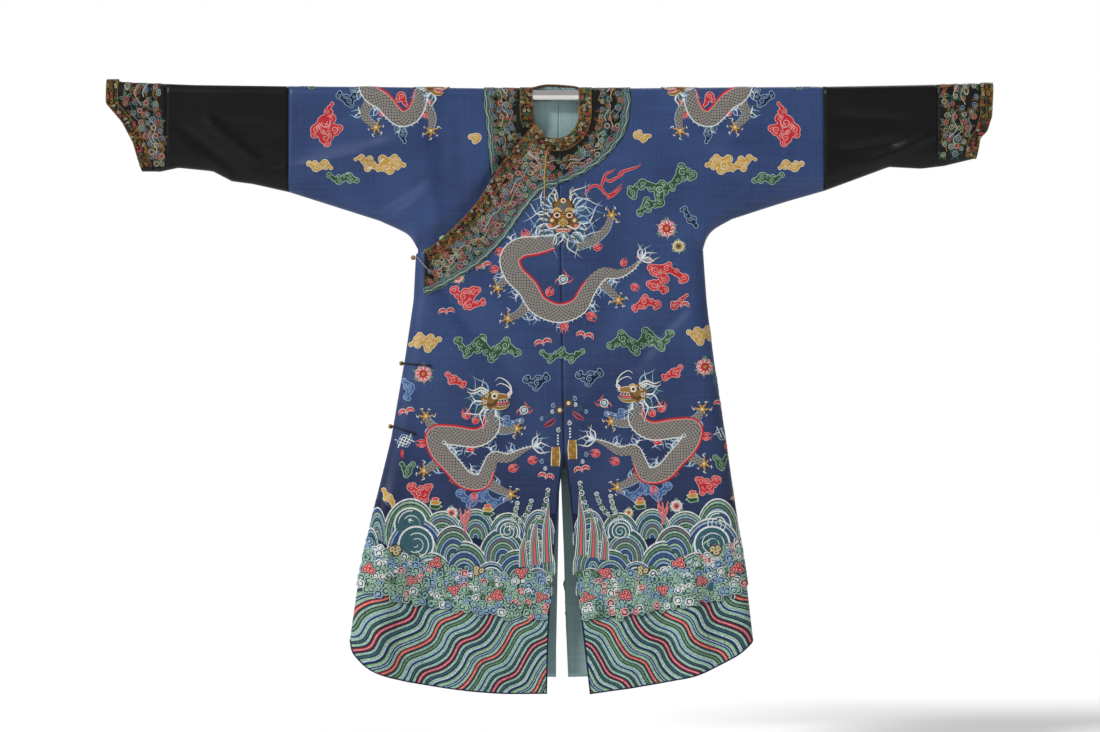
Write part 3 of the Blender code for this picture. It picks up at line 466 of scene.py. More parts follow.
def quarter_turns(steps: int) -> np.ndarray:
    """Even angles from 0 to a right angle."""
    return np.linspace(0.0, math.pi / 2, steps + 1)


def up_over_rod(x: float) -> list[Point]:
    """Places from beside the rod up to the fold over it, at even angles round the rod."""
    top = float(look_up(SHOULDER_LINE, x))
    return [(x, top * math.sin(angle)) for angle in quarter_turns(ROLL_STEPS)[1:]]


def half_panel(side: int, inner: np.ndarray, hem: Sequence[Point], inset: float) -> np.ndarray:
    """Grid of (x, z) for half the body: lines run straight from the inner edge to the seam.

    Lines are close together where they fold over the rod and roll at the seam, and the lowest
    ones bend by a square law to the hem.

    Args:
        side: -1 for the wearer's right, 1 for the left.
        inner: the inner edge: slit, centre seam, neck and shoulder fold, from the hem up.
        hem: the hem from the slit to the side.
        inset: how far the under flap stays inside the overlap.

    Returns:
        Places with rows along the edge and columns out to the seam.
    """
    side_z = np.array([hem[-1][1], SLIT_TOP, ARMPIT_Z])
    low, high = ([(side * side_distance(z, side, inset), z) for z in np.linspace(a, b, 8)]
                 for a, b in zip(side_z[:-1], side_z[1:]))
    arm = [(side * out, z) for out, z in UNDERARM[side] if out < SLEEVE_SEAM[side] - 0.01]
    arm[0] = (side * float(side_distance(ARMPIT_Z, side, inset)), ARMPIT_Z)
    seam = SLEEVE_SEAM[side]
    end = (side * (seam - SEAM_GAP / 2), float(look_up(UNDERARM[side], seam)))
    outer = joined_rows((low, SKIRT_ROWS), (high, BODY_ROWS), (arm[:4], NECK_ROWS),
                        (arm[3:] + [end], SHOULDER_ROWS))
    length = np.linalg.norm(outer - inner, axis=1)
    slope = (inner[:, 1] - outer[:, 1]) / length
    above = np.clip(inner[:, 1] / look_up(SHOULDER_LINE, inner[:, 0]), 0.0, 1.0)
    reach = np.maximum(inner[:, 1], 0.0) + SIDE_OF_ROD * (1.0 - above)
    folds = np.arange(len(inner)) >= SKIRT_ROWS + BODY_ROWS
    turn = quarter_turns(SEAM_STEPS)
    far = 1.0 - SEAM_ROLL * (1.0 - np.cos(turn[::-1])) / length[:, None]
    even_reach = far[:, 0] * ROLL_STEPS / (PANEL_MIDDLE + ROLL_STEPS)
    start = np.where(folds, reach / np.maximum(slope, 0.05) / length, even_reach)[:, None]
    share = np.where(folds, above, 0.0)[:, None]
    turn = quarter_turns(ROLL_STEPS)
    near = start * (share * (1.0 - np.cos(turn)) + (1.0 - share) * turn / (math.pi / 2))
    between = near[:, -1:] + (far[:, :1] - near[:, -1:]) * np.linspace(0.0, 1.0, PANEL_MIDDLE)[1:-1]
    part = np.hstack([near, between, far])
    grid = inner[:, None] + (outer - inner)[:, None] * part[..., None]
    dense = smooth_curve(hem, 120)
    bend = dense - (dense[0] + (dense[-1] - dense[0]) * np.linspace(0.0, 1.0, 121)[:, None])
    bent = np.stack([np.interp(part, np.linspace(0.0, 1.0, 121), bend[:, k]) for k in (0, 1)], axis=-1)
    weight = np.clip(1.0 - np.arange(len(inner)) / SKIRT_ROWS, 0.0, 1.0) ** 2
    return grid + bent * weight[:, None, None]


def neck_curve(side: int) -> list[Point]:
    """The neck's edge from the middle of its bottom up one side to the straight part.

    Args:
        side: +1 for the wearer's left, -1 for the right.

    Returns:
        Places (x, z) along the edge, in metres.
    """
    edge = NECK_LEFT if side < 0 else NECK_RIGHT
    turn = np.linspace(0.0, math.pi / 2, 7)
    x = NECK_MIDDLE + (edge - NECK_MIDDLE) * np.sin(turn)
    z = NECK_STRAIGHT + (NECK_BOTTOM - NECK_STRAIGHT) * np.cos(turn)
    return list(zip(x.tolist(), z.tolist()))


def back_neck(side: int, rows: int) -> np.ndarray:
    """The back neck's edge from the middle out to one side: it stands up over the rod.

    Args:
        side: +1 for the wearer's left, -1 for the right.
        rows: the number of places.

    Returns:
        An array of places (x, z), in metres.
    """
    edge = NECK_LEFT if side < 0 else NECK_RIGHT
    turn = quarter_turns(rows)
    x = NECK_MIDDLE + (edge - NECK_MIDDLE) * np.sin(turn)
    z = look_up(SHOULDER_LINE, x) + BACK_NECK_RISE * np.cos(turn) ** 2
    return np.stack([x, z], axis=1)


def shoulder_run(start: float, end: float) -> list[Point]:
    """Points on the shoulder fold from start to end."""
    return [(x, float(look_up(SHOULDER_LINE, x))) for x in np.linspace(start, end, 6)]


def plan_area(grid: np.ndarray) -> float:
    """Area of a grid of flat places: the sum of half the cross products of its quads' diagonals."""
    one = grid[1:, 1:] - grid[:-1, :-1]
    two = grid[1:, :-1] - grid[:-1, 1:]
    return float(np.abs(one[..., 0] * two[..., 1] - one[..., 1] * two[..., 0]).sum() / 2)


def grid_faces(rows: int, columns: int, first: int = 0) -> np.ndarray:
    """Quads of a grid of points numbered row by row from first."""
    corner = first + np.arange(rows - 1)[:, None] * columns + np.arange(columns - 1)[None, :]
    corner = corner.reshape(-1, 1)
    return corner + np.array([[0, 1, columns + 1, columns]])


def make_object(name: str, points: np.ndarray, faces: list,
        material: bpy.types.Material) -> bpy.types.Object:
    """A smooth mesh object at the origin.

    Args:
        name: the piece's name.
        points: its vertices.
        faces: vertex numbers of each face.
        material: its first finish.

    Returns:
        The new object, linked to the scene.
    """
    mesh = bpy.data.meshes.new(name)
    mesh.from_pydata(points.reshape(-1, 3).tolist(), [], faces)
    mesh.materials.append(material)
    mesh.shade_smooth()
    piece = bpy.data.objects.new(name, mesh)
    bpy.context.scene.collection.objects.link(piece)
    return piece


def make_sheet(
    name: str,
    grids: Sequence[tuple[np.ndarray, bool]],
    outside: bpy.types.Material,
    inside: bpy.types.Material | None = None,
    wall: float = CLOTH,
) -> bpy.types.Object:
    """A cloth piece: grids of points joined where they meet, then given a wall by Solidify.

    Args:
        name: the piece's name.
        grids: arrays of points, each with whether its faces are turned over.
        outside: finish of the side that its normals point to.
        inside: finish of the other side.
        wall: the cloth's thickness.

    Returns:
        The new object.
    """
    points, faces, first = [], [], 0
    for grid, turned in grids:
        quads = grid_faces(*grid.shape[:2], first)
        faces += (quads[:, ::-1] if turned else quads).tolist()
        points.append(grid.reshape(-1, 3))
        first += len(points[-1])
    piece = make_object(name, np.vstack(points), faces, outside)
    work = bmesh.new()
    work.from_mesh(piece.data)
    bmesh.ops.remove_doubles(work, verts=work.verts, dist=0.00005)
    bmesh.ops.dissolve_degenerate(work, edges=work.edges, dist=0.00002)
    work.to_mesh(piece.data)
    work.free()
    piece.data.shade_smooth()
    if inside:
        piece.data.materials.append(inside)
    solid = piece.modifiers.new("cloth wall", "SOLIDIFY")
    solid.thickness = wall
    solid.offset = 0.0
    solid.use_even_offset = False
    solid.material_offset = 1 if inside else 0
    return piece


class Silk(Enum):
    """Thread and cloth colours as screen values from 0 to 255."""

    RED = (186, 42, 50)
    ROSE = (206, 92, 96)
    PINK = (226, 158, 152)
    ORANGE = (200, 104, 62)
    GOLD = (190, 146, 66)
    OCHRE = (142, 104, 50)
    BROWN = (92, 68, 44)
    CREAM = (216, 206, 172)
    WHITE = (216, 220, 216)
    MINT = (150, 182, 158)
    LEAF = (96, 132, 96)
    GREEN = (46, 78, 54)
    TEAL = (54, 92, 100)
    SKY = (136, 166, 190)
    BLUE = (62, 88, 140)
    NAVY = (22, 30, 62)
    GREY = (112, 112, 108)
    PLUM = (84, 40, 60)
    BLACK = (18, 17, 20)

    def linear(self) -> np.ndarray:
        """The colour as linear light with full cover."""
        return np.append(to_linear(self.value), 1.0)


def to_linear(screen: Colour) -> np.ndarray:
    """Linear light of a colour given as screen values from 0 to 255 (the sRGB curve)."""
    part = np.array(screen, dtype=float) / 255.0
    return np.where(part <= 0.04045, part / 12.92, ((part + 0.055) / 1.055) ** 2.4)


class Wiring:
    """Short calls for building a node tree."""

    def __init__(self, tree: bpy.types.NodeTree) -> None:
        """Keeps the tree that nodes are added to."""
        self.tree = tree

    def node(self, kind: str, sockets: dict | None = None, **settings: object) -> bpy.types.Node:
        """Adds a node.

        Args:
            kind: the node's type name after ShaderNode, or a full type name.
            sockets: values or output sockets for its inputs, by name or number.
            settings: the node's own properties.

        Returns:
            The new node.
        """
        full = kind if kind.startswith("Node") else "ShaderNode" + kind
        made = self.tree.nodes.new(full)
        for name, value in settings.items():
            setattr(made, name, value)
        for key, value in (sockets or {}).items():
            self.feed(made.inputs[key], value)
        return made

    def feed(self, socket: bpy.types.NodeSocket, value: object) -> None:
        """Links an output to a socket, or sets the socket's own value."""
        if isinstance(value, bpy.types.NodeSocket):
            self.tree.links.new(value, socket)
        else:
            socket.default_value = value

    def math(self, operation: str, first: object, second: object = 0.0,
            third: object = 0.0) -> bpy.types.NodeSocket:
        """Output of a Math node."""
        made = self.node("Math", operation=operation)
        for socket, value in zip(made.inputs, (first, second, third)):
            self.feed(socket, value)
        return made.outputs[0]

    def mix(self, factor: object, first: object, second: object, blend: str = "MIX") -> bpy.types.NodeSocket:
        """Output of a colour Mix node."""
        made = self.node("Mix", data_type="RGBA", blend_type=blend)
        for key, value in ((0, factor), (6, first), (7, second)):
            self.feed(made.inputs[key], value)
        return made.outputs[2]

    def noise(self, vector: object, scale: float, detail: float = 2.0) -> bpy.types.NodeSocket:
        """Value of a Noise texture."""
        return self.node("TexNoise", {"Vector": vector, "Scale": scale, "Detail": detail}).outputs["Fac"]

    def stretch(self, vector: object, scale: tuple[float, float, float]) -> bpy.types.NodeSocket:
        """A vector with each axis times its own scale."""
        made = self.node("VectorMath", operation="MULTIPLY")
        self.feed(made.inputs[0], vector)
        self.feed(made.inputs[1], scale)
        return made.outputs[0]


def new_group(name: str, inputs: dict[str, str], outputs: dict[str, str]) -> tuple[Wiring, object, object]:
    """A shader node group with named sockets.

    Args:
        name: the group's name.
        inputs: kind of each input socket by name: Float, Vector or Color.
        outputs: the same for the outputs.

    Returns:
        Its wiring, its input node's outputs and its output node's inputs.
    """
    tree = bpy.data.node_groups.new(name, "ShaderNodeTree")
    for sockets, way in ((inputs, "INPUT"), (outputs, "OUTPUT")):
        for label, kind in sockets.items():
            tree.interface.new_socket(name=label, in_out=way, socket_type="NodeSocket" + kind)
    wiring = Wiring(tree)
    return wiring, wiring.node("NodeGroupInput").outputs, wiring.node("NodeGroupOutput").inputs


def weave_group() -> bpy.types.NodeTree:
    """Plain weave with ribs: threads both ways, slubs along the warp, and slow shade changes.

    Returns:
        The node group.
    """
    if "silk weave" in bpy.data.node_groups:
        return bpy.data.node_groups["silk weave"]
    wiring, given, result = new_group(
        "silk weave",
        {"Vector": "Vector", "Thread": "Float", "Rib": "Float"},
        {"Height": "Float", "Slub": "Float", "Cloudiness": "Float"},
    )
    place = wiring.node("SeparateXYZ", {"Vector": given["Vector"]}).outputs
    rate = wiring.math("DIVIDE", 2 * math.pi, given["Thread"])
    warp = wiring.math("SINE", wiring.math("MULTIPLY", place["X"], rate))
    weft = wiring.math("SINE", wiring.math("MULTIPLY", place["Z"], rate))
    slub = wiring.noise(wiring.stretch(given["Vector"], (420.0, 420.0, 9.0)), 1.0, 3.0)
    cross = wiring.noise(wiring.stretch(given["Vector"], (6.0, 6.0, 300.0)), 1.0, 2.0)
    ribs = wiring.math("MULTIPLY", wiring.math("ADD", slub, cross), given["Rib"])
    height = wiring.math("MULTIPLY_ADD", wiring.math("MULTIPLY", warp, weft), 0.35, ribs)
    wiring.feed(result["Height"], height)
    wiring.feed(result["Slub"], wiring.math("MULTIPLY", wiring.math("ADD", slub, cross), 0.5))
    wiring.feed(result["Cloudiness"], wiring.noise(given["Vector"], 5.5, 4.0))
    return wiring.tree


def stitch_group() -> bpy.types.NodeTree:
    """Satin stitch: slanting threads over the piece's own UV, with a little unevenness.

    Returns:
        The node group.
    """
    if "satin stitch" in bpy.data.node_groups:
        return bpy.data.node_groups["satin stitch"]
    wiring, given, result = new_group(
        "satin stitch",
        {"UV": "Vector", "Thread": "Float"},
        {"Height": "Float", "Shade": "Float"},
    )
    place = wiring.node("SeparateXYZ", {"Vector": given["UV"]}).outputs
    slant = wiring.math("MULTIPLY_ADD", place["Y"], 0.35, place["X"])
    rate = wiring.math("DIVIDE", 2 * math.pi, given["Thread"])
    thread = wiring.math("SINE", wiring.math("MULTIPLY", slant, rate))
    uneven = wiring.noise(wiring.stretch(given["UV"], (900.0, 160.0, 1.0)), 1.0, 2.0)
    wiring.feed(result["Height"], wiring.math("MULTIPLY_ADD", thread, 0.5, uneven))
    wiring.feed(result["Shade"], wiring.math("MULTIPLY_ADD", thread, 0.12, uneven))
    return wiring.tree


# How much of glass's own reflection cloth and thread keep
CLOTH_SHINE = 0.14


def principled(name: str, roughness: float, metallic: float = 0.0,
        sheen: float = 0.0) -> tuple[bpy.types.Material, Wiring, bpy.types.Node]:
    """A new material with its wiring and its Principled shader.

    Args:
        name: the material's name.
        roughness: its plain roughness.
        metallic: its metallic value.
        sheen: weight of the cloth sheen.

    Returns:
        The material, a wiring of its tree, and the shader node.
    """
    material = bpy.data.materials.new(name)
    material.use_nodes = True
    shader = material.node_tree.nodes["Principled BSDF"]
    shader.inputs["Roughness"].default_value = roughness
    shader.inputs["Metallic"].default_value = metallic
    shader.inputs["Sheen Weight"].default_value = sheen
    shader.inputs["Sheen Roughness"].default_value = 0.4
    shader.inputs["Specular IOR Level"].default_value = 0.5 if metallic > 0.9 else CLOTH_SHINE
    return material, Wiring(material.node_tree), shader


@dataclass(frozen=True)
class WovenSilk:
    """A woven silk: base and shaded colour, thread spacing and how strongly ribs and weave show."""

    name: str
    colour: Colour
    deep: Colour
    roughness: float = 0.5
    sheen: float = 0.25
    thread: float = 0.0009
    rib: float = 0.5
    relief: float = 0.25
    shine: float = CLOTH_SHINE
    # How much painted shade darkens the cloth towards the hem, in uneven patches
    wear_and_painted_shade: float = 0.0

    def make(self) -> bpy.types.Material:
        """Builds the material on Object coordinates, with painted shade: darker low down, in uneven patches,
        as much as its last field says.

        Returns:
            The material.
        """
        material, wiring, shader = principled(self.name, self.roughness, 0.0, self.sheen)
        shader.inputs["Specular IOR Level"].default_value = self.shine
        place = wiring.node("TexCoord").outputs["Object"]
        weave = wiring.node("Group", node_tree=weave_group())
        for key, value in (("Vector", place), ("Thread", self.thread), ("Rib", self.rib)):
            wiring.feed(weave.inputs[key], value)
        spread = wiring.node("MapRange", {"Value": weave.outputs["Cloudiness"], "From Min": 0.35,
            "From Max": 0.68})
        slub = wiring.node("MapRange", {"Value": weave.outputs["Slub"], "From Min": 0.36, "From Max": 0.62})
        shade = wiring.math("MULTIPLY_ADD", spread.outputs[0], 0.55,
            wiring.math("MULTIPLY", slub.outputs[0], 0.45))
        light, dark = (tuple(to_linear(c)) + (1.0,) for c in (self.colour, self.deep))
        # Painted shade: the colour is multiplied darker towards the hem, in uneven patches
        height = wiring.node("SeparateXYZ", {"Vector": place}).outputs["Z"]
        patchy = wiring.math("MULTIPLY_ADD", wiring.noise(place, 5.0, 3.0), 0.5, height)
        low = wiring.node("MapRange", {"Value": patchy, "From Min": -0.25, "From Max": -0.75,
            "To Max": self.wear_and_painted_shade})
        darker = wiring.mix(1.0, wiring.mix(shade, dark, light), (0.35, 0.35, 0.42, 1.0), "MULTIPLY")
        colour = wiring.mix(low.outputs[0], wiring.mix(shade, dark, light), darker)
        wiring.feed(shader.inputs["Base Color"], colour)
        rough = wiring.math("MULTIPLY_ADD", slub.outputs[0], -0.12, self.roughness + 0.06)
        wiring.feed(shader.inputs["Roughness"], rough)
        bump = wiring.node("Bump", {"Height": weave.outputs["Height"], "Strength": self.relief,
            "Distance": 0.0004})
        wiring.feed(shader.inputs["Normal"], bump.outputs[0])
        return material


@dataclass(frozen=True)
class Thread:
    """Embroidery thread coloured by the mesh's own tint."""

    name: str
    roughness: float = 0.42
    pitch: float = 0.0011
    relief: float = 0.5

    def make(self) -> bpy.types.Material:
        """Builds the material on the piece's UV and tint.

        Returns:
            The material.
        """
        material, wiring, shader = principled(self.name, self.roughness, 0.0, 0.05)
        tint = wiring.node("Attribute", attribute_name="tint")
        stitch = wiring.node("Group", node_tree=stitch_group())
        wiring.feed(stitch.inputs["UV"], wiring.node("UVMap", uv_map="stitches").outputs[0])
        wiring.feed(stitch.inputs["Thread"], self.pitch)
        dark = wiring.mix(1.0, tint.outputs["Color"], (0.55, 0.55, 0.58, 1.0), "MULTIPLY")
        shade = wiring.node("MapRange", {"Value": stitch.outputs["Shade"], "From Min": 0.3,
            "From Max": 0.62})
        wiring.feed(shader.inputs["Base Color"], wiring.mix(shade.outputs[0], dark, tint.outputs["Color"]))
        bump = wiring.node("Bump", {"Height": stitch.outputs["Height"], "Strength": self.relief,
            "Distance": 0.0003})
        wiring.feed(shader.inputs["Normal"], bump.outputs[0])
        return material


@dataclass(frozen=True)
class Scales:
    """Couched scales of a dragon's body: a net of dark lines over thread, on the piece's UV."""

    name: str
    light: Colour
    dark: Colour
    pitch: float = 0.0078

    def make(self) -> bpy.types.Material:
        """Builds the material: two crossing sets of slanting bands give rows of lozenges.

        Returns:
            The material.
        """
        material, wiring, shader = principled(self.name, 0.42, 0.2, 0.0)
        uv = wiring.node("UVMap", uv_map="stitches").outputs[0]
        place = wiring.node("SeparateXYZ", {"Vector": uv}).outputs
        one = wiring.math("DIVIDE", wiring.math("ADD", place["X"], place["Y"]), self.pitch)
        two = wiring.math("DIVIDE", wiring.math("SUBTRACT", place["X"], place["Y"]), self.pitch)
        bands = [wiring.math("PINGPONG", value, 0.5) for value in (one, two)]
        near = wiring.math("MULTIPLY", wiring.math("MINIMUM", *bands), 2.0)
        inside = wiring.node("MapRange", {"Value": near, "From Min": 0.12, "From Max": 0.34})
        heart = wiring.node("MapRange", {"Value": near, "From Min": 0.55, "From Max": 0.8})
        tint = wiring.node("Attribute", attribute_name="tint").outputs["Color"]
        light, dark = (tuple(to_linear(c)) + (1.0,) for c in (self.light, self.dark))
        uneven = wiring.noise(uv, 140.0, 2.0)
        body = wiring.mix(wiring.math("MULTIPLY", uneven, 0.7), light, tint)
        scale = wiring.mix(inside.outputs[0], dark, body)
        centre = wiring.mix(wiring.math("MULTIPLY", heart.outputs[0], 0.75), scale, dark)
        wiring.feed(shader.inputs["Base Color"], centre)
        bump = wiring.node("Bump", {"Height": near, "Strength": 0.5, "Distance": 0.0006})
        wiring.feed(shader.inputs["Normal"], bump.outputs[0])
        return material


@dataclass(frozen=True)
class SeaStripes:
    """Slanting standing-water stripes: bands of colour over the piece's UV, stitched along."""

    name: str
    # Columns: width of a band against the others, its colour
    bands: tuple = (
        (2.5, Silk.NAVY), (3.5, Silk.PLUM), (1.5, Silk.ROSE), (1.5, Silk.PINK), (1.5, Silk.ROSE),
        (3.5, Silk.PLUM), (2.5, Silk.NAVY),
        (5.5, Silk.MINT), (2.5, Silk.NAVY), (3.5, Silk.TEAL), (2.0, Silk.NAVY), (6.0, Silk.MINT),
        (1.5, Silk.SKY), (3.5, Silk.NAVY),
        (3.0, Silk.SKY), (6.0, Silk.MINT), (2.5, Silk.NAVY), (4.5, Silk.LEAF), (2.5, Silk.NAVY),
        (5.0, Silk.MINT), (2.0, Silk.TEAL),
        (3.0, Silk.NAVY), (2.5, Silk.ORANGE), (1.5, Silk.PINK), (2.5, Silk.RED), (2.5, Silk.NAVY),
        (6.0, Silk.MINT), (2.5, Silk.NAVY),
        (3.0, Silk.SKY), (2.5, Silk.NAVY), (6.0, Silk.MINT), (2.5, Silk.LEAF), (3.5, Silk.NAVY),
        (2.5, Silk.BLUE), (1.5, Silk.WHITE),
        (6.0, Silk.MINT), (2.5, Silk.NAVY), (4.5, Silk.TEAL), (2.0, Silk.NAVY), (5.5, Silk.MINT),
    )

    def make(self) -> bpy.types.Material:
        """Builds the material: a stepped ramp on the stripes' own coordinate.

        Returns:
            The material.
        """
        material, wiring, shader = principled(self.name, 0.48, 0.0, 0.04)
        uv = wiring.node("UVMap", uv_map="stitches").outputs[0]
        place = wiring.node("SeparateXYZ", {"Vector": uv}).outputs
        phase = wiring.math("FRACT", place["Y"])
        half = len(self.bands) // 2 + 1
        widths = np.array([width for width, _ in self.bands])
        starts = (np.cumsum(widths) - widths) / widths.sum()
        bands = [(float(start), silk) for start, (_, silk) in zip(starts, self.bands)]
        ramps = []
        for part in (bands[:half], bands[half - 1 :]):
            ramp = wiring.node("ValToRGB", {"Fac": phase})
            ramp.color_ramp.interpolation = "CONSTANT"
            stops = ramp.color_ramp.elements
            stops[0].position, stops[0].color = part[0][0], part[0][1].linear()
            stops[1].position, stops[1].color = part[1][0], part[1][1].linear()
            for start, silk in part[2:]:
                stops.new(start).color = silk.linear()
            ramps.append(ramp.outputs["Color"])
        late = wiring.math("GREATER_THAN", phase, bands[half - 1][0])
        colour = wiring.mix(late, *ramps)
        stitch = wiring.node("Group", node_tree=stitch_group())
        wiring.feed(stitch.inputs["UV"], wiring.stretch(uv, (0.07, 0.07, 1.0)))
        wiring.feed(stitch.inputs["Thread"], 0.0012)
        grain = wiring.noise(wiring.node("TexCoord").outputs["Object"], 420.0, 2.0)
        shade = wiring.node("MapRange", {"Value": grain, "From Min": 0.36, "From Max": 0.6})
        darker = wiring.mix(1.0, colour, (0.42, 0.44, 0.50, 1.0), "MULTIPLY")
        wiring.feed(shader.inputs["Base Color"], wiring.mix(shade.outputs[0], darker, colour))
        bump = wiring.node("Bump", {"Height": stitch.outputs["Height"], "Strength": 0.4, "Distance": 0.0003})
        wiring.feed(shader.inputs["Normal"], bump.outputs[0])
        return material


@dataclass(frozen=True)
class Cord:
    """Silk cord or braid: a colour with finer, darker threads through it."""

    name: str
    colour: Colour
    grain: float = 900.0

    def make(self) -> bpy.types.Material:
        """Builds the material on Object coordinates.

        Returns:
            The material.
        """
        material, wiring, shader = principled(self.name, 0.55)
        place = wiring.node("TexCoord").outputs["Object"]
        threads = wiring.noise(place, self.grain, 3.0)
        share = wiring.node("MapRange", {"Value": threads, "From Min": 0.38, "From Max": 0.6})
        light = tuple(to_linear(self.colour)) + (1.0,)
        dark = tuple(0.28 * part for part in light[:3]) + (1.0,)
        wiring.feed(shader.inputs["Base Color"], wiring.mix(share.outputs[0], dark, light))
        bump = wiring.node("Bump", {"Height": threads, "Strength": 0.4, "Distance": 0.0003})
        wiring.feed(shader.inputs["Normal"], bump.outputs[0])
        return material


@dataclass(frozen=True)
class Metal:
    """A plain metal with fine wear: the rod and the buttons."""

    name: str
    colour: Colour
    roughness: float

    def make(self) -> bpy.types.Material:
        """Builds the material, with a little noise in its roughness.

        Returns:
            The material.
        """
        material, wiring, shader = principled(self.name, self.roughness, 1.0)
        shader.inputs["Base Color"].default_value = tuple(to_linear(self.colour)) + (1.0,)
        place = wiring.node("TexCoord").outputs["Object"]
        wear_and_painted_shade = wiring.noise(wiring.stretch(place, (30.0, 400.0, 400.0)), 1.0, 3.0)
        wiring.feed(shader.inputs["Roughness"], wiring.math("MULTIPLY_ADD", wear_and_painted_shade, 0.16,
            self.roughness - 0.05))
        return material


class Face(Enum):
    """The side of the robe that a design is laid on."""

    FRONT = 0
    BACK = 1


@dataclass(frozen=True)
class Setting:
    """How a design drawn once is laid on the robe: mirrored across an axis, shifted, front or back."""

    face: Face = Face.FRONT
    mirrored: bool = False
    axis: float = 12.0
    shift_x: float = 0.0
    shift_t: float = 0.0

    def lay(self, places: np.ndarray) -> np.ndarray:
        """Cloth places of the design's own places, in millimetres.

        Args:
            places: x and height in millimetres, one row a place.

        Returns:
            Cloth places, in millimetres, of the same shape.
        """
        x, t = places[..., 0], places[..., 1]
        x = (2 * self.axis - x if self.mirrored else x) + self.shift_x
        t = t + self.shift_t
        if self.face is Face.BACK:
            x, t = 2 * self.axis - x, 2 * TURN - t
        return np.stack([x, t], axis=-1)


@dataclass(frozen=True)
class Spot:
    """A motif's own place on the design: middle, size, turn in degrees, and whether it is flipped."""

    x: float
    t: float
    size: float = 1.0
    turn: float = 0.0
    flip: bool = False

    def lay(self, places: Sequence[Sequence[float]] | np.ndarray) -> np.ndarray:
        """Design places of the motif's own places: flipped, scaled, turned and moved.

        Args:
            places: the motif's own places, one row a place.

        Returns:
            The places on the robe's design, in millimetres.
        """
        rows = np.array(places, dtype=float)
        x = (-rows[..., 0] if self.flip else rows[..., 0]) * self.size
        y = rows[..., 1] * self.size
        angle = math.radians(self.turn)
        return np.stack(
            [self.x + x * math.cos(angle) - y * math.sin(angle), self.t + x * math.sin(angle) + y
            * math.cos(angle)],
            axis=-1,
        )


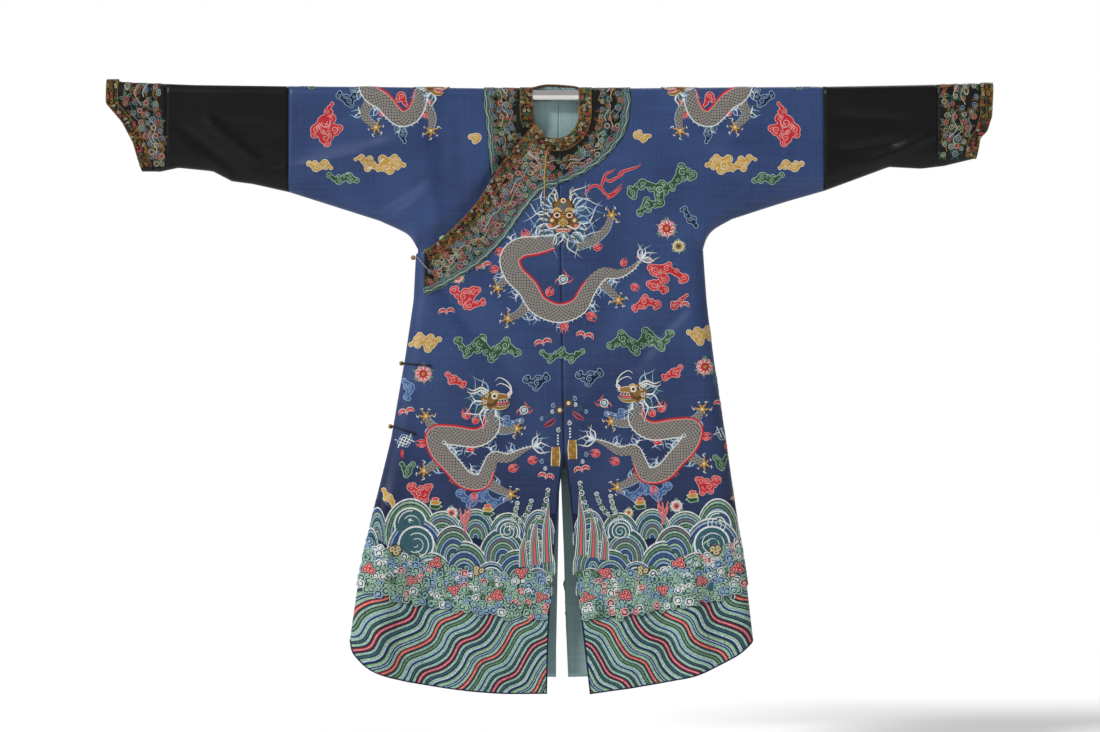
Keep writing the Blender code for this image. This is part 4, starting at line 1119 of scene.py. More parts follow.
@dataclass
class Needlework:
    """Embroidery gathered as grids of cloth places, then made into one mesh with tint and UV."""

    name: str
    material: bpy.types.Material
    base: float = 1.05
    shade: float = 1.0
    setting: Setting = Setting()
    points: list = field(default_factory=list)
    lifts: list = field(default_factory=list)
    tints: list = field(default_factory=list)
    uvs: list = field(default_factory=list)
    faces: list = field(default_factory=list)
    count: int = 0

    def grid(self, places: np.ndarray, lift: np.ndarray, tint: np.ndarray, uv: np.ndarray,
            skip: Sequence[int] = (), pole: bool = False, skip_rows: Sequence[int] = ()) -> None:
        """Adds a grid of stitches.

        Args:
            places: design places in rows and columns, in millimetres.
            lift: height of each over the lowest stitches, in millimetres.
            tint: colour of each.
            uv: stitch coordinates of each, in metres.
            skip: columns after which there is no face, where two columns share a place.
            pole: whether the first row is one point, joined on with triangles.
            skip_rows: rows after which there is no face.
        """
        rows, columns = places.shape[:2]
        quads = grid_faces(rows, columns, self.count).reshape(rows - 1, columns - 1, 4)
        keep = np.ones((rows - 1, columns - 1), dtype=bool)
        keep[:, list(skip)] = False
        keep[list(skip_rows)] = False
        if pole:
            # Columns of the first row share the middle, so its faces repeat their last corner
            self.faces.append(quads[0][:, [0, 2, 3, 3]])
            keep[0] = False
        self.faces.append(quads[keep])
        self.points.append(self.setting.lay(places).reshape(-1, 2))
        self.lifts.append(self.base + np.broadcast_to(lift, (rows, columns)).reshape(-1))
        self.tints.append(np.broadcast_to(tint, (rows, columns, 4)).reshape(-1, 4))
        self.uvs.append(np.broadcast_to(uv, (rows, columns, 2)).reshape(-1, 2))
        self.count += rows * columns

    def ribbon(
        self,
        path: Sequence[Sequence[float]] | np.ndarray,
        width: Sequence[float],
        silk: Silk,
        edge: Silk | None = None,
        lift: float = 0.0,
        share: float = 0.66,
        step: float = 3.0,
        columns: int = 3,
        dome: float = 0.25,
    ) -> None:
        """A band of stitches along a smooth path, domed across by 1 - across squared.

        Args:
            path: control places of its middle line.
            width: half widths spread evenly along it.
            silk: colour of its middle.
            edge: colour of its border, if it has one.
            lift: height over the lowest stitches.
            share: the middle's share of the half width.
            step: length between rows.
            columns: points across the middle.
            dome: height of the middle over the edges.
        """
        rows = np.array(path, dtype=float)
        reach = np.linalg.norm(np.diff(rows, axis=0), axis=1).sum()
        count = int(np.clip(reach / step, 4, 400))
        line = smooth_curve(rows, count)
        run = np.gradient(line, axis=0)
        run = run / np.maximum(np.linalg.norm(run, axis=1, keepdims=True), 1e-9)
        side = np.stack([-run[:, 1], run[:, 0]], axis=1)
        along = np.linspace(0.0, 1.0, count + 1)
        half = np.interp(along, np.linspace(0.0, 1.0, len(width)), width)
        across = np.linspace(-1.0, 1.0, columns)
        colours = np.tile(silk.linear(), (columns, 1))
        skip: tuple[int, ...] = ()
        if edge:
            across = np.concatenate(([-1.0, -share], across * share, [share, 1.0]))
            colours = np.vstack([[edge.linear()] * 2, colours, [edge.linear()] * 2])
            skip = (1, columns + 1)
        places = line[:, None] + side[:, None] * (half[:, None] * across)[..., None]
        length = along * reach * MM
        uv = np.stack(np.broadcast_arrays(length[:, None], half[:, None] * across * MM), axis=-1)
        self.grid(places, lift + dome * (1.0 - across**2), colours, uv, skip)

    def rosette(
        self,
        spot: Spot,
        rings: Sequence[tuple[float, Silk]],
        lobes: int = 0,
        scallop: float = 0.0,
        squash: float = 1.0,
        arc: tuple[float, float] = (0.0, 360.0),
        lift: float = 0.0,
        columns: int = 18,
        dome: float = 0.3,
        hatch: float = 0.0,
    ) -> None:
        """Rings of colour round a middle; its rim is 1 + scallop cos(lobes angle) times the size.

        Args:
            spot: its middle, size and turn.
            rings: outer share and colour of each ring, from the middle out.
            lobes: number of scallops.
            scallop: their depth.
            squash: height over width.
            arc: start and end angle in degrees.
            lift: height over the lowest stitches.
            columns: steps round it.
            dome: height of the middle over the rim.
            hatch: how much every second step is darker.
        """
        angle = np.radians(np.linspace(*arc, columns + 1))
        shares, colours, start = [], [], 0.0
        for share, silk in rings:
            shares += [start, share]
            colours += [silk.linear()] * 2
            start = share
        share = np.array(shares)
        rim = 1.0 + scallop * np.cos(lobes * angle)
        radius = share[:, None] * rim[None, :]
        local = np.stack([radius * np.cos(angle), squash * radius * np.sin(angle)], axis=-1)
        tint = np.repeat(np.array(colours)[:, None], columns + 1, axis=1).copy()
        tint[:, ::2, :3] *= 1.0 - hatch
        uv = np.stack(np.broadcast_arrays(angle * spot.size * 0.5 * MM, share[:, None] * spot.size * MM),
            axis=-1)
        height = lift + dome * (1.0 - share[:, None] ** 2)
        gaps = range(1, len(shares) - 1, 2)
        self.grid(spot.lay(local), height, tint, uv, pole=True, skip_rows=gaps)

    def curl(
        self,
        spot: Spot,
        turns: float,
        width: float,
        silk: Silk,
        lift: float = 0.0,
        tail: float = 0.0,
        steps: int = 12,
    ) -> None:
        """A spiral thread: its radius falls in a straight line with its angle.

        Args:
            spot: middle, outer radius and turn.
            turns: number of turns inwards.
            width: half width of the thread.
            silk: its colour.
            lift: height over the lowest stitches.
            tail: length of a straight start, in radii.
            steps: steps round one turn.
        """
        count = max(int(steps * turns), 6)
        angle = np.linspace(0.0, 2 * math.pi * turns, count + 1)
        radius = 1.0 - 0.88 * angle / angle[-1]
        path = np.stack([radius * np.cos(angle), radius * np.sin(angle)], axis=1)
        if tail:
            path = np.vstack([[1.0, -tail], path])
        self.thread(spot.lay(path), width, silk, lift)

    def thread(self, path: np.ndarray, width: float, silk: Silk, lift: float = 0.0,
            taper: float = 0.5) -> None:
        """A fine thread straight through the given places, thinner at its far end by taper.

        Args:
            path: the thread's places.
            width: its width.
            silk: its colour.
            lift: its height over the cloth.
            taper: how thin the far end is.
        """
        run = np.gradient(path, axis=0)
        run = run / np.maximum(np.linalg.norm(run, axis=1, keepdims=True), 1e-9)
        side = np.stack([-run[:, 1], run[:, 0]], axis=1)
        half = width * np.linspace(1.0, taper, len(path))
        across = np.array([-1.0, 0.0, 1.0])
        places = path[:, None] + side[:, None] * (half[:, None] * across)[..., None]
        length = np.concatenate(([0.0], np.cumsum(np.linalg.norm(np.diff(path, axis=0), axis=1)))) * MM
        uv = np.stack(np.broadcast_arrays(length[:, None], half[:, None] * across * MM), axis=-1)
        self.grid(places, lift + np.array([0.0, 0.22, 0.0]), silk.linear(), uv)

    def build(self) -> bpy.types.Object:
        """Lays all grids on the robe and makes the mesh, with every face turned outwards.

        Returns:
            The finished piece.
        """
        places = np.vstack(self.points)
        lift = np.concatenate(self.lifts)
        points, out = cloth_place(places[:, 0], places[:, 1], lift)
        faces = np.vstack(self.faces)
        a, b, c = (points[faces[:, k]] for k in (0, 1, 2))
        ways = np.cross(b - a, c - b)[:, 1] * out[faces[:, 0]]
        faces[ways < 0] = faces[ways < 0][:, ::-1]
        # A pole's faces repeat one corner, so they go in as triangles
        solid = [list(dict.fromkeys(face)) for face in faces.tolist()]
        piece = make_object(self.name, points, solid, self.material)
        tint = piece.data.color_attributes.new("tint", "FLOAT_COLOR", "POINT")
        tints = np.vstack(self.tints) * (self.shade, self.shade, self.shade, 1.0)
        tint.data.foreach_set("color", tints.astype(np.float32).ravel())
        corner = np.zeros(len(piece.data.loops), dtype=np.int32)
        piece.data.loops.foreach_get("vertex_index", corner)
        layer = piece.data.uv_layers.new(name="stitches")
        layer.data.foreach_set("uv", np.vstack(self.uvs)[corner].astype(np.float32).ravel())
        LOG.info("%s: %d faces of embroidery", self.name, len(solid))
        return piece


def side_name(side: int) -> str:
    """The wearer's side in words."""
    return "right" if side < 0 else "left"


# Share of its bounding rectangle under which a piece counts as a narrow band
NARROW_BAND = 0.31


def band_length(grid: np.ndarray) -> float:
    """Mean length of a grid's rows or of its columns, whichever is longer."""
    return max(float(np.linalg.norm(np.diff(grid, axis=way), axis=-1).sum(axis=way).mean())
        for way in (0, 1))


def declare(piece: bpy.types.Object, node: str, grids: Sequence[np.ndarray]) -> None:
    """Args:
        piece: the cloth piece.
        node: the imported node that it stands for.
        grids: its flat places (x, z), from which its cut comes.
    """
    area = sum(plan_area(grid) for grid in grids)
    width, height = np.ptp(np.vstack([grid.reshape(-1, 2) for grid in grids]), axis=0)
    long = height * len(grids)
    if area < NARROW_BAND * width * long:
        # A narrow band that runs round a curve is woven or cut straight
        long = sum(band_length(grid) for grid in grids)
        width = area / long
    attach(piece, "root")
    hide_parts(node)
    LOG.info("%s: cut %.3f by %.3f m, %.4f square metres", piece.name, width, long, area)


@dataclass
class SilkBody:
    """The robe's two halves and its overlap, in patterned blue silk with a pale lining inside."""

    silk: bpy.types.Material
    lining: bpy.types.Material

    def front_edge(self, side: int) -> np.ndarray:
        """Inner edge of a front: slit, centre seam, neck and shoulder fold.

        Args:
            side: +1 for the wearer's left, -1 for the right.

        Returns:
            The edge's places from the hem to the shoulder.
        """
        neck_x = NECK_LEFT if side < 0 else NECK_RIGHT
        shoulder = (shoulder_run(neck_x, side * (SLEEVE_SEAM[side] - SEAM_GAP / 2)), SHOULDER_ROWS)
        if side > 0:
            bottom = neck_curve(1)
            start = (CENTRE_X + SEAM_GAP / 2, bottom[0][1])
            low = (FRONT_SLIT[1], SKIRT_ROWS)
            seam = ((FRONT_SLIT[1][-1], (0.010, -0.450), start), BODY_ROWS)
            neck = [start] + bottom[2:] + [(neck_x, 0.0)]
        else:
            foot, corner = UNDER_HEM[0], (-0.0485, -0.150)
            low = ((foot, (foot[0], SLIT_TOP)), SKIRT_ROWS)
            seam = (((foot[0], SLIT_TOP), corner), BODY_ROWS)
            neck = [corner, (-0.0485, -0.072), (-0.0550, NECK_STRAIGHT), (neck_x, 0.0)]
        over = [(neck_x, 0.0)] + up_over_rod(neck_x)
        return joined_rows(low, seam, (neck, NECK_CURVE_ROWS), (over, 0), shoulder)

    def back_edge(self, side: int) -> np.ndarray:
        """Inner edge of a back: slit, centre seam, back neck and shoulder fold.

        Args:
            side: +1 for the wearer's left, -1 for the right.

        Returns:
            The edge's places from the hem to the shoulder.
        """
        neck_x = NECK_LEFT if side < 0 else NECK_RIGHT
        shoulder = (shoulder_run(neck_x, side * (SLEEVE_SEAM[side] - SEAM_GAP / 2)), SHOULDER_ROWS)
        rim = back_neck(side, NECK_ROWS)
        rim[0, 0] = CENTRE_X + side * SEAM_GAP / 2
        foot = (BACK_SLIT[side][-1][0], SLIT_TOP)
        middle = (0.006 + side * SEAM_GAP / 2, -0.400)
        low = (list(BACK_SLIT[side]) + [foot], SKIRT_ROWS)
        return joined_rows(low, ((foot, middle, tuple(rim[0])), BODY_ROWS), (rim, 0), shoulder)

    def half(self, side: int) -> bpy.types.Object:
        """One length of silk from the front hem over the rod to the back hem.

        Args:
            side: +1 for the wearer's left, -1 for the right.

        Returns:
            The finished piece.
        """
        inset = FLAP_GAP if side < 0 else 0.0
        front = half_panel(side, self.front_edge(side), UNDER_HEM if side < 0 else FRONT_HEM[1], inset)
        back = half_panel(side, self.back_edge(side), BACK_HEM[side], inset)
        layer = Layer.UNDER if side < 0 else Layer.OVER
        front_y = robe_depth(front[..., 0], front[..., 1], layer)
        back_y = robe_depth(back[..., 0], back[..., 1], Layer.BACK)
        front_points = np.stack([front[..., 0], front_y, front[..., 1]], axis=-1)
        back_points = np.stack([back[..., 0], back_y, back[..., 1]], axis=-1)
        fold = SKIRT_ROWS + BODY_ROWS + NECK_ROWS
        front_points[:, -1, 1] = 0.0
        back_points[:, -1] = front_points[:, -1]
        front_points[fold:, 0, 1] = 0.0
        back_points[fold:, 0] = front_points[fold:, 0]
        name = "body_" + side_name(side)
        grids = ((front_points, side < 0), (back_points, side > 0))
        piece = make_sheet(name + "_silk", grids, self.silk, self.lining)
        declare(piece, name, (front, back))
        return piece

    def overlap_grid(self) -> np.ndarray:
        """Places of the overlap: its four edges blended as a Coons patch.

        Returns:
            A grid of places (x, z), in metres.
        """
        bottom = [point for point in neck_curve(-1)[::-1] if point[0] > -0.046]
        bottom[-1] = (CENTRE_X - SEAM_GAP / 2, bottom[-1][1])
        fine_top = joined_rows((OVERLAP_EDGE, 150), ([OVERLAP_EDGE[-1]] + bottom, 30))
        fine_hem = smooth_curve(FRONT_HEM[-1][::-1], 180)
        near = SEAM_ROLL * (1.0 - np.cos(quarter_turns(SEAM_STEPS))) / 0.40
        u = np.concatenate((near, np.linspace(near[-1], 1.0, 62)[1:]))
        spread = np.linspace(0.0, 1.0, 181)
        top, hem = (np.stack([np.interp(u, spread, fine[:, k]) for k in (0, 1)], axis=1)
                    for fine in (fine_top, fine_hem))
        slit = list(FRONT_SLIT[-1])[::-1]
        centre = joined_rows(((top[-1], (0.0097, -0.450), slit[0]), BODY_ROWS), (slit, SKIRT_ROWS))
        rows = BODY_ROWS + SKIRT_ROWS
        side_z = np.linspace(top[0][1], hem[0][1], rows + 1)
        side = np.stack([-side_distance(side_z, -1, 0.0), side_z], axis=1)
        side[0] = top[0]
        v = np.linspace(0.0, 1.0, rows + 1)[:, None, None]
        u = u[None, :, None]
        down = (1 - v) * top[None] + v * hem[None]
        across = (1 - u) * side[:, None] + u * centre[:, None]
        corners = (1 - u) * ((1 - v) * top[0] + v * hem[0]) + u * ((1 - v) * top[-1] + v * hem[-1])
        return down + across - corners

    def overlap(self) -> bpy.types.Object:
        """The outer front on the wearer's right, from the curved edge to the hem.

        Returns:
            The finished piece.
        """
        grid = self.overlap_grid()
        y = robe_depth(grid[..., 0], grid[..., 1], Layer.OVER)
        points = np.stack([grid[..., 0], y, grid[..., 1]], axis=-1)
        piece = make_sheet("front_overlap_silk", ((points, True),), self.silk, self.lining)
        declare(piece, "front_overlap", (grid,))
        return piece


@dataclass
class Sleeve:
    """A plain black sleeve and its embroidered cuff on one side."""

    side: int
    black: bpy.types.Material
    satin: bpy.types.Material
    brocade: bpy.types.Material
    lining: bpy.types.Material
    fold_drop: float = 0.022
    columns: int = 24

    def tube(self, start: float, end_of: Callable[[np.ndarray], np.ndarray], rows: int) -> np.ndarray:
        """Places of half a tube: rows along the arm, columns from the shoulder fold to the underarm.

        Each row's x and z settle in a few rounds, because the end may slant with z.

        Args:
            start: how far out it starts, in metres.
            end_of: gives how far out it ends at each height.
            rows: the number of rows along the arm.

        Returns:
            A grid of places (x, z), in metres.
        """
        drop = self.fold_drop * (1.0 - np.cos(quarter_turns(ROLL_STEPS)))
        rise = SEAM_ROLL * (1.0 - np.cos(quarter_turns(SEAM_STEPS)[::-1]))
        middle = np.linspace(0.0, 1.0, self.columns + 2)[1:-1]
        # Each column's share of the way down, and its fixed distance from the top or the bottom
        share = np.concatenate([np.zeros_like(drop), middle, np.ones_like(rise)])
        fixed = np.concatenate([-drop, np.zeros_like(middle), rise])
        inner = np.concatenate([np.zeros_like(drop), np.ones_like(middle), np.zeros_like(rise)])
        part = np.linspace(0.0, 1.0, rows + 1)[:, None]
        x = np.full((rows + 1, len(share)), start)
        for _ in range(4):
            high = look_up(SHOULDER_LINE, self.side * x) - self.fold_drop * inner
            low = look_up(UNDERARM[self.side], x) + SEAM_ROLL * inner
            z = high + (low - high) * share + fixed
            x = start + (end_of(z) - start) * part
        return np.stack([self.side * x, z], axis=-1)

    def piece(self, name: str, start: float, end_of: Callable, rows: int, finish: bpy.types.Material,
            slot: str, lift: float = 0.0, wall: float = CLOTH) -> bpy.types.Object:
        """A tube of front and back joined along the shoulder fold and the underarm.

        Args:
            name: the piece's name.
            start: how far out it starts, in metres.
            end_of: gives how far out it ends at each height.
            rows: the rows along the arm.
            finish: its material.
            slot: not used.
            lift: its height over the robe's own surface.
            wall: its thickness.

        Returns:
            The finished piece.
        """
        grid = self.tube(start, end_of, rows)
        front_layer = Layer.OVER if self.side > 0 else Layer.UNDER
        grids = []
        for layer, turned in ((front_layer, self.side < 0), (Layer.BACK, self.side > 0)):
            points = lifted(grid[..., 0], grid[..., 1], layer, lift)
            top, low = points[:, 0], points[:, -1]
            top[:, 1], low[:, 1] = 0.0, 0.0
            top[:, 2], low[:, 2] = grid[:, 0, 1] + lift, grid[:, -1, 1] - lift
            top[:, 0], low[:, 0] = grid[:, 0, 0], grid[:, -1, 0]
            grids.append((points, turned))
        made = make_sheet(name + "_cloth", grids, finish, self.lining, wall)
        declare(made, name, (grid, grid))
        return made

    def build(self) -> list[bpy.types.Object]:
        """Sleeve and cuff.

        Returns:
            The finished pieces.
        """
        label = side_name(self.side)
        seam = CUFF_SEAM[self.side]
        mouth = CUFF_MOUTH[self.side]
        sleeve_start = SLEEVE_SEAM[self.side] + SEAM_GAP / 2
        return [
            self.piece("sleeve_" + label, sleeve_start, lambda z: np.full_like(z, seam - SEAM_GAP / 2), 34,
                       self.black, "black_silk"),
            self.piece("cuff_" + label, seam + SEAM_GAP / 2, lambda z: look_up(mouth, z), 18,
                       self.satin, "embroidered_satin"),
        ]

    def edging(self) -> bpy.types.Object:
        """The brocade band round the cuff's mouth, laid on the cuff.

        Returns:
            The finished piece.
        """
        mouth = CUFF_MOUTH[self.side]
        grid = self.tube(0.0, lambda z: look_up(mouth, z), 1)
        outer = grid[-1]
        columns = np.linspace(0.0, 1.0, 9)[:, None]
        inner = outer - np.array([self.side * CUFF_BAND, 0.0])
        band = inner[None] + (outer - inner)[None] * columns[..., None]
        grids = []
        front_layer = Layer.OVER if self.side > 0 else Layer.UNDER
        for layer, turned in ((front_layer, self.side > 0), (Layer.BACK, self.side < 0)):
            points = lifted(band[..., 0], band[..., 1], layer, FACING_LIFT)
            for column_at, way in ((0, 1.0), (-1, -1.0)):
                points[:, column_at, 0] = band[:, column_at, 0]
                points[:, column_at, 1] = 0.0
                points[:, column_at, 2] = band[:, column_at, 1] + way * FACING_LIFT
            grids.append((points, turned))
        name = "cuff_trim_" + side_name(self.side)
        made = make_sheet(name + "_band", grids, self.brocade, None, TRIM)
        declare(made, name, (band, band))
        return made


@dataclass
class Collar:
    """Facing and ring round the neck, the facing and band along the overlap, and the neck's linings."""

    satin: bpy.types.Material
    brocade: bpy.types.Material
    lining: bpy.types.Material
    curve_rows: int = 44
    across: int = 26

    def strip(self, inner: Sequence[Point], outer: Sequence[Point], rows: int, over_rod: bool) -> np.ndarray:
        """Places between two edges, each given up to the rod's level and then over the rod.

        Args:
            inner: the inner edge.
            outer: the outer edge.
            rows: the number of rows along it.
            over_rod: whether the edges go on over the rod.

        Returns:
            A grid of places (x, z), in metres.
        """
        edges = []
        for edge in (inner, outer):
            curve = smooth_curve(edge, rows)
            if over_rod:
                curve = np.vstack([curve, up_over_rod(float(edge[-1][0]))])
            edges.append(curve)
        part = np.linspace(0.0, 1.0, self.across + 1)
        return edges[0][:, None] + (edges[1] - edges[0])[:, None] * part[:, None]

    def neck_inner(self, side: int) -> list[Point]:
        """The neck's own edge up to the rod's level; on the wearer's right it starts under the overlap.

        Args:
            side: +1 for the wearer's left, -1 for the right.

        Returns:
            The edge's places (x, z), in metres.
        """
        if side > 0:
            curve = neck_curve(1)
            curve[0] = (CENTRE_X, curve[0][1])
            return [curve[0]] + curve[2:] + [(NECK_RIGHT, 0.0)]
        return [(-0.0487, -0.112), (-0.0500, -0.080), (-0.0550, NECK_STRAIGHT), (NECK_LEFT, 0.0)]

    def shoulder_piece(self, side: int, width: float | None, lift: float, name: str,
            finish: bpy.types.Material) -> bpy.types.Object:
        """A facing (width None) or ring on one shoulder: over the rod and on down the back.

        Args:
            side: -1 for the wearer's right, 1 for the left.
            width: the ring's width, or None for the facing's own outline.
            lift: its height over the middle of the cloth.
            name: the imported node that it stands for.
            finish: its material.

        Returns:
            The new object.
        """
        inner = self.neck_inner(side)
        edge_x = inner[-1][0]
        if width is None:
            outer = list(SHOULDER_FACING) if side > 0 else [(-0.152, -0.186), (-0.160, -0.085),
                (-0.168, -0.020), (-0.168, 0.0)]
            reach, drop = side * FACING_HALF_WIDTH, FACING_BACK_DROP
        else:
            turn = np.linspace(0.0, math.pi / 2, 9)
            x = NECK_MIDDLE + (edge_x + side * width - NECK_MIDDLE) * np.sin(turn)
            z = NECK_STRAIGHT + (NECK_BOTTOM - width - NECK_STRAIGHT) * np.cos(turn)
            ring = list(zip(x.tolist(), z.tolist()))
            ring[0] = (CENTRE_X, ring[0][1])
            outer = [ring[0]] + ring[2:] + [(edge_x + side * width, 0.0)]
            if side < 0:
                outer = [(-0.0780, -0.112), (-0.0815, -0.080), (edge_x - width, NECK_STRAIGHT),
                    (edge_x - width, 0.0)]
            reach, drop = edge_x + side * width, width
        front = self.strip(inner, outer, self.curve_rows, True)
        layer = Layer.OVER if side > 0 else Layer.UNDER
        front_points = lifted(front[..., 0], front[..., 1], layer, lift)
        # Back: from the fold round to the middle, dense where it starts over the rod
        turn = (math.pi / 2) * (1.0 - np.linspace(0.0, 1.0, 40) ** 1.8)
        rim_x = NECK_MIDDLE + (edge_x - NECK_MIDDLE) * np.sin(turn)
        rim = np.stack([rim_x, look_up(SHOULDER_LINE, rim_x) + BACK_NECK_RISE * np.cos(turn) ** 2], axis=1)
        top = float(look_up(SHOULDER_LINE, reach))
        outer_back = np.stack(
            [NECK_MIDDLE + (reach - NECK_MIDDLE) * np.sin(turn),
             top + (0.012 - drop - top) * np.cos(turn) ** 1.15], axis=1)
        rim[-1, 0] = outer_back[-1, 0] = CENTRE_X
        part = (1.0 - np.cos(np.linspace(0.0, math.pi / 2, self.across + 1)))
        back = rim[:, None] + (outer_back - rim)[:, None] * part[:, None]
        back_points = lifted(back[..., 0], back[..., 1], Layer.BACK, lift)
        fold = front[-1]
        seam = np.stack([fold[:, 0], np.zeros(len(fold)), fold[:, 1] + lift], axis=-1)
        front_points[-1] = seam
        back_points[0] = np.stack([np.interp(part, np.linspace(0, 1, len(fold)), seam[:, k])
            for k in range(3)], axis=-1)
        piece = make_sheet(name + "_laid", ((front_points, side > 0), (back_points, side > 0)), finish,
            None, TRIM)
        declare(piece, name, (front, back))
        return piece

    def overlap_edges(self) -> tuple[np.ndarray, np.ndarray, np.ndarray]:
        """The overlap's edge to the middle of the neck, its band's inner edge, and the facing's.

        Returns:
            The three edges, each a row of places.
        """
        bottom = [point for point in neck_curve(-1)[::-1] if point[0] > -0.046]
        bottom[-1] = (CENTRE_X - SEAM_GAP / 2, bottom[-1][1])
        top = joined_rows((OVERLAP_EDGE, 96), ([OVERLAP_EDGE[-1]] + bottom, 18))
        top = top[top[:, 0] > -0.3035]
        run = np.gradient(top, axis=0)
        run = run / np.linalg.norm(run, axis=1, keepdims=True)
        wide = np.interp(top[:, 0], (-0.08, -0.03), (BAND_WIDTH, RING_WIDTH))
        band = top + np.stack([run[:, 1], -run[:, 0]], axis=1) * wide[:, None]
        facing = smooth_curve(FACING_EDGE, len(top) - 1)
        return top, band, facing

    def overlap_piece(self, outer: np.ndarray, across: int, lift: float, name: str,
            finish: bpy.types.Material) -> bpy.types.Object:
        """A piece laid along the overlap's edge, from that edge to outer.

        Args:
            outer: the farther edge of the piece.
            across: the number of columns across it.
            lift: its height over the overlap.
            name: the piece's name.
            finish: its material.

        Returns:
            The finished piece.
        """
        top = self.overlap_edges()[0]
        grid = top[:, None] + (outer - top)[:, None] * np.linspace(0.0, 1.0, across + 1)[:, None]
        points = lifted(grid[..., 0], grid[..., 1], Layer.OVER, lift)
        piece = make_sheet(name + "_laid", ((points, True),), finish, None, TRIM)
        declare(piece, name, (grid,))
        return piece

    def lining_piece(self, side: int, corners: Sequence[Point], name: str) -> bpy.types.Object:
        """A lining inside the back between four corners: seam top, side top, side foot, seam foot.

        Args:
            side: +1 for the wearer's left, -1 for the right.
            corners: the four corners, in the order given above.
            name: the piece's name.

        Returns:
            The finished piece.
        """
        a, b, c, d = (np.array(corner) for corner in corners)
        u = np.linspace(0.0, 1.0, 24)[None, :, None]
        v = np.linspace(0.0, 1.0, 60)[:, None, None]
        grid = (1 - v) * ((1 - u) * a + u * b) + v * ((1 - u) * d + u * c)
        points = lifted(grid[..., 0], grid[..., 1], Layer.BACK, -FACING_LIFT)
        piece = make_sheet(name + "_laid", ((points, side > 0),), self.lining, None, TRIM)
        declare(piece, name, (grid,))
        return piece

    def build(self) -> list[bpy.types.Object]:
        """All pieces laid round the neck, along the overlap and inside the back.

        Returns:
            The finished pieces.
        """
        made = []
        for side in (1, -1):
            label = side_name(side)
            made.append(self.shoulder_piece(side, None, FACING_LIFT, "neck_facing_" + label, self.satin))
            made.append(self.shoulder_piece(side, RING_WIDTH, TRIM_LIFT, "neck_trim_" + label, self.brocade))
            seam = CENTRE_X + side * SEAM_GAP / 2
            neck = ((seam, -0.003), (side * 0.080, -0.003), (side * 0.080, -0.140), (seam, -0.140))
            made.append(self.lining_piece(side, neck, "lining_neck_" + label))
            foot = BACK_SLIT[side][0][0] + side * 0.001
            slit = ((BACK_SLIT[side][-1][0], -0.850), (side * 0.130, -0.850), (side * 0.145, -1.334),
                    (foot, -1.338))
            made.append(self.lining_piece(side, slit, "lining_slit_" + label))
        _, band, facing = self.overlap_edges()
        made.append(self.overlap_piece(facing, 26, FACING_LIFT, "overlap_facing", self.satin))
        made.append(self.overlap_piece(band, 8, TRIM_LIFT, "overlap_trim", self.brocade))
        return made


def beside(path: Sequence[Point], widths: Sequence[float], share: float, step: float) -> tuple[np.ndarray,
        np.ndarray]:
    """Places along one side of a band, and the directions away from the band there.

    Args:
        path: the band's own control places.
        widths: its half widths, spread evenly.
        share: how far out, in half widths; below 0 is the other side.
        step: length between places.

    Returns:
        The places and the unit directions.
    """
    rows = np.array(path, dtype=float)
    reach = np.linalg.norm(np.diff(rows, axis=0), axis=1).sum()
    line = smooth_curve(rows, max(int(reach / step), 4))
    run = np.gradient(line, axis=0)
    run = run / np.linalg.norm(run, axis=1, keepdims=True)
    away = np.stack([-run[:, 1], run[:, 0]], axis=1) * math.copysign(1.0, share)
    half = np.interp(np.linspace(0, 1, len(line)), np.linspace(0, 1, len(widths)), widths)
    return line + away * (half * abs(share))[:, None], away


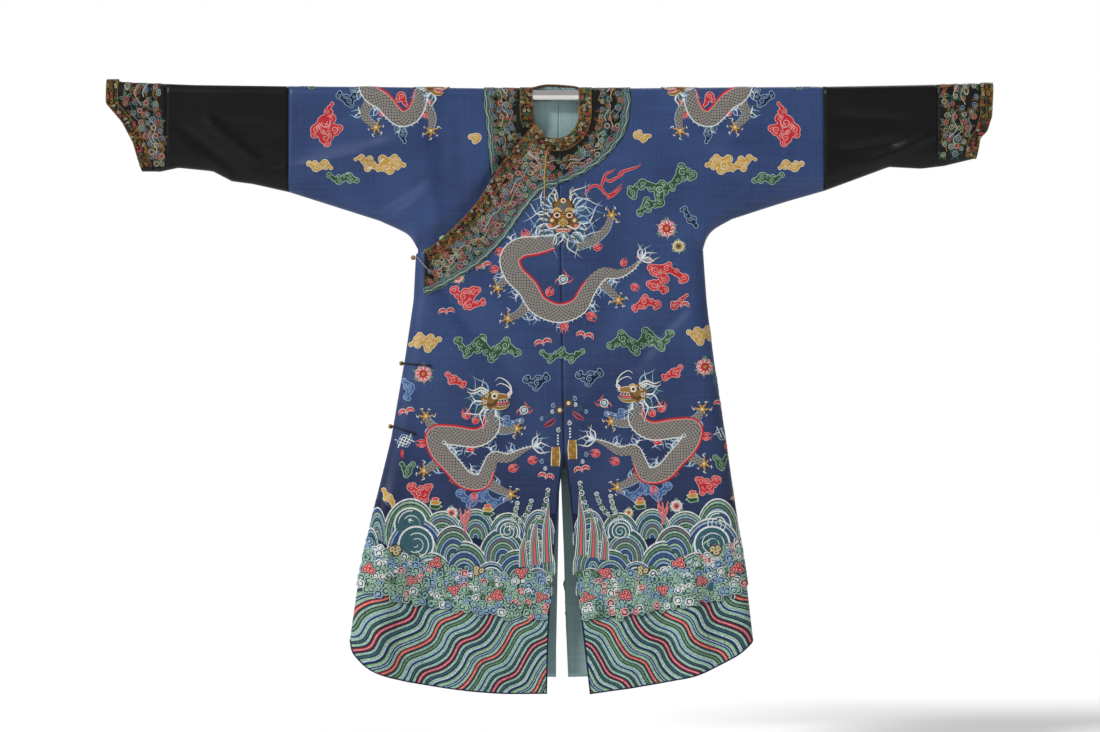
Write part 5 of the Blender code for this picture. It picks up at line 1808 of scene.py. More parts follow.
@dataclass
class Motifs:
    """The robe's small traditional figures, each drawn from ribbons, rosettes and curls."""

    work: Needlework

    def fan(
        self, spot: Spot, count: int, spread: float, reach: tuple[float, float], width: float,
        silks: Sequence[Silk], wave: float = 0.0, lift: float = 0.3, edge: Silk | None = None,
    ) -> None:
        """Tapered strands that spread from a spot about its own direction.

        Args:
            spot: the root and the direction; its size scales the strands.
            count: number of strands.
            spread: degrees to each side.
            reach: where a strand starts and ends, from the root.
            width: half width at its thick end.
            silks: colours in turn.
            wave: how far a strand swings, in radians.
            lift: height over the lowest stitches.
            edge: border colour.
        """
        share = np.linspace(0.0, 1.0, 5)
        for number, angle in enumerate(np.radians(np.linspace(-spread, spread, count))):
            radius = reach[0] + (reach[1] * (0.86 + 0.14 * math.cos(2.4 * number)) - reach[0]) * share
            turn = angle + wave * np.sin(5.0 * share) * (1 if number % 2 else -1)
            path = spot.lay(np.stack([radius * np.cos(turn), radius * np.sin(turn)], axis=1))
            self.work.ribbon(path, (0.7 * width, width, 0.6 * width, 0.15), silks[number % len(silks)], edge,
                             lift + 0.02 * (number % 3), step=4.0)

    def cloud(self, nodes: Sequence[tuple[float, float, float]], fill: Silk, edge: Silk,
            line: Silk | None = None) -> None:
        """A drifting cloud: curled lobes joined by a waving band, with one outline round all.

        Args:
            nodes: x, t and radius of each lobe.
            fill: its own colour.
            edge: colour of the outline.
            line: colour of the curls, the outline's if not given.
        """
        line = line or edge
        path = np.array([(x, t) for x, t, _ in nodes], dtype=float)
        size = np.array([r for _, _, r in nodes], dtype=float)
        run = np.gradient(path, axis=0)
        side = np.stack([-run[:, 1], run[:, 0]], axis=1) / np.linalg.norm(run, axis=1, keepdims=True)
        lobes = [Spot(x, t, 1.08 * r, 53.0 * n, n % 2 == 0) for n, (x, t, r) in enumerate(nodes)]
        for number, (place, away, r) in enumerate(zip(path, side, size)):
            for way in (-1, 1):
                if r > 5.0 and (way > 0) == (number % 2 == 0) or r > 9.0:
                    x, t = place + way * away * 0.95 * r + 0.3 * r * way * run[number] / np.linalg.norm(
                        run[number])
                    lobes.append(Spot(x, t, 0.62 * r, 90.0 + 71.0 * number, way > 0))
        for number in range(len(nodes) - 1):
            r = 0.5 * (size[number] + size[number + 1])
            if np.linalg.norm(path[number + 1] - path[number]) > 1.5 * r:
                x, t = path[number : number + 2].mean(axis=0) + (0.45 * r if number % 2 else -0.45
                    * r) * side[number]
                lobes.append(Spot(x, t, 0.66 * r, 40.0 * number, number % 2 == 0))
        for grow, silk, lift in ((1.6, edge, 0.0), (0.0, fill, 0.22)):
            self.work.ribbon(path, 0.58 * size + grow, silk, None, lift, step=3.0, dome=0.1)
            for lobe in lobes:
                self.work.rosette(Spot(lobe.x, lobe.t, lobe.size + grow), ((1.0, silk),), lift=lift,
                    columns=12, dome=0.12)
        for lobe in lobes:
            if lobe.size > 4.5:
                self.work.curl(Spot(lobe.x, lobe.t, 0.68 * lobe.size, lobe.turn, lobe.flip), 1.5,
                    0.06 * lobe.size + 0.25, line, 0.45, 0.0, 10)

    def flame(self, spot: Spot, count: int = 4) -> None:
        """Red flame: waving strands with a pale border."""
        self.fan(spot, count, 24.0, (0.0, 26.0), 3.2, (Silk.RED, Silk.ROSE), 0.35, 0.3, Silk.PINK)

    def pearl(self, spot: Spot) -> None:
        """A ringed pearl with a spiral in it and small flames."""
        self.fan(Spot(spot.x, spot.t, spot.size / 10, 30.0), 3, 40.0, (6.0, 24.0), 2.2, (Silk.RED,), 0.3,
            0.2, Silk.PINK)
        self.fan(Spot(spot.x, spot.t, spot.size / 10, 215.0), 2, 25.0, (6.0, 20.0), 2.0, (Silk.ROSE,), 0.3,
            0.2, Silk.PINK)
        self.work.rosette(spot, ((0.55, Silk.SKY), (0.7, Silk.NAVY), (0.85, Silk.MINT), (1.0, Silk.WHITE)),
            10, 0.06, lift=0.35)
        self.work.curl(Spot(spot.x, spot.t, spot.size * 0.5), 1.5, 0.9, Silk.WHITE, 0.7)

    def bat(self, spot: Spot) -> None:
        """A red bat: two scalloped wings, a small body and a pale outline.

        Args:
            spot: where it is, how large and how turned.
        """
        for way in (-1, 1):
            wing = spot.lay([(0.0, 0.0), (way * 7.0, 5.0), (way * 15.0, 3.5), (way * 20.0, -5.0)])
            self.work.ribbon(wing, (2.0, 5.0, 4.5, 0.4), Silk.RED, Silk.WHITE, 0.2, 0.72)
            for part in (8.0, 13.0):
                self.work.thread(spot.lay([(way * part, 5.5), (way * (part + 1.5), 1.0),
                    (way * (part + 2.0), -2.0)]), 0.7, Silk.PINK, 0.5)
        self.work.ribbon(spot.lay([(0.0, 6.0), (0.0, 0.0), (0.0, -8.0)]), (1.2, 3.2, 0.4), Silk.ROSE,
            Silk.WHITE, 0.45)

    def flower(self, spot: Spot, petals: Sequence[Silk], heart: Silk, count: int = 9) -> None:
        """A full flower: scalloped rings of petals that get paler outwards.

        Args:
            spot: where it is, how large and how turned.
            petals: the petals' colour.
            heart: the colour of the middle.
            count: the number of petals in a ring.
        """
        rings = [(0.22, heart)]
        for number, silk in enumerate(petals):
            rings.append((0.22 + 0.78 * (number + 1) / len(petals), silk))
        self.work.rosette(spot, rings, count, 0.10, lift=0.3, columns=2 * count, dome=0.5, hatch=0.25)
        for number in range(count):
            angle = 2 * math.pi * number / count
            tip = spot.lay([(0.5 * math.cos(angle), 0.5 * math.sin(angle)), (0.86 * math.cos(angle + 0.2),
                0.86 * math.sin(angle + 0.2))])
            self.work.thread(tip, 0.07 * spot.size, Silk.WHITE, 0.75)

    def leaves(self, spot: Spot, count: int = 3, silk: Silk = Silk.LEAF, edge: Silk = Silk.MINT) -> None:
        """A spray of pointed leaves with a pale vein."""
        for angle in np.radians(np.linspace(-55.0, 55.0, count)):
            path = spot.lay([(0.0, 0.0), (7.0 * math.cos(angle), 7.0 * math.sin(angle)),
                (15.0 * math.cos(angle * 1.2), 15.0 * math.sin(angle * 1.2))])
            self.work.ribbon(path, (0.5, 3.6, 0.3), silk, edge, 0.2, 0.62)

    def paw(self, spot: Spot) -> None:
        """A five-toed golden paw with white nails."""
        self.fan(spot, 5, 115.0, (0.0, 18.0), 3.0, (Silk.GOLD,), 0.12, 0.45, Silk.OCHRE)
        self.fan(spot, 5, 115.0, (15.0, 23.0), 1.3, (Silk.WHITE,), 0.2, 0.6)
        self.work.rosette(Spot(spot.x, spot.t, 6.5 * spot.size), ((0.4, Silk.CREAM), (0.7, Silk.GOLD),
            (1.0, Silk.OCHRE)), lift=0.55, columns=12)

    def knot(self, spot: Spot) -> None:
        """An endless knot: a lattice of crossing white bands with looped corners.

        Args:
            spot: where it is, how large and how turned.
        """
        for number in range(3):
            at = -10.0 + 10.0 * number
            for way in (-1, 1):
                self.work.thread(spot.lay([(at - 10.0 * way, -10.0), (at, 0.0), (at + 10.0 * way, 10.0)]),
                    1.1, Silk.WHITE, 0.3 + 0.1 * way, 1.0)
        angle = np.linspace(0.0, 2 * math.pi, 33)
        loop = np.stack([17.0 * np.cos(angle), 12.0 * np.sin(angle) * (1.0 + 0.25 * np.cos(4 * angle))],
            axis=1)
        self.work.thread(spot.lay(loop), 1.1, Silk.SKY, 0.2, 1.0)


@dataclass
class Dragon:
    """A scaled dragon from neck to tail, with its head, legs, paws and flames."""

    body: tuple[Point, ...]
    widths: tuple[float, ...]
    head: Spot
    legs: tuple[tuple[Point, ...], ...]
    flames: tuple[tuple[float, float, float, float], ...] = ()
    frontal: bool = False
    back_side: float = 1.0

    def dress(self, scales: Needlework, work: Needlework) -> None:
        """Adds the dragon to the work of scales and the work of threads.

        Args:
            scales: the work of scales.
            work: the work of threads.
        """
        motifs = Motifs(work)
        for leg in self.legs:
            scales.ribbon(leg, (13.0, 12.0, 9.5, 6.5), Silk.GREY, None, 0.15, step=4.0, columns=5, dome=0.6)
            side, _ = beside(leg, (13.0, 12.0, 9.5, 6.5), -0.95, 4.0)
            work.thread(side, 0.9, Silk.SKY, 0.5, 1.0)
            run = np.array(leg[-1]) - np.array(leg[-2])
            motifs.paw(Spot(*leg[-1], 1.1, math.degrees(math.atan2(run[1], run[0]))))
            hair = Spot(*leg[1], 0.8, math.degrees(math.atan2(run[1], run[0])) + 150.0)
            motifs.fan(hair, 6, 34.0, (4.0, 44.0), 2.2, (Silk.SKY, Silk.WHITE, Silk.TEAL), 0.25, 0.1)
        scales.ribbon(self.body, self.widths, Silk.GREY, None, 0.3, step=4.0, columns=9, dome=1.0)
        spine, away = beside(self.body, self.widths, self.back_side, 4.0)
        work.thread(spine, 1.3, Silk.WHITE, 0.75, 0.8)
        for number, (place, way) in enumerate(zip(spine[1::2], away[1::2])):
            work.thread(np.array([place, place + way * 5.6]), 1.2, Silk.SKY if number % 3 == 0
                else Silk.WHITE, 0.7, 0.15)
        for number in range(8, len(spine) - 8, 13):
            way = away[number]
            root = Spot(*spine[number], 0.8, math.degrees(math.atan2(way[1], way[0])) + 24.0
                * (-1) ** number)
            motifs.fan(root, 5, 34.0, (3.0, 36.0), 1.5, (Silk.SKY, Silk.WHITE, Silk.BLUE), 0.34, 0.1)
        belly, _ = beside(self.body, self.widths, -self.back_side * 0.92, 4.0)
        work.thread(belly[: int(len(belly) * 0.75)], 2.2, Silk.RED, 0.7, 0.8)
        inner, _ = beside(self.body, self.widths, -self.back_side * 0.78, 4.0)
        work.thread(inner[: int(len(inner) * 0.75)], 0.8, Silk.PINK, 0.95, 1.0)
        tail = np.array(self.body[-1]) - np.array(self.body[-2])
        end = Spot(*self.body[-1], 1.0, math.degrees(math.atan2(tail[1], tail[0])))
        motifs.fan(end, 8, 52.0, (0.0, 46.0), 1.7, (Silk.WHITE, Silk.WHITE, Silk.SKY), 0.28, 0.8)
        for x, t, turn, size in self.flames:
            motifs.flame(Spot(x, t, size, turn))
        if self.frontal:
            self.front_head(motifs)
        else:
            self.side_head(motifs)

    def front_head(self, motifs: Motifs) -> None:
        """A face seen from the front: mane, horns, brows, round eyes, broad nose, teeth and beard.

        Args:
            motifs: the motifs that draw it.
        """
        work, head = motifs.work, self.head
        scale = head.size

        def at(x: float, t: float, size: float, turn: float = 0.0, flip: bool = False) -> Spot:
            """A spot at a place of the face."""
            place = head.lay([(x, t)])[0]
            return Spot(float(place[0]), float(place[1]), size * scale, turn, flip)

        for way in (-1, 1):
            turn = 0.0 if way > 0 else 180.0
            motifs.fan(at(way * 12.0, 14.0, 1.0, turn + way * 38.0), 15, 38.0, (10.0, 66.0), 1.6,
                (Silk.SKY, Silk.WHITE, Silk.TEAL, Silk.BLUE), 0.34, 0.4)
            motifs.fan(at(way * 12.0, -6.0, 1.0, turn - way * 8.0), 14, 40.0, (10.0, 72.0), 1.6,
                (Silk.TEAL, Silk.SKY, Silk.WHITE, Silk.BLUE), 0.36, 0.45)
            motifs.fan(at(way * 10.0, -24.0, 1.0, turn - way * 44.0), 12, 36.0, (8.0, 56.0), 1.5,
                (Silk.WHITE, Silk.SKY, Silk.TEAL), 0.3, 0.5)
            horn = head.lay([(way * 8.0, 26.0), (way * 15.0, 40.0), (way * 13.0, 52.0), (way * 20.0, 60.0)])
            work.ribbon(horn, (3.2, 3.0, 2.0, 0.4), Silk.CREAM, Silk.GREY, 0.75)
            fork = head.lay([(way * 14.0, 44.0), (way * 22.0, 47.0), (way * 28.0, 44.0)])
            work.ribbon(fork, (2.0, 1.5, 0.3), Silk.CREAM, Silk.GREY, 0.8)
        work.rosette(at(0.0, 22.0, 21.0), ((0.5, Silk.GREY), (0.8, Silk.OCHRE), (1.0, Silk.BROWN)), 7, 0.05,
            0.85, lift=0.75, dome=0.9, hatch=0.45, columns=28)
        work.rosette(at(0.0, -2.0, 25.0), ((0.35, Silk.OCHRE), (0.6, Silk.BROWN), (0.85, Silk.OCHRE),
            (1.0, Silk.BROWN)), 6, 0.05, 1.05, lift=0.85, dome=1.0, hatch=0.3, columns=30)
        work.rosette(at(0.0, 34.0, 5.0), ((0.5, Silk.RED), (1.0, Silk.CREAM)), lift=1.7, columns=12)
        for way in (-1, 1):
            brow = head.lay([(way * 3.0, 13.0), (way * 9.0, 18.0), (way * 17.0, 17.0), (way * 22.0, 12.0)])
            work.ribbon(brow, (1.6, 3.2, 3.0, 0.8), Silk.GOLD, Silk.CREAM, 1.9)
            work.curl(at(way * 21.0, 13.0, 4.5, 0.0, way < 0), 1.3, 1.1, Silk.WHITE, 2.1)
            work.rosette(at(way * 11.5, 6.5, 7.2), ((0.42, Silk.BLACK), (0.62, Silk.GOLD),
                (0.85, Silk.WHITE), (1.0, Silk.RED)), squash=0.85, lift=1.9, columns=16, dome=0.7)
            work.rosette(at(way * 21.0, -3.0, 7.5), ((0.4, Silk.CREAM), (0.75, Silk.OCHRE),
                (1.0, Silk.BROWN)), 6, 0.08, lift=1.7, columns=18)
            work.rosette(at(way * 24.0, -14.0, 5.0), ((0.5, Silk.GOLD), (1.0, Silk.ROSE)), 5, 0.08,
                lift=1.7, columns=14)
            work.curl(at(way * 5.0, -9.0, 4.6, 90.0, way > 0), 1.4, 1.2, Silk.GOLD, 2.2)
            whisker = head.lay([(way * 7.0, -13.0), (way * 24.0, -19.0), (way * 34.0, -9.0),
                (way * 42.0, -15.0), (way * 45.0, -24.0)])
            work.ribbon(whisker, (1.9, 1.7, 1.4, 0.9, 0.3), Silk.WHITE, None, 2.2)
        for number in range(4):
            ridge = head.lay([(-5.0 + number * 0.6, 9.0 - 4.6 * number), (0.0, 11.0 - 4.6 * number),
                (5.0 - number * 0.6, 9.0 - 4.6 * number)])
            work.ribbon(ridge, (0.5, 1.2, 0.5), Silk.GOLD, None, 2.1)
        work.rosette(at(0.0, -8.0, 8.5), ((0.45, Silk.GOLD), (0.8, Silk.OCHRE), (1.0, Silk.CREAM)), 4, 0.1,
            0.75, lift=1.9, columns=20, dome=0.7)
        work.ribbon(head.lay([(-17.0, -18.0), (-8.0, -23.0), (0.0, -21.0), (8.0, -23.0), (17.0, -18.0)]),
            (1.0, 3.6, 4.4, 3.6, 1.0), Silk.RED, Silk.CREAM, 1.95, 0.6)
        for number in range(6):
            x = -10.0 + 4.0 * number
            work.thread(head.lay([(x, -18.5), (x, -22.5)]), 1.3, Silk.WHITE, 2.4, 0.3)
        motifs.fan(at(0.0, -22.0, 1.0, -90.0), 9, 48.0, (4.0, 34.0), 2.0, (Silk.WHITE, Silk.SKY, Silk.GREY),
            0.2, 1.5)

    def side_head(self, motifs: Motifs) -> None:
        """A head seen from the side, looking along its own +x: mane, horns, eye, snout and jaws.

        Args:
            motifs: the motifs that draw it.
        """
        work, head = motifs.work, self.head
        scale = head.size

        def at(x: float, t: float, size: float, turn: float = 0.0, flip: bool = False) -> Spot:
            """A spot at a place of the head, with its turn carried along."""
            place = head.lay([(x, t)])[0]
            own = 180.0 - turn if head.flip else turn
            return Spot(float(place[0]), float(place[1]), size * scale, own + head.turn, flip)

        motifs.fan(at(-4.0, 0.0, 1.0, 170.0), 17, 66.0, (8.0, 56.0), 1.8, (Silk.SKY, Silk.WHITE, Silk.TEAL),
            0.26, 0.9)
        motifs.fan(at(4.0, -12.0, 1.0, 250.0), 8, 44.0, (4.0, 36.0), 2.2, (Silk.WHITE, Silk.TEAL, Silk.SKY),
            0.3, 0.95)
        for rise in (0.0, 5.0):
            horn = head.lay([(-4.0, 12.0 + rise), (-16.0, 20.0 + rise), (-30.0, 17.0 + rise),
                (-42.0, 21.0 + 1.5 * rise)])
            work.ribbon(horn, (2.8, 2.6, 2.0, 0.3), Silk.WHITE, Silk.GREY, 1.3 + 0.02 * rise)
        work.rosette(at(-2.0, 1.0, 17.5), ((0.4, Silk.OCHRE), (0.75, Silk.BROWN), (1.0, Silk.OCHRE)), 7,
            0.06, 0.9, lift=1.3, columns=28, dome=0.8, hatch=0.3)
        work.ribbon(head.lay([(2.0, 4.0), (14.0, 5.0), (26.0, 3.0), (32.0, 5.0)]), (11.0, 8.0, 6.5, 5.0),
            Silk.OCHRE, Silk.CREAM, 1.45, 0.78, dome=0.7)
        work.ribbon(head.lay([(0.0, -11.0), (12.0, -15.0), (23.0, -14.0), (30.0, -9.0)]),
            (5.0, 4.5, 3.6, 1.0), Silk.OCHRE, Silk.CREAM, 1.45, 0.7)
        work.ribbon(head.lay([(6.0, -6.0), (18.0, -8.0), (29.0, -5.0)]), (2.4, 3.4, 1.0), Silk.RED,
            Silk.PINK, 1.6)
        work.curl(at(31.0, 6.0, 5.0), 1.4, 1.2, Silk.ROSE, 1.9)
        for number in range(4):
            work.thread(head.lay([(10.0 + 5.0 * number, -2.5), (10.5 + 5.0 * number, -6.5)]), 1.0,
                Silk.WHITE, 2.0, 0.3)
        work.rosette(at(5.0, 7.0, 5.6), ((0.4, Silk.BLACK), (0.6, Silk.GOLD), (1.0, Silk.WHITE)), lift=2.0,
            columns=14, dome=0.6)
        work.ribbon(head.lay([(-2.0, 12.0), (6.0, 15.0), (14.0, 12.0)]), (1.2, 2.8, 0.8), Silk.GOLD,
            Silk.CREAM, 2.1)
        for number in range(5):
            work.curl(at(-15.0 + 1.5 * number, -12.0 + 6.0 * number, 4.6, 60.0 * number), 1.3, 1.0,
                Silk.GOLD if number % 2 else Silk.WHITE, 1.9)
        for rise, reach in ((6.0, 1.0), (2.0, 0.8)):
            whisker = head.lay([(28.0, rise), (36.0, rise + 10.0 * reach), (30.0, rise + 24.0 * reach),
                (18.0, rise + 32.0 * reach), (10.0, rise + 28.0 * reach)])
            work.ribbon(whisker, (1.8, 1.6, 1.3, 1.0, 0.4), Silk.WHITE, None, 2.2)


# Columns: fill, outline, lobes as (x, t, radius)
CHEST_CLOUDS = (
    (Silk.GOLD, Silk.CREAM, ((-184, -98, 9), (-197, -96, 5))),
    (Silk.GOLD, Silk.CREAM, ((184, -92, 8), (200, -98, 7), (212, -94, 3))),
    (Silk.GREEN, Silk.MINT, ((310, -184, 9), (287, -177, 13), (262, -208, 8), (236, -216, 13),
    (196, -203, 9), (172, -224, 10))),
    (Silk.GREEN, Silk.MINT, ((236, -218, 12), (236, -247, 9), (207, -252, 11), (190, -272, 6))),
    (Silk.GREEN, Silk.MINT, ((-262, -330, 6), (-240, -352, 11), (-212, -345, 12), (-190, -372, 8),
    (-172, -392, 5))),
    (Silk.RED, Silk.PINK, ((291, -420, 9), (251, -398, 10), (225, -402, 12), (246, -422, 9),
    (222, -436, 11), (247, -446, 7))),
    (Silk.RED, Silk.PINK, ((229, -480, 8), (200, -474, 10), (178, -488, 6))),
    (Silk.RED, Silk.PINK, ((268, -484, 7), (283, -471, 5), (297, -459, 2.5))),
    (Silk.RED, Silk.PINK, ((-236, -448, 8), (-214, -462, 12), (-190, -450, 10), (-200, -482, 9),
    (-170, -476, 6))),
    (Silk.NAVY, Silk.SKY, ((-70, -652, 7), (-46, -660, 11), (-24, -648, 7))),
    (Silk.NAVY, Silk.SKY, ((50, -642, 7), (74, -650, 11), (98, -638, 7))),
    (Silk.GREEN, Silk.MINT, ((-34, -590, 5), (-14, -602, 8), (10, -592, 9), (34, -602, 8), (58, -588, 5))),
    (Silk.NAVY, Silk.SKY, ((-178, -292, 4), (-166, -308, 8), (-150, -318, 5))),
    (Silk.NAVY, Silk.SKY, ((318, -300, 4), (306, -286, 8), (292, -262, 6))),
)
SHOULDER_CLOUDS = (
    (Silk.GOLD, Silk.CREAM, ((344, -161, 4), (362, -154, 11), (384, -160, 15), (404, -166, 6),
    (424, -158, 11), (440, -144, 6), (454, -148, 2.5))),
    (Silk.RED, Silk.PINK, ((544, -80, 12), (524, -98, 13), (503, -80, 12), (524, -64, 17), (518, -38, 7),
    (508, -20, 3))),
    (Silk.NAVY, Silk.SKY, ((352, -72, 9), (347, -92, 7), (342, -108, 3))),
    (Silk.NAVY, Silk.SKY, ((452, 8, 9), (470, -14, 10), (492, -2, 6))),
    (Silk.RED, Silk.PINK, ((350, -4, 9), (342, -18, 4), (334, -28, 2))),
    (Silk.GREEN, Silk.MINT, ((452, -196, 5), (470, -188, 9), (492, -196, 8), (514, -184, 5))),
    (Silk.GOLD, Silk.CREAM, ((560, -158, 5), (544, -166, 9), (524, -158, 8), (510, -168, 3))),
    (Silk.GREEN, Silk.MINT, ((556, 20, 7), (572, 40, 12), (590, 66, 8), (572, 88, 5))),
)
SKIRT_CLOUDS = (
    (Silk.GOLD, Silk.CREAM, ((-334, -572, 4), (-316, -562, 11), (-292, -569, 13), (-270, -560, 5))),
    (Silk.GREEN, Silk.MINT, ((-228, -563, 7), (-204, -588, 10), (-176, -570, 14), (-146, -594, 12),
    (-118, -574, 12), (-90, -590, 7))),
    (Silk.RED, Silk.PINK, ((-334, -898, 8), (-315, -912, 11), (-296, -900, 8), (-300, -926, 6))),
    (Silk.BLUE, Silk.SKY, ((-222, -912, 8), (-196, -930, 11), (-168, -916, 10), (-142, -934, 8),
    (-112, -922, 5))),
    (Silk.BLUE, Silk.SKY, ((-350, -655, 5), (-336, -670, 9), (-344, -692, 6))),
    (Silk.RED, Silk.PINK, ((-250, -640, 5), (-236, -652, 9), (-216, -664, 6))),
    (Silk.GOLD, Silk.CREAM, ((-396, -905, 4), (-384, -922, 8), (-372, -942, 5))),
    (Silk.BLUE, Silk.SKY, ((-118, -742, 6), (-100, -756, 9), (-82, -746, 5))),
    (Silk.GREEN, Silk.MINT, ((-355, -845, 4), (-342, -862, 9), (-330, -846, 5))),
)
# Columns: x, t, size, turn of the bats
SKIRT_BATS = ((-168, -393, 0.9, 20), (-253, -497, 0.9, 5), (-32, -568, 1.0, 12), (-25, -874, 0.9, -10),
    (-344, -726, 0.9, 14))
# Columns: x, t, radius, petals' colours, heart
SKIRT_FLOWERS = (
    (-306, -639, 19, (Silk.RED, Silk.ROSE, Silk.PINK), Silk.GOLD),
    (-241, -957, 14, (Silk.ROSE, Silk.PINK, Silk.WHITE), Silk.GREEN),
    (-132, -972, 10, (Silk.GOLD, Silk.CREAM), Silk.RED),
)
CHEST_FLOWERS = (
    (251, -306, 20, (Silk.RED, Silk.ROSE, Silk.PINK), Silk.GOLD),
    (278, -347, 14, (Silk.OCHRE, Silk.GOLD, Silk.CREAM), Silk.GREEN),
    (-226, -418, 13, (Silk.ROSE, Silk.PINK), Silk.GOLD),
)
# Red branching flames on the chest, each a path of (x, t)
CHEST_FLAMES = (
    ((64, -229), (76, -212), (90, -208), (102, -216), (112, -228), (124, -228), (138, -214), (150, -204)),
    ((100, -214), (106, -196), (112, -182), (124, -176), (134, -170)),
    ((108, -192), (122, -198), (136, -190), (146, -186), (156, -178)),
    ((140, -190), (146, -178), (162, -172), (182, -166), (194, -158)),
    ((115, -238), (128, -230), (140, -220), (150, -211)),
)
CHEST_DRAGON = Dragon(
    body=((-8, -338), (-46, -346), (-84, -352), (-106, -374), (-98, -408), (-66, -442), (-42, -480),
    (4, -499),
          (48, -484), (72, -444), (104, -410), (141, -410), (172, -396), (190, -378)),
    widths=(17, 22, 24, 24, 24, 24, 23, 22, 20, 17, 13, 8, 2),
    head=Spot(14, -284, 1.22),
    legs=(
        ((44, -346), (84, -332), (112, -308), (125, -276)),
        ((-92, -410), (-112, -420), (-136, -442)),
        ((88, -420), (116, -444), (140, -470)),
        ((-60, -470), (-84, -500), (-112, -512)),
    ),
    flames=((-66, -330, 120, 1.1), (-120, -356, 200, 1.0), (84, -352, 20, 0.9), (-22, -460, 60, 1.0),
    (70, -500, -40, 1.1),
            (-134, -398, 190, 0.9), (170, -436, -30, 0.9), (16, -520, -90, 1.1), (150, -392, 70, 0.8)),
    frontal=True,
    back_side=-1.0,
)
SKIRT_DRAGON = Dragon(
    body=((-150, -726), (-152, -762), (-184, -784), (-240, -778), (-279, -780), (-270, -816), (-242, -848),
    (-210, -882),
          (-172, -886), (-156, -856), (-144, -830), (-112, -832), (-80, -816), (-56, -806)),
    widths=(16, 20, 22, 23, 23, 23, 22, 21, 19, 16, 12, 8, 2),
    head=Spot(-148, -700, 1.3, 8),
    legs=(
        ((-156, -758), (-122, -768), (-92, -764)),
        ((-262, -776), (-288, -756), (-300, -736)),
        ((-262, -836), (-288, -852), (-304, -860)),
        ((-166, -880), (-134, -902), (-106, -914)),
    ),
    flames=((-204, -742, 110, 1.1), (-300, -800, 170, 1.0), (-206, -812, 20, 0.9), (-110, -858, 20, 1.0),
    (-226, -872, 220, 1.0),
            (-66, -838, 10, 1.0), (-190, -752, 60, 0.9), (-186, -912, 250, 0.9)),
    back_side=1.0,
)
SHOULDER_DRAGON = Dragon(
    body=((306, 10), (311, -20), (326, -46), (350, -53), (370, -37), (390, -14), (418, 4), (430, 34),
    (426, 70), (402, 98),
          (362, 112), (330, 104), (306, 118)),
    widths=(15, 18, 19, 20, 21, 21, 21, 21, 19, 17, 13, 8, 2),
    head=Spot(280, 20, 1.0, 12, True),
    legs=(
        ((304, -14), (280, -48), (282, -82)),
        ((416, -8), (434, -44), (408, -74)),
        ((410, 92), (430, 118), (410, 142)),
    ),
    flames=((292, -8, 240, 0.9), (400, -44, 160, 0.8), (300, -40, 220, 0.8), (446, 60, 30, 1.0),
    (372, 60, 90, 1.0)),
    back_side=-1.0,
)
# Columns: x, top and half sizes across and up of the waves by the hem, from the far ones to the near
WAVES = (
    (-410, -958, 50, 70), (-335, -940, 62, 84), (-262, -966, 52, 70), (-186, -960, 46, 66),
    (-112, -968, 46, 62), (-42, -962, 38, 66),
    (-424, -1007, 44, 80), (-322, -985, 68, 86), (-237, -1000, 51, 75), (-124, -1005, 55, 70),
    (-370, -1045, 56, 72), (-212, -1037, 61, 85),
    (-50, -1030, 46, 66), (-288, -1060, 54, 70), (-90, -1053, 56, 66), (-428, -1068, 34, 50),
    (-150, -1078, 42, 56), (-226, -1100, 48, 52),
    (-45, -1092, 34, 52), (-330, -1100, 46, 52),
)
# Columns: share from the slit to the side, t of the foam's lower line, t of its upper line, t
# of the sea's top
SHORE = ((0.0, -1190, -1092, -960), (0.3, -1180, -1092, -985), (0.55, -1164, -1078, -985),
    (0.8, -1145, -1045, -950), (1.0, -1118, -1020, -930))
# Colours of a wave's rings in turn, each followed by a fine dark line
WAVE_SILKS = (Silk.SKY, Silk.LEAF, Silk.MINT, Silk.GREY, Silk.SKY, Silk.MINT, Silk.TEAL, Silk.SKY,
    Silk.MINT, Silk.BLUE)
WAVE_RINGS = 10


@dataclass(frozen=True)
class Strip:
    """A band of cloth between two edges of matching cloth places."""

    inner: np.ndarray
    outer: np.ndarray

    def line(self, share: float, start: float = 0.0, end: float = 1.0) -> np.ndarray:
        """Places at a share of the way across, between two shares of the length."""
        first, last = (int(round(part * (len(self.inner) - 1))) for part in (start, end))
        return (self.inner + (self.outer - self.inner) * share)[first : last + 1]

    def length(self) -> float:
        """Length of its middle line."""
        return float(np.linalg.norm(np.diff(self.line(0.5), axis=0), axis=1).sum())

    def spot(self, along: float, share: float, size: float, turn: float = 0.0, flip: bool = False) -> Spot:
        """A spot on it, turned with the band's own direction.

        Args:
            along: share of the way along the band.
            share: share of the way across it.
            size: the motif's size.
            turn: its turn from the band's direction.
            flip: whether it is mirrored.

        Returns:
            The spot.
        """
        line = self.line(share)
        at = min(int(along * (len(line) - 2)), len(line) - 2)
        run = line[at + 1] - line[at]
        place = line[at] + run * (along * (len(line) - 2) - at)
        return Spot(float(place[0]), float(place[1]), size, math.degrees(math.atan2(run[1], run[0])) + turn,
            flip)


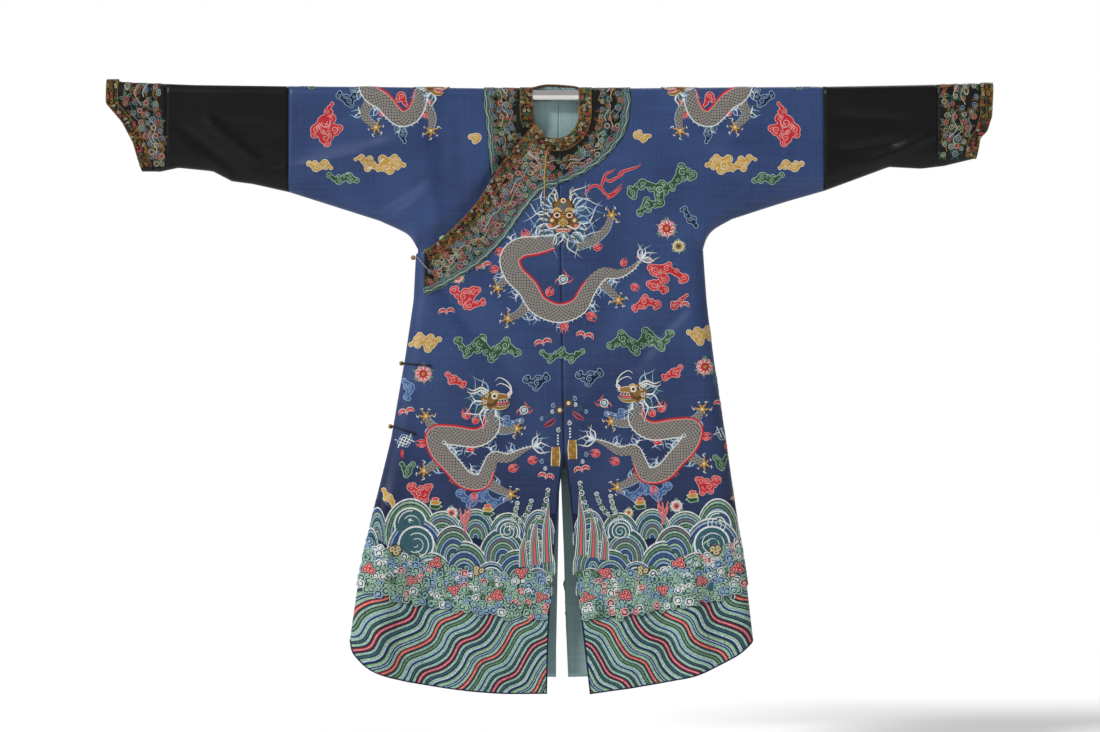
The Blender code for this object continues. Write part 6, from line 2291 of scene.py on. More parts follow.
def neck_edge(side: int, out: float | None, count: int = 160) -> np.ndarray:
    """Cloth places round the neck at a distance from its edge, or along the facing's outer edge.

    Args:
        side: -1 for the wearer's right, 1 for the left.
        out: millimetres from the neck's edge, or None for the facing's edge.
        count: steps along it.

    Returns:
        Places from the front up over the rod and round to the middle of the back.
    """
    edge = (NECK_LEFT if side < 0 else NECK_RIGHT) / MM
    middle = NECK_MIDDLE / MM
    if out is None:
        table = SHOULDER_FACING if side > 0 else ((-0.152, -0.186), (-0.160, -0.085), (-0.168, -0.020),
            (-0.168, 0.0))
        front = [(x / MM, z / MM) for x, z in table]
        reach, drop = side * FACING_HALF_WIDTH / MM, FACING_BACK_DROP / MM
    else:
        turn = np.linspace(0.0, math.pi / 2, 9)
        x = middle + (edge + side * out - middle) * np.sin(turn)
        z = NECK_STRAIGHT / MM + ((NECK_BOTTOM - NECK_STRAIGHT) / MM - out) * np.cos(turn)
        front = [(a, b) for a, b in zip(x, z) if side > 0 or a < -0.0500 / MM - out
            * 0.75] + [(edge + side * out, 0.0)]
        reach, drop = edge + side * out, out
    turn = np.linspace(math.pi / 2, 0.0, 14)
    top = float(look_up(SHOULDER_LINE, reach * MM)) / MM
    rise = BACK_NECK_RISE / MM * np.cos(turn) ** 2
    low = 12.0 - drop
    z = top + rise if out == 0.0 else top + (low - top) * np.cos(turn) ** 1.15
    x = middle + (reach - middle) * np.sin(turn)
    share = np.clip(z / (top + rise), 0.0, 1.0)
    own = np.where(z <= 0.0, z, TURN * np.arcsin(share) * 2 / math.pi)
    back = list(zip(x.tolist(), (2 * TURN - own).tolist()))
    return smooth_curve(front + back, count)


@dataclass
class Brocade:
    """Rows of small gold scrolls that fill a band."""

    work: Needlework
    seed: int
    silks: tuple[Silk, ...] = (Silk.GOLD, Silk.OCHRE, Silk.CREAM, Silk.GOLD, Silk.ROSE, Silk.OCHRE,
        Silk.LEAF, Silk.BROWN)

    def fill(self, strip: Strip, rows: int, pitch: float, size: float) -> None:
        """Lays scrolls at every pitch along the band, in rows, a little uneven.

        Args:
            strip: the band.
            rows: how many rows across.
            pitch: millimetres between scrolls.
            size: radius of a scroll.
        """
        chance = np.random.default_rng(self.seed)
        count = max(int(strip.length() / pitch), 2)
        for row in range(rows):
            share = (row + 0.5) / rows
            for number in range(count):
                along = (number + (0.5 if row % 2 else 0.25)) / (count + 0.5)
                silk = self.silks[int(chance.integers(len(self.silks)))]
                spot = strip.spot(along, share + float(chance.uniform(-0.06, 0.06)),
                    size * float(chance.uniform(0.8, 1.15)),
                                  float(chance.uniform(0, 360)), number % 2 == 0)
                self.work.curl(spot, 1.5, 0.6, silk, 0.1, 0.8, 8)
        for share in (0.03, 0.97):
            self.work.thread(strip.line(share)[::2], 0.7, Silk.OCHRE, 0.1, 1.0)


@dataclass
class Florals:
    """Flowers, leaves, scrolls and tendrils packed on black satin, with a border of waves."""

    work: Needlework
    seed: int
    flowers: tuple = (
        ((Silk.PLUM, Silk.RED, Silk.ROSE), Silk.GOLD), ((Silk.BROWN, Silk.ROSE, Silk.PINK), Silk.RED),
        ((Silk.BROWN, Silk.OCHRE, Silk.CREAM), Silk.GREEN),
        ((Silk.BROWN, Silk.RED, Silk.ORANGE), Silk.GOLD), ((Silk.NAVY, Silk.TEAL, Silk.SKY), Silk.CREAM),
        ((Silk.GREEN, Silk.LEAF), Silk.ROSE),
        ((Silk.BROWN, Silk.OCHRE), Silk.CREAM), ((Silk.PLUM, Silk.RED), Silk.GOLD),
        ((Silk.BROWN, Silk.ORANGE), Silk.PINK),
        ((Silk.TEAL, Silk.MINT), Silk.WHITE),
    )

    def fill(self, strip: Strip, spacing: float, size: float, shares: tuple[float, float] = (0.12,
            0.82)) -> None:
        """Packs the band: a flower, a spray of leaves or a scroll at each place of an uneven net.

        Args:
            strip: the band.
            spacing: the net's spacing.
            size: the size of a flower.
            shares: how far across the band the net reaches.
        """
        chance = np.random.default_rng(self.seed)
        motifs = Motifs(self.work)
        count = max(int(strip.length() / spacing), 2)
        width = float(np.linalg.norm(strip.outer - strip.inner, axis=1).mean()) * (shares[1] - shares[0])
        rows = max(int(round(width / spacing)), 1)
        for number in range(count):
            for row in range(rows):
                along = float(np.clip((number + 0.5 + chance.uniform(-0.3, 0.3) + 0.5 * (row % 2))
                    / (count + 0.5), 0.01, 0.985))
                share = shares[0] + (shares[1] - shares[0]) * (row + 0.5
                    + float(chance.uniform(-0.25, 0.25))) / rows
                turn = float(chance.uniform(0, 360))
                own = size * float(chance.uniform(0.8, 1.2))
                petals, heart = self.flowers[int(chance.integers(len(self.flowers)))]
                kind = int(chance.integers(6))
                green, vein = ((Silk.GREEN, Silk.LEAF), (Silk.BROWN, Silk.OCHRE), (Silk.TEAL, Silk.GREEN),
                    (Silk.GREEN, Silk.MINT))[kind % 4]
                motifs.leaves(strip.spot(along, share, 0.085 * own, turn), 3, green, vein)
                if kind < 4:
                    motifs.flower(strip.spot(along, share, 0.52 * own, turn), petals, heart, 6 + kind % 3)
                else:
                    self.work.curl(strip.spot(along, share, 0.5 * own, turn), 1.6, 0.9,
                        (Silk.CREAM, Silk.SKY)[kind - 4], 0.5, 0.6, 9)
        across = (strip.outer - strip.inner) / np.linalg.norm(strip.outer - strip.inner, axis=1,
            keepdims=True)
        wave = 6.0 * np.sin(np.linspace(0.0, strip.length() / 8.0, len(strip.inner)))[:, None]
        for share, silk, phase in ((0.15, Silk.GOLD, 0), (0.4, Silk.WHITE, 9), (0.6, Silk.CREAM, 4),
                (0.85, Silk.SKY, 13)):
            line = strip.line(shares[0] + (shares[1] - shares[0]) * share) + across * wave
            for start in range(3 + phase, len(line) - 18, 26):
                self.work.thread(line[start : start + 19], 0.9, silk, 0.85, 0.4)

    def border(self, strip: Strip, width: float) -> None:
        """Scalloped water along the outer edge: pale ribbons and a row of ringed waves.

        Args:
            strip: the band.
            width: the border's width.
        """
        across = strip.outer - strip.inner
        unit = across / np.linalg.norm(across, axis=1, keepdims=True)
        count = max(int(strip.length() / 15.0), 2)
        for number in range(count):
            along = (number + 0.5) / count
            share = 1.0 - 0.72 * width / float(np.linalg.norm(across, axis=1).mean())
            rings = ((0.3, Silk.SKY), (0.5, Silk.TEAL), (0.75, Silk.LEAF), (0.86, Silk.NAVY),
                (1.0, Silk.MINT))
            if number % 3 == 1:
                rings = ((0.3, Silk.RED), (0.5, Silk.ROSE), (0.75, Silk.GREEN), (0.86, Silk.NAVY),
                    (1.0, Silk.SKY))
            self.work.rosette(strip.spot(along, share, 0.7 * width), rings, 8, 0.05, lift=0.15 + 0.1
                * (number % 2), columns=16, hatch=0.3)
        turn = np.linspace(0.0, strip.length() / 5.2, len(strip.outer))[:, None]
        line = strip.outer - unit * (0.36 * width)
        self.work.ribbon(line[::3], (0.36 * width,), Silk.TEAL, Silk.GREEN, 0.4, 0.72, step=3.0)
        for across_share, silk, phase in ((0.10, Silk.MINT, 0.0), (0.34, Silk.WHITE, 1.4),
                (0.62, Silk.LEAF, 0.6), (0.86, Silk.SKY, 2.2)):
            line = strip.outer - unit * (across_share * width + 1.6 * np.sin(turn + phase) + 1.2)
            self.work.thread(line[::2], 0.75, silk, 0.7, 1.0)

@dataclass
class Sea:
    """Waves, foam and slanting water stripes over one panel of the skirt."""

    side: int
    face: Face
    repeat: float = 128.0

    def place(self, share: np.ndarray, t: np.ndarray) -> np.ndarray:
        """Cloth places at shares of the way from the slit to the side, at heights t.

        Args:
            share: shares of the way from the slit to the side.
            t: heights.

        Returns:
            Cloth places of the same shape.
        """
        table = (BACK_SLIT if self.face is Face.BACK else FRONT_SLIT)[self.side]
        rows = [(z, x) for x, z in table] + [(-0.400, 0.006)]
        inner = look_up(rows, t * MM) / MM
        inset = FLAP_GAP if self.face is Face.BACK and self.side < 0 else 0.0
        outer = self.side * side_distance(t * MM, self.side, inset) / MM
        return np.stack([inner + (outer - inner) * share, self.laid(t)], axis=-1)

    def laid(self, t: np.ndarray) -> np.ndarray:
        """Heights as cloth places on this face."""
        return 2 * TURN - t if self.face is Face.BACK else t

    def wave(self, x: float) -> float:
        """A design's x, drawn on the wearer's right of the front, on this panel."""
        return x if self.side < 0 else 32.0 - x

    def stripes(self, work: Needlework, panel: np.ndarray) -> None:
        """Stripes over the lowest rows of the panel's own grid.

        They rise towards the slit, steeper near it, and swing in slow waves.

        Args:
            work: where they go.
            panel: places (x, z) of the panel, rows from the hem up.
        """
        rows = panel[: int(np.argmax(panel[..., 1].min(axis=1) > -1.165)) + 1]
        x, z = rows[..., 0] / MM, rows[..., 1] / MM
        out = np.abs(x - 12.0)
        along = 0.67 * z - 0.74 * out
        rise = 0.743 * z + 0.743 * (1.19 * out - 0.54 * out**2 / 860.0)
        swing = 7.0 * np.sin(2 * math.pi * along / 108.0 + 0.8) + 1.2 * np.sin(2 * math.pi * along / 51.0
            + out / 60.0)
        uv = np.stack([along * MM, (rise + swing) / self.repeat], axis=-1)
        work.grid(np.stack([x, self.laid(z)], axis=-1), np.zeros(x.shape), Silk.MINT.linear(), uv)

    def water(self, work: Needlework) -> None:
        """A dark ground of water, then waves in rows, the nearer ones on top.

        Args:
            work: the needlework that it is added to.
        """
        near = SEAM_ROLL * (1.0 - np.cos(quarter_turns(12))) / 0.43
        share = np.concatenate([np.linspace(0.004, 1.0 - near[-1], 52)[:-1], 1.0 - near[::-1]])
        part = np.linspace(0.0, 1.0, 30)[:, None]
        low, high = look_up(SHORE, share, 1), look_up(SHORE, share, 3)
        t = low + 26.0 + (high - low - 26.0) * part + 5.0 * np.sin(share * 40.0) * part
        places = self.place(np.broadcast_to(share, t.shape), t)
        tint = np.where((part > 0.4)[..., None], Silk.NAVY.linear(), Silk.TEAL.linear())
        work.grid(places, np.full(t.shape, 0.1), np.broadcast_to(tint, t.shape + (4,)), places * MM)
        for number, (x, top, wide, high_side) in enumerate(WAVES):
            base = top - high_side * 0.8
            centre = self.wave(x)
            edge = abs(float(self.place(np.array(1.0), np.array(base))[0]))
            wide = min(wide, edge - abs(centre) - 2.0) if abs(centre) + wide > edge - 2.0 else wide
            rings = []
            for ring in range(WAVE_RINGS):
                silk = WAVE_SILKS[(ring + 3 * number) % len(WAVE_SILKS)]
                rings += [((ring + 0.66) / (WAVE_RINGS + 0.5), silk), ((ring + 1.0) / (WAVE_RINGS + 0.5),
                    Silk.NAVY)]
            rings.append((1.0, Silk.WHITE))
            turn = 180.0 if self.face is Face.BACK else 0.0
            spot = Spot(centre, float(self.laid(np.array(base))), wide, turn)
            lift = 0.3 + 0.09 * number
            work.rosette(spot, rings, 0, 0.0, high_side / wide, (-14.0, 194.0), lift, 26, 0.5, 0.2)
            if number % 3 == 1:
                up = float(self.laid(np.array(base + 0.3 * high_side)))
                work.rosette(Spot(centre, up, 0.62 * wide, turn), ((0.9, Silk.TEAL), (1.0, Silk.WHITE)),
                    lift=lift + 0.5, columns=28, dome=0.2)
                work.curl(Spot(centre, up, 0.5 * wide, turn + 80.0 * number), 2.4, 1.3, Silk.WHITE,
                    lift + 0.75, 0.0, 16)

    def foam(self, work: Needlework) -> None:
        """Small ringed curls in an uneven net between the waves and the stripes.

        Args:
            work: the needlework that it is added to.
        """
        chance = np.random.default_rng(41 + self.side + 3 * self.face.value)
        kinds = (
            (Silk.MINT, Silk.NAVY), (Silk.SKY, Silk.NAVY), (Silk.MINT, Silk.TEAL), (Silk.WHITE, Silk.NAVY),
            (Silk.LEAF, Silk.NAVY),
            (Silk.MINT, Silk.BLUE), (Silk.MINT, Silk.NAVY), (Silk.MINT, Silk.GREEN), (Silk.TEAL, Silk.MINT),
            (Silk.SKY, Silk.NAVY),
            (Silk.MINT, Silk.NAVY), (Silk.WHITE, Silk.TEAL), (Silk.PINK, Silk.NAVY),
        )
        number = 0
        for share in np.arange(0.022, 0.98, 0.033):
            low, high = float(look_up(SHORE, share, 1)), float(look_up(SHORE, share, 2))
            for row, t in enumerate(np.arange(low, high, 12.0)):
                at = float(np.clip(share + chance.uniform(-0.008, 0.008), 0.016, 0.978))
                up = t + float(chance.uniform(-2.5, 2.5)) + (5.3 if number % 2
                    else 0.0) - 9.0 * abs(math.sin(share * 22.0))
                light, dark = kinds[int(chance.integers(len(kinds)))]
                size = float(chance.uniform(8.4, 11.6))
                x, laid = self.place(np.array(at), np.array(up))
                spot = Spot(float(x), float(laid), size, float(chance.uniform(0, 360)), number % 2 == 0)
                lift = 3.6 - 0.12 * row + 0.05 * (number % 2)
                work.rosette(spot, ((0.4, light), (0.66, dark), (0.92, light), (1.0, Silk.NAVY)), 4, 0.1,
                    lift=lift, columns=12, dome=0.1)
                work.curl(Spot(spot.x, spot.t, size * 0.9, spot.turn, spot.flip), 0.5, 1.1, light,
                    lift + 0.12, 0.0, 8)
            number += 1
        for number, share in enumerate(np.linspace(0.05, 0.95, 9)):
            low, high = float(look_up(SHORE, share, 1)), float(look_up(SHORE, share, 2))
            part = 0.12 + 0.29 * ((2 * number + 1) % 4)
            x, laid = self.place(np.array(share), np.array(low + (high - low) * part))
            for turn in (0.0, 118.0, 236.0):
                angle = math.radians(turn + 40.0 * number)
                spot = Spot(float(x) + 8.0 * math.cos(angle), float(laid) + 6.0 * math.sin(angle),
                    8.5 + number % 3, turn)
                rings = ((0.3, Silk.PINK), (0.62, Silk.RED), (0.8, Silk.PINK), (1.0, Silk.NAVY))
                if number % 4 == 3:
                    rings = ((0.3, Silk.LEAF), (0.62, Silk.CREAM), (0.8, Silk.GOLD), (1.0, Silk.NAVY))
                work.rosette(spot, rings, 5, 0.12, 0.8, lift=3.9, columns=15, dome=0.3, hatch=0.25)


@dataclass
class Embroidery:
    """All the robe's needlework, front and back."""

    thread: bpy.types.Material
    scales: bpy.types.Material
    stripes: bpy.types.Material
    body: SilkBody
    collar: Collar
    chest_axis: float = 12.0
    skirt_axis: float = 16.0
    skirt_rise: float = 16.0
    shoulder_axis: float = -3.5

    def ready(self, work: Needlework) -> None:
        """Builds a work and rides it on the robe."""
        piece = work.build()
        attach(piece, "root")

    def creatures(self, face: Face) -> None:
        """Dragons, clouds, bats, flowers and emblems of one face.

        Args:
            face: the front or the back.
        """
        label = face.name.lower()
        scales = Needlework(label + "_dragon_scales", self.scales)
        work = Needlework(label + "_dragons", self.thread)
        sky = Needlework(label + "_clouds", self.thread)
        motifs = Motifs(sky)
        plain = Setting(face, axis=self.chest_axis)
        mirror = Setting(face, True, self.skirt_axis, 0.0, self.skirt_rise)
        if face is Face.BACK:
            mirror = Setting(face, True, self.chest_axis)
        for setting in (plain, mirror):
            for part in (scales, work, sky):
                part.setting = setting
            SKIRT_DRAGON.dress(scales, work)
            for fill, edge, lobes in SKIRT_CLOUDS:
                motifs.cloud(lobes, fill, edge)
            for x, t, size, turn in SKIRT_BATS:
                motifs.bat(Spot(x, t, size, turn))
            self.flowers(motifs, SKIRT_FLOWERS)
            motifs.pearl(Spot(-76, -722, 10))
            motifs.knot(Spot(-348, -792, 1.0, 20))
            motifs.fan(Spot(-354, -812, 0.8, -90), 4, 10.0, (0.0, 26.0), 2.0, (Silk.RED, Silk.ROSE), 0.1)
            self.chimes(motifs)
        for part in (scales, work, sky):
            part.setting = plain
        CHEST_DRAGON.dress(scales, work)
        motifs.pearl(Spot(14, -423, 11))
        for fill, edge, lobes in CHEST_CLOUDS:
            motifs.cloud(lobes, fill, edge)
        self.flowers(motifs, CHEST_FLOWERS)
        for path in CHEST_FLAMES:
            sky.ribbon(path, (2.6, 3.4, 3.0, 0.5), Silk.RED, Silk.PINK, 0.3, 0.7)
        if face is Face.FRONT:
            for setting in (Setting(face), Setting(face, True, self.shoulder_axis)):
                for part in (scales, work, sky):
                    part.setting = setting
                SHOULDER_DRAGON.dress(scales, work)
                for fill, edge, lobes in SHOULDER_CLOUDS:
                    motifs.cloud(lobes, fill, edge)
        else:
            for setting in (Setting(face), Setting(face, True, self.shoulder_axis)):
                sky.setting = setting
                for fill, edge, lobes in SHOULDER_CLOUDS[:2] + SHOULDER_CLOUDS[5:7]:
                    motifs.cloud(lobes, fill, edge)
        self.ready(scales)
        self.ready(work)
        self.ready(sky)

    def flowers(self, motifs: Motifs, table: Sequence) -> None:
        """Flowers with leaves behind them."""
        for x, t, radius, petals, heart in table:
            for turn in (20.0, 160.0, 275.0):
                motifs.leaves(Spot(x, t, radius / 11.0, turn), 3)
            motifs.flower(Spot(x, t, radius), petals, heart)

    def chimes(self, motifs: Motifs) -> None:
        """Half of the emblem over the slit: curls, beads and a golden block, and the rocks by the slit.

        Args:
            motifs: the motifs that draw them.
        """
        work = motifs.work
        work.rosette(Spot(6, -722, 9), ((0.5, Silk.CREAM), (1.0, Silk.BROWN)), 5, 0.1, lift=0.3)
        for x, t, radius, silk in ((-8, -712, 6, Silk.SKY), (-10, -726, 5, Silk.WHITE),
                (-20, -736, 7, Silk.TEAL), (-34, -742, 5, Silk.SKY),
                                   (4, -768, 6, Silk.WHITE), (-34, -840, 6, Silk.SKY),
                                   (-26, -856, 5, Silk.WHITE)):
            work.curl(Spot(x, t, radius, 60.0), 1.5, 1.0, silk, 0.4)
        work.ribbon(((-4, -742), (-16, -752), (-30, -760)), (3.0, 6.0, 2.0), Silk.PLUM, Silk.ROSE, 0.25)
        for number in range(4):
            work.rosette(Spot(2, -780 - 6.5 * number, 2.2), ((1.0, Silk.WHITE),), lift=0.3, columns=8)
        work.ribbon(((-3, -806), (-3, -828), (-4, -850)), (9.0, 11.0, 10.0), Silk.OCHRE, Silk.CREAM, 0.3,
            0.8)
        for x, t in ((-8, -814), (2, -820), (-7, -830), (2, -840)):
            work.curl(Spot(x, t, 4.5, 40.0), 1.4, 0.9, Silk.GOLD, 0.7)
        for x, top, low, half in ((-22, -925, -1070, 13), (-50, -962, -1075, 13), (-76, -1002, -1080, 11)):
            for grow, silk, lift in ((1.0, Silk.WHITE, 2.3), (0.82, Silk.NAVY, 2.45),
                    (0.66, Silk.MINT, 2.6), (0.46, Silk.TEAL, 2.75), (0.24, Silk.ROSE, 2.9)):
                path = ((x + 3, top - (1 - grow) * 30), (x - 2, (top + low) / 2), (x, low))
                work.ribbon(path, (0.5, half * 0.75 * grow, half * grow), silk, None, lift, dome=0.1)
        for first, reach in (((-20, -905), (-34, -84)), ((-58, -930), (-44, -62)),
                ((-90, -935), (-22, -50))):
            for number in range(9):
                share = number / 8.0
                spot = Spot(first[0] + reach[0] * share**1.6, first[1] + reach[1] * share, 5.5 + number % 3,
                    50.0 * number, number % 2 == 0)
                work.curl(spot, 1.4, 1.1, (Silk.WHITE, Silk.MINT, Silk.WHITE, Silk.LEAF)[number % 4], 2.4)
        for way, rise in ((-1, 0), (1, 4), (-1, 12), (1, 18)):
            branch = ((-210, -985 + rise), (-210 + way * 8, -974 + rise), (-210 + way * 12, -958 + rise))
            work.ribbon(branch, (2.4, 2.0, 1.2), Silk.ROSE, Silk.PINK, 2.3)
        work.ribbon(((-210, -1000), (-211, -975), (-209, -948)), (2.8, 2.6, 1.4), Silk.ROSE, Silk.PINK, 2.35)
        for x, t in ((-278, -942), (-158, -958)):
            for size, drop, silk, line in ((15, 0, Silk.GREEN, Silk.MINT), (13, 9, Silk.GOLD, Silk.CREAM),
                    (9, 17, Silk.ROSE, Silk.PINK)):
                work.rosette(Spot(x, t + drop, size), ((0.75, silk), (1.0, line)), 5, 0.12, 0.5,
                    lift=2.0 + 0.02 * drop, columns=20, hatch=0.2)

    def sea(self, face: Face) -> None:
        """Water, foam and stripes of one face.

        Args:
            face: the front or the back.
        """
        label = face.name.lower()
        stripes = Needlework(label + "_water_stripes", self.stripes, 1.0)
        water = Needlework(label + "_waves", self.thread, 1.15)
        foam = Needlework(label + "_foam", self.thread, 1.15)
        for side in (-1, 1):
            if face is Face.BACK:
                panel = half_panel(side, self.body.back_edge(side), BACK_HEM[side], FLAP_GAP if side < 0
                    else 0.0)
            elif side > 0:
                panel = half_panel(1, self.body.front_edge(1), FRONT_HEM[1], 0.0)
            else:
                panel = self.body.overlap_grid()[::-1]
            sea = Sea(side, face)
            sea.stripes(stripes, panel)
            sea.water(water)
            sea.foam(foam)
        for work in (stripes, water, foam):
            self.ready(work)

    def trims(self) -> None:
        """Scrolls on the gold-edged bands and flowers on the black satin."""
        brocade = Needlework("gold_scrolls", self.thread, 3.95, 0.8)
        florals = Needlework("collar_flowers", self.thread, 2.45, 0.62)
        for side in (-1, 1):
            ring = Strip(neck_edge(side, 0.0), neck_edge(side, RING_WIDTH / MM))
            Brocade(brocade, 5 + side).fill(ring, 4, 8.0, 3.9)
            collar = Strip(neck_edge(side, RING_WIDTH / MM + 12.0), neck_edge(side, None))
            Florals(florals, 11 + side).fill(collar, 16.5, 12.0, (0.02, 0.80))
            Florals(florals, 11 + side).border(collar, 14.0)
        top, band, facing = (edge / MM for edge in self.collar.overlap_edges())
        Brocade(brocade, 9).fill(Strip(top, band), 3, 8.0, 4.0)
        strip = Strip(band, facing)
        Florals(florals, 21).fill(strip, 16.5, 12.0, (0.04, 0.82))
        Florals(florals, 22).border(strip, 14.0)
        self.ready(brocade)
        self.ready(florals)

    def cuffs(self) -> None:
        """Flowers over the cuffs and scrolls on their bands."""
        work = Needlework("cuff_flowers", self.thread, 1.05, 0.62)
        scrolls = Needlework("cuff_scrolls", self.thread, 2.55, 0.8)
        for side in (-1, 1):
            low = float(look_up(UNDERARM[side], 0.93)) / MM
            t = np.concatenate([np.linspace(low + 10.0, 0.0, 40), np.linspace(3.0, 2 * TURN, 16),
                np.linspace(2 * TURN + 4.0, 2 * TURN - low - 10.0, 40)])
            height = np.where(t > TURN, 2 * TURN - t, t)
            mouth = look_up(CUFF_MOUTH[side], height * MM) / MM
            seam = np.full_like(t, CUFF_SEAM[side] / MM + 3.0)
            edges = [np.stack([side * value, t], axis=-1) for value in (seam, mouth - CUFF_BAND / MM - 1.0,
                mouth - CUFF_BAND / MM, mouth - 0.5)]
            cuff = Strip(edges[0], edges[1])
            Florals(work, 31 + side).fill(cuff, 17.0, 12.5, (0.06, 0.94))
            Brocade(scrolls, 33 + side).fill(Strip(edges[2], edges[3]), 3, 8.5, 4.0)
        self.ready(work)
        self.ready(scrolls)

    def lines(self) -> None:
        """Couched lines: the gold one on the overlap, the dark centre seam and the slit's edges."""
        work = Needlework("seam_threads", self.thread, 1.0)
        gold = smooth_curve(((-24, -131), (-28, -175), (-29, -240), (-31, -317)), 60)
        work.thread(gold[:36], 1.2, Silk.GOLD, 3.4, 1.0)
        work.thread(gold[35:], 0.9, Silk.OCHRE, 1.6, 1.0)
        work.thread(smooth_curve(((4, -206), (9.5, -450), (15.5, -820)), 120), 0.8, Silk.NAVY, 0.3, 1.0)
        for side in (-1, 1):
            edge = [(x / MM - side * -1.6, z / MM) for x, z in FRONT_SLIT[side]]
            work.thread(smooth_curve(edge, 90), 1.7, Silk.NAVY, 0.9, 1.0)
            hem = [(x / MM * 0.998, z / MM + 1.4) for x, z in FRONT_HEM[side]]
            work.thread(smooth_curve(hem, 110), 1.5, Silk.NAVY, 0.9, 1.0)
            back = [(x / MM + side * 1.6, 2 * TURN - z / MM) for x, z in BACK_SLIT[side]]
            work.thread(smooth_curve(back, 90), 1.7, Silk.NAVY, 0.9, 1.0)
        work.thread(smooth_curve(((4, 2 * TURN + 112), (6, 2 * TURN + 400), (8, 2 * TURN + 868)), 160), 0.8,
            Silk.NAVY, 0.3, 1.0)
        self.ready(work)

    def build(self) -> None:
        """Lays all of it."""
        for face in Face:
            self.sea(face)
            self.creatures(face)
        self.trims()
        self.cuffs()
        self.lines()


def round_cord(path: np.ndarray, radius: float, columns: int = 8, strands: int = 0,
        turns: float = 0.0) -> np.ndarray:
    """Rings of a cord round a path; each ring's radius is r (1 + 0.16 cos(strands (angle - twist))).

    Args:
        path: places of its middle line, in metres.
        radius: its mean radius.
        columns: points round it.
        strands: number of twisted strands, 0 for a plain cord.
        turns: turns of twist over its length.

    Returns:
        Points in rows along it, with the first column repeated at the end and both ends closed.
    """
    run = np.gradient(path, axis=0)
    run /= np.maximum(np.linalg.norm(run, axis=1, keepdims=True), 1e-9)
    first = np.cross(run, (0.0, 1.0, 0.0))
    first /= np.maximum(np.linalg.norm(first, axis=1, keepdims=True), 1e-9)
    second = np.cross(run, first)
    angle = np.linspace(0.0, 2 * math.pi, columns + 1)
    twist = np.linspace(0.0, 2 * math.pi * turns, len(path))[:, None]
    size = radius * (1.0 + (0.16 * np.cos(strands * (angle - twist)) if strands else 0.0 * twist))
    rings = path[:, None] + (first[:, None] * (size * np.cos(angle))[..., None]
                             + second[:, None] * (size * np.sin(angle))[..., None])
    ends = [np.repeat(path[[k], None], columns + 1, axis=1) for k in (0, -1)]
    return np.concatenate([ends[0], rings, ends[1]])


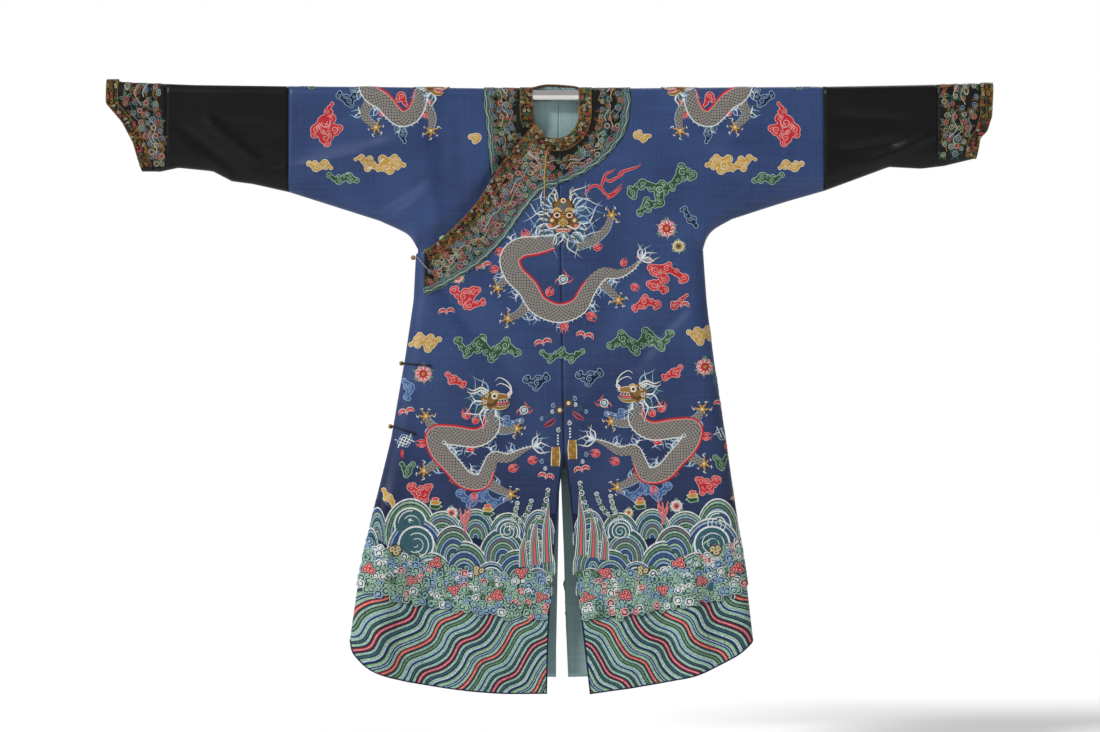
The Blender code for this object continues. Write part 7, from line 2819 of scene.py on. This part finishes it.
@dataclass
class Fastenings:
    """Ball buttons with ribs and a shank, twisted cord loops, and the binding of the back neck."""

    brass: bpy.types.Material
    cord: bpy.types.Material
    grey: bpy.types.Material
    brocade: bpy.types.Material
    # Columns: name, z of the ball, x and z of the loop's sewn end
    places: tuple = (("armpit", -0.372, -0.292, -0.404), ("waist", -0.615, -0.290, -0.620),
        ("hip", -0.760, -0.325, -0.776))
    radius: float = 0.0055
    cord_radius: float = 0.0013
    hook: float = 0.0025
    start: float = 0.004
    rise: float = 0.0044
    binding: float = 0.0030

    def join(self, name: str, grids: Sequence[np.ndarray], finish: bpy.types.Material) -> bpy.types.Object:
        """One closed mesh from several grids of points, its doubled places merged.

        Args:
            name: the piece's name.
            grids: grids of points.
            finish: its material.

        Returns:
            The finished piece.
        """
        faces, points, count = [], [], 0
        for grid in grids:
            rows, columns = grid.shape[:2]
            faces += grid_faces(rows, columns, count).tolist()
            points.append(grid.reshape(-1, 3))
            count += rows * columns
        piece = make_object(name, np.vstack(points), faces, finish)
        work = bmesh.new()
        work.from_mesh(piece.data)
        bmesh.ops.remove_doubles(work, verts=work.verts, dist=1e-6)
        bmesh.ops.dissolve_degenerate(work, edges=work.edges, dist=1e-7)
        bmesh.ops.recalc_face_normals(work, faces=work.faces)
        work.to_mesh(piece.data)
        work.free()
        piece.data.shade_smooth()
        return piece

    def ball(self, middle: tuple[float, float, float]) -> list[np.ndarray]:
        """A ribbed ball, r (1 - 0.05 (1 - cos(10 angle)) sin(latitude)), and a ring for its shank.

        Args:
            middle: the ball's middle.

        Returns:
            The grids of points.
        """
        fall = np.linspace(0.0, math.pi, 19)[:, None]
        angle = np.linspace(0.0, 2 * math.pi, 61)
        size = self.radius * (1.0 - 0.05 * (1.0 - np.cos(10.0 * angle)) * np.sin(fall))
        around = [size * np.sin(fall) * np.cos(angle), size * np.sin(fall) * np.sin(angle),
            size * np.cos(fall) * np.ones_like(angle)]
        turn = np.linspace(0.0, 2 * math.pi, 17)
        shank = np.stack([0.0018 * np.cos(turn) + self.radius, np.zeros_like(turn), 0.0018 * np.sin(turn)],
            axis=1)
        return [np.stack(around, axis=-1) + middle, round_cord(shank, 0.0005, 6) + middle]

    def build(self) -> None:
        """Buttons, loops and the neck's binding."""
        for name, z, loop_x, loop_z in self.places:
            edge = -float(side_distance(np.array(z), -1, 0.0))
            x = edge - CLOTH / 2 - SEAM_GAP - self.radius
            ball = self.join("ball_button_" + name, self.ball((x, 0.0, z)), self.brass)
            share = np.linspace(0.0, 1.0, 40)
            line_x = edge + self.start + (loop_x - edge - self.start) * share
            line_z = z + (loop_z - z) * share
            line_y = robe_depth(line_x, line_z, Layer.OVER) - self.rise
            front = -self.radius - SEAM_GAP - self.cord_radius
            head = [(x - self.hook, front, z), (x + self.hook, front, z)]
            path = np.vstack([smooth_curve(head + [(line_x[0], line_y[0], line_z[0])], 12)[:-1],
                              np.stack([line_x, line_y, line_z], axis=1)])
            cord = round_cord(path, self.cord_radius, 10, 3, 9.0)
            knot = np.stack([path[-1] + (0.0022 * math.cos(a), -0.0006, 0.0022 * math.sin(a))
                for a in np.linspace(0, 2 * math.pi, 15)])
            loop = self.join("cord_loop_" + name, [cord, round_cord(knot, 0.001, 8, 3, 4.0)], self.grey
                if name == "armpit" else self.cord)
            for piece, node, slot in ((ball, "button_" + name, "button_brass"),
                    (loop, "loop_" + name, "loop_cord")):
                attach(piece, "root")
                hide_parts(node)
            LOG.info("button and loop at the %s", name)
        ring = np.vstack([neck_edge(-1, 0.0), neck_edge(1, 0.0)[::-1]])
        ring = ring[ring[:, 1] > TURN]
        points, _ = cloth_place(ring[:, 0], ring[:, 1], np.full(len(ring), 0.4))
        points[:, 2] += 0.0012
        path = smooth_curve(points[::4], 150)
        bumps = 1.0 + 0.12 * np.sin(np.arange(len(path)) * 0.9)[:, None, None]
        tube = round_cord(path, self.binding, 10)
        middle = np.concatenate([path[:1], path, path[-1:]])[:, None]
        bumps = np.concatenate([bumps[:1], bumps, bumps[-1:]])
        piece = self.join("back_neck_binding", [middle + (tube - middle) * bumps], self.brocade)
        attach(piece, "root")
        LOG.info("binding of the back neck")


@dataclass
class Studio:
    """Camera at the photograph's angle, a pale floor and soft light from large lamps."""

    lens: float = 85.0
    distance: float = 5.97
    middle: tuple[float, float] = (-0.016, -0.621)
    floor_z: float = -1.60
    floor_radius: float = 60.0
    ambient: float = 0.44

    def camera(self) -> None:
        """A level camera that looks along +Y."""
        data = bpy.data.cameras.new("photo camera")
        data.lens = self.lens
        data.clip_end = 200.0
        camera = bpy.data.objects.new("photo camera", data)
        camera.location = (self.middle[0], -self.distance, self.middle[1])
        camera.rotation_euler = (math.pi / 2, 0.0, 0.0)
        bpy.context.scene.collection.objects.link(camera)
        bpy.context.scene.camera = camera

    def sun(self, name: str, way: tuple[float, float, float], strength: float, angle: float) -> None:
        """A broad distant lamp.

        Args:
            name: its name.
            way: the direction that its light travels.
            strength: its light on a facing surface.
            angle: its apparent width in degrees; wide ones cast soft shadows.
        """
        data = bpy.data.lights.new(name, "SUN")
        data.energy, data.angle = strength, math.radians(angle)
        lamp = bpy.data.objects.new(name, data)
        lamp.rotation_euler = Vector(way).to_track_quat("-Z", "Y").to_euler()
        bpy.context.scene.collection.objects.link(lamp)

    def floor(self) -> None:
        """A round pale floor."""
        angle = np.linspace(0.0, 2 * math.pi, 97)[:-1]
        radius = np.array([0.0, 1.0, 4.0, 12.0, self.floor_radius])[:, None]
        x, y = radius * np.cos(angle), radius * np.sin(angle)
        points = np.stack([x, y, np.full_like(x, self.floor_z)], axis=-1)
        ring = np.concatenate([points, points[:, :1]], axis=1)
        faces = grid_faces(*ring.shape[:2]).tolist()
        material, wiring, shader = principled("pale floor", 0.8)
        place = wiring.node("TexCoord").outputs["Object"]
        tone = wiring.node("MapRange", {"Value": wiring.noise(place, 1.5, 3.0), "To Min": 0.88,
            "To Max": 0.91})
        grey = wiring.node("CombineColor")
        for socket in grey.inputs:
            wiring.feed(socket, tone.outputs[0])
        wiring.feed(shader.inputs["Base Color"], grey.outputs[0])
        floor = make_object("floor", ring, faces, material)

    def world(self) -> None:
        """A white surrounding: bright to the camera and softer as light."""
        world = bpy.data.worlds.new("studio")
        world.use_nodes = True
        wiring = Wiring(world.node_tree)
        background = world.node_tree.nodes["Background"]
        background.inputs["Color"].default_value = (1.0, 1.0, 1.0, 1.0)
        seen = wiring.node("LightPath").outputs["Is Camera Ray"]
        wiring.feed(background.inputs["Strength"], wiring.math("MULTIPLY_ADD", seen, 1.0 - self.ambient,
            self.ambient))
        bpy.context.scene.world = world
        bpy.context.scene.view_settings.view_transform = "Standard"

    def build(self) -> None:
        """Sets up the whole studio."""
        self.camera()
        self.floor()
        self.world()
        self.sun("key", (0.70, 0.62, -0.70), 2.7, 10.0)
        self.sun("rear", (-0.35, -0.70, -0.80), 0.9, 30.0)


def main() -> None:
    """Builds and dresses the robe piece by piece."""
    logging.basicConfig(level=logging.INFO, format="%(message)s")
    # The blue silk's last value is painted shade that darkens it towards the hem
    blue = WovenSilk("blue silk", (46, 69, 113), (26, 43, 82), 0.42, 0.03, 0.0009, 0.5, 0.25, 0.3,
        0.8).make()
    black = WovenSilk("black silk", (10, 10, 11), (5, 5, 6), 0.36, 0.0, 0.0009, 0.3, 0.2, 0.2).make()
    satin = WovenSilk("black satin", (16, 15, 15), (9, 8, 9), 0.4, 0.0, 0.0006, 0.2, 0.2, 0.2).make()
    brocade = WovenSilk("brocade ground", (26, 21, 16), (14, 12, 10), 0.45, 0.02, 0.0006, 0.3).make()
    lining = WovenSilk("pale lining", (146, 170, 170), (120, 146, 148), 0.55, 0.05, 0.0008, 0.5).make()
    chrome = Metal("polished rod", (214, 212, 208), 0.14).make()
    thread = Thread("embroidery thread").make()
    body = SilkBody(blue, lining)
    for side in (1, -1):
        body.half(side)
        sleeve = Sleeve(side, black, satin, brocade, lining)
        sleeve.build()
        sleeve.edging()
    body.overlap()
    collar = Collar(satin, brocade, lining)
    collar.build()
    Embroidery(
        thread, Scales("dragon scales", (170, 160, 138), (34, 40, 70), 0.0088).make(),
        SeaStripes("water stripes").make(), body, collar
    ).build()
    Fastenings(
        Metal("button brass", (150, 112, 62), 0.38).make(), Cord("dark cord", (40, 38, 40)).make(),
        Cord("grey cord", (150, 148, 142)).make(), Cord("brocade binding", (92, 70, 40), 260.0).make(),
    ).build()
    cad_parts["rod"].material_slots[0].material = chrome
    Studio().build()


if __name__ == "__main__":
    main()
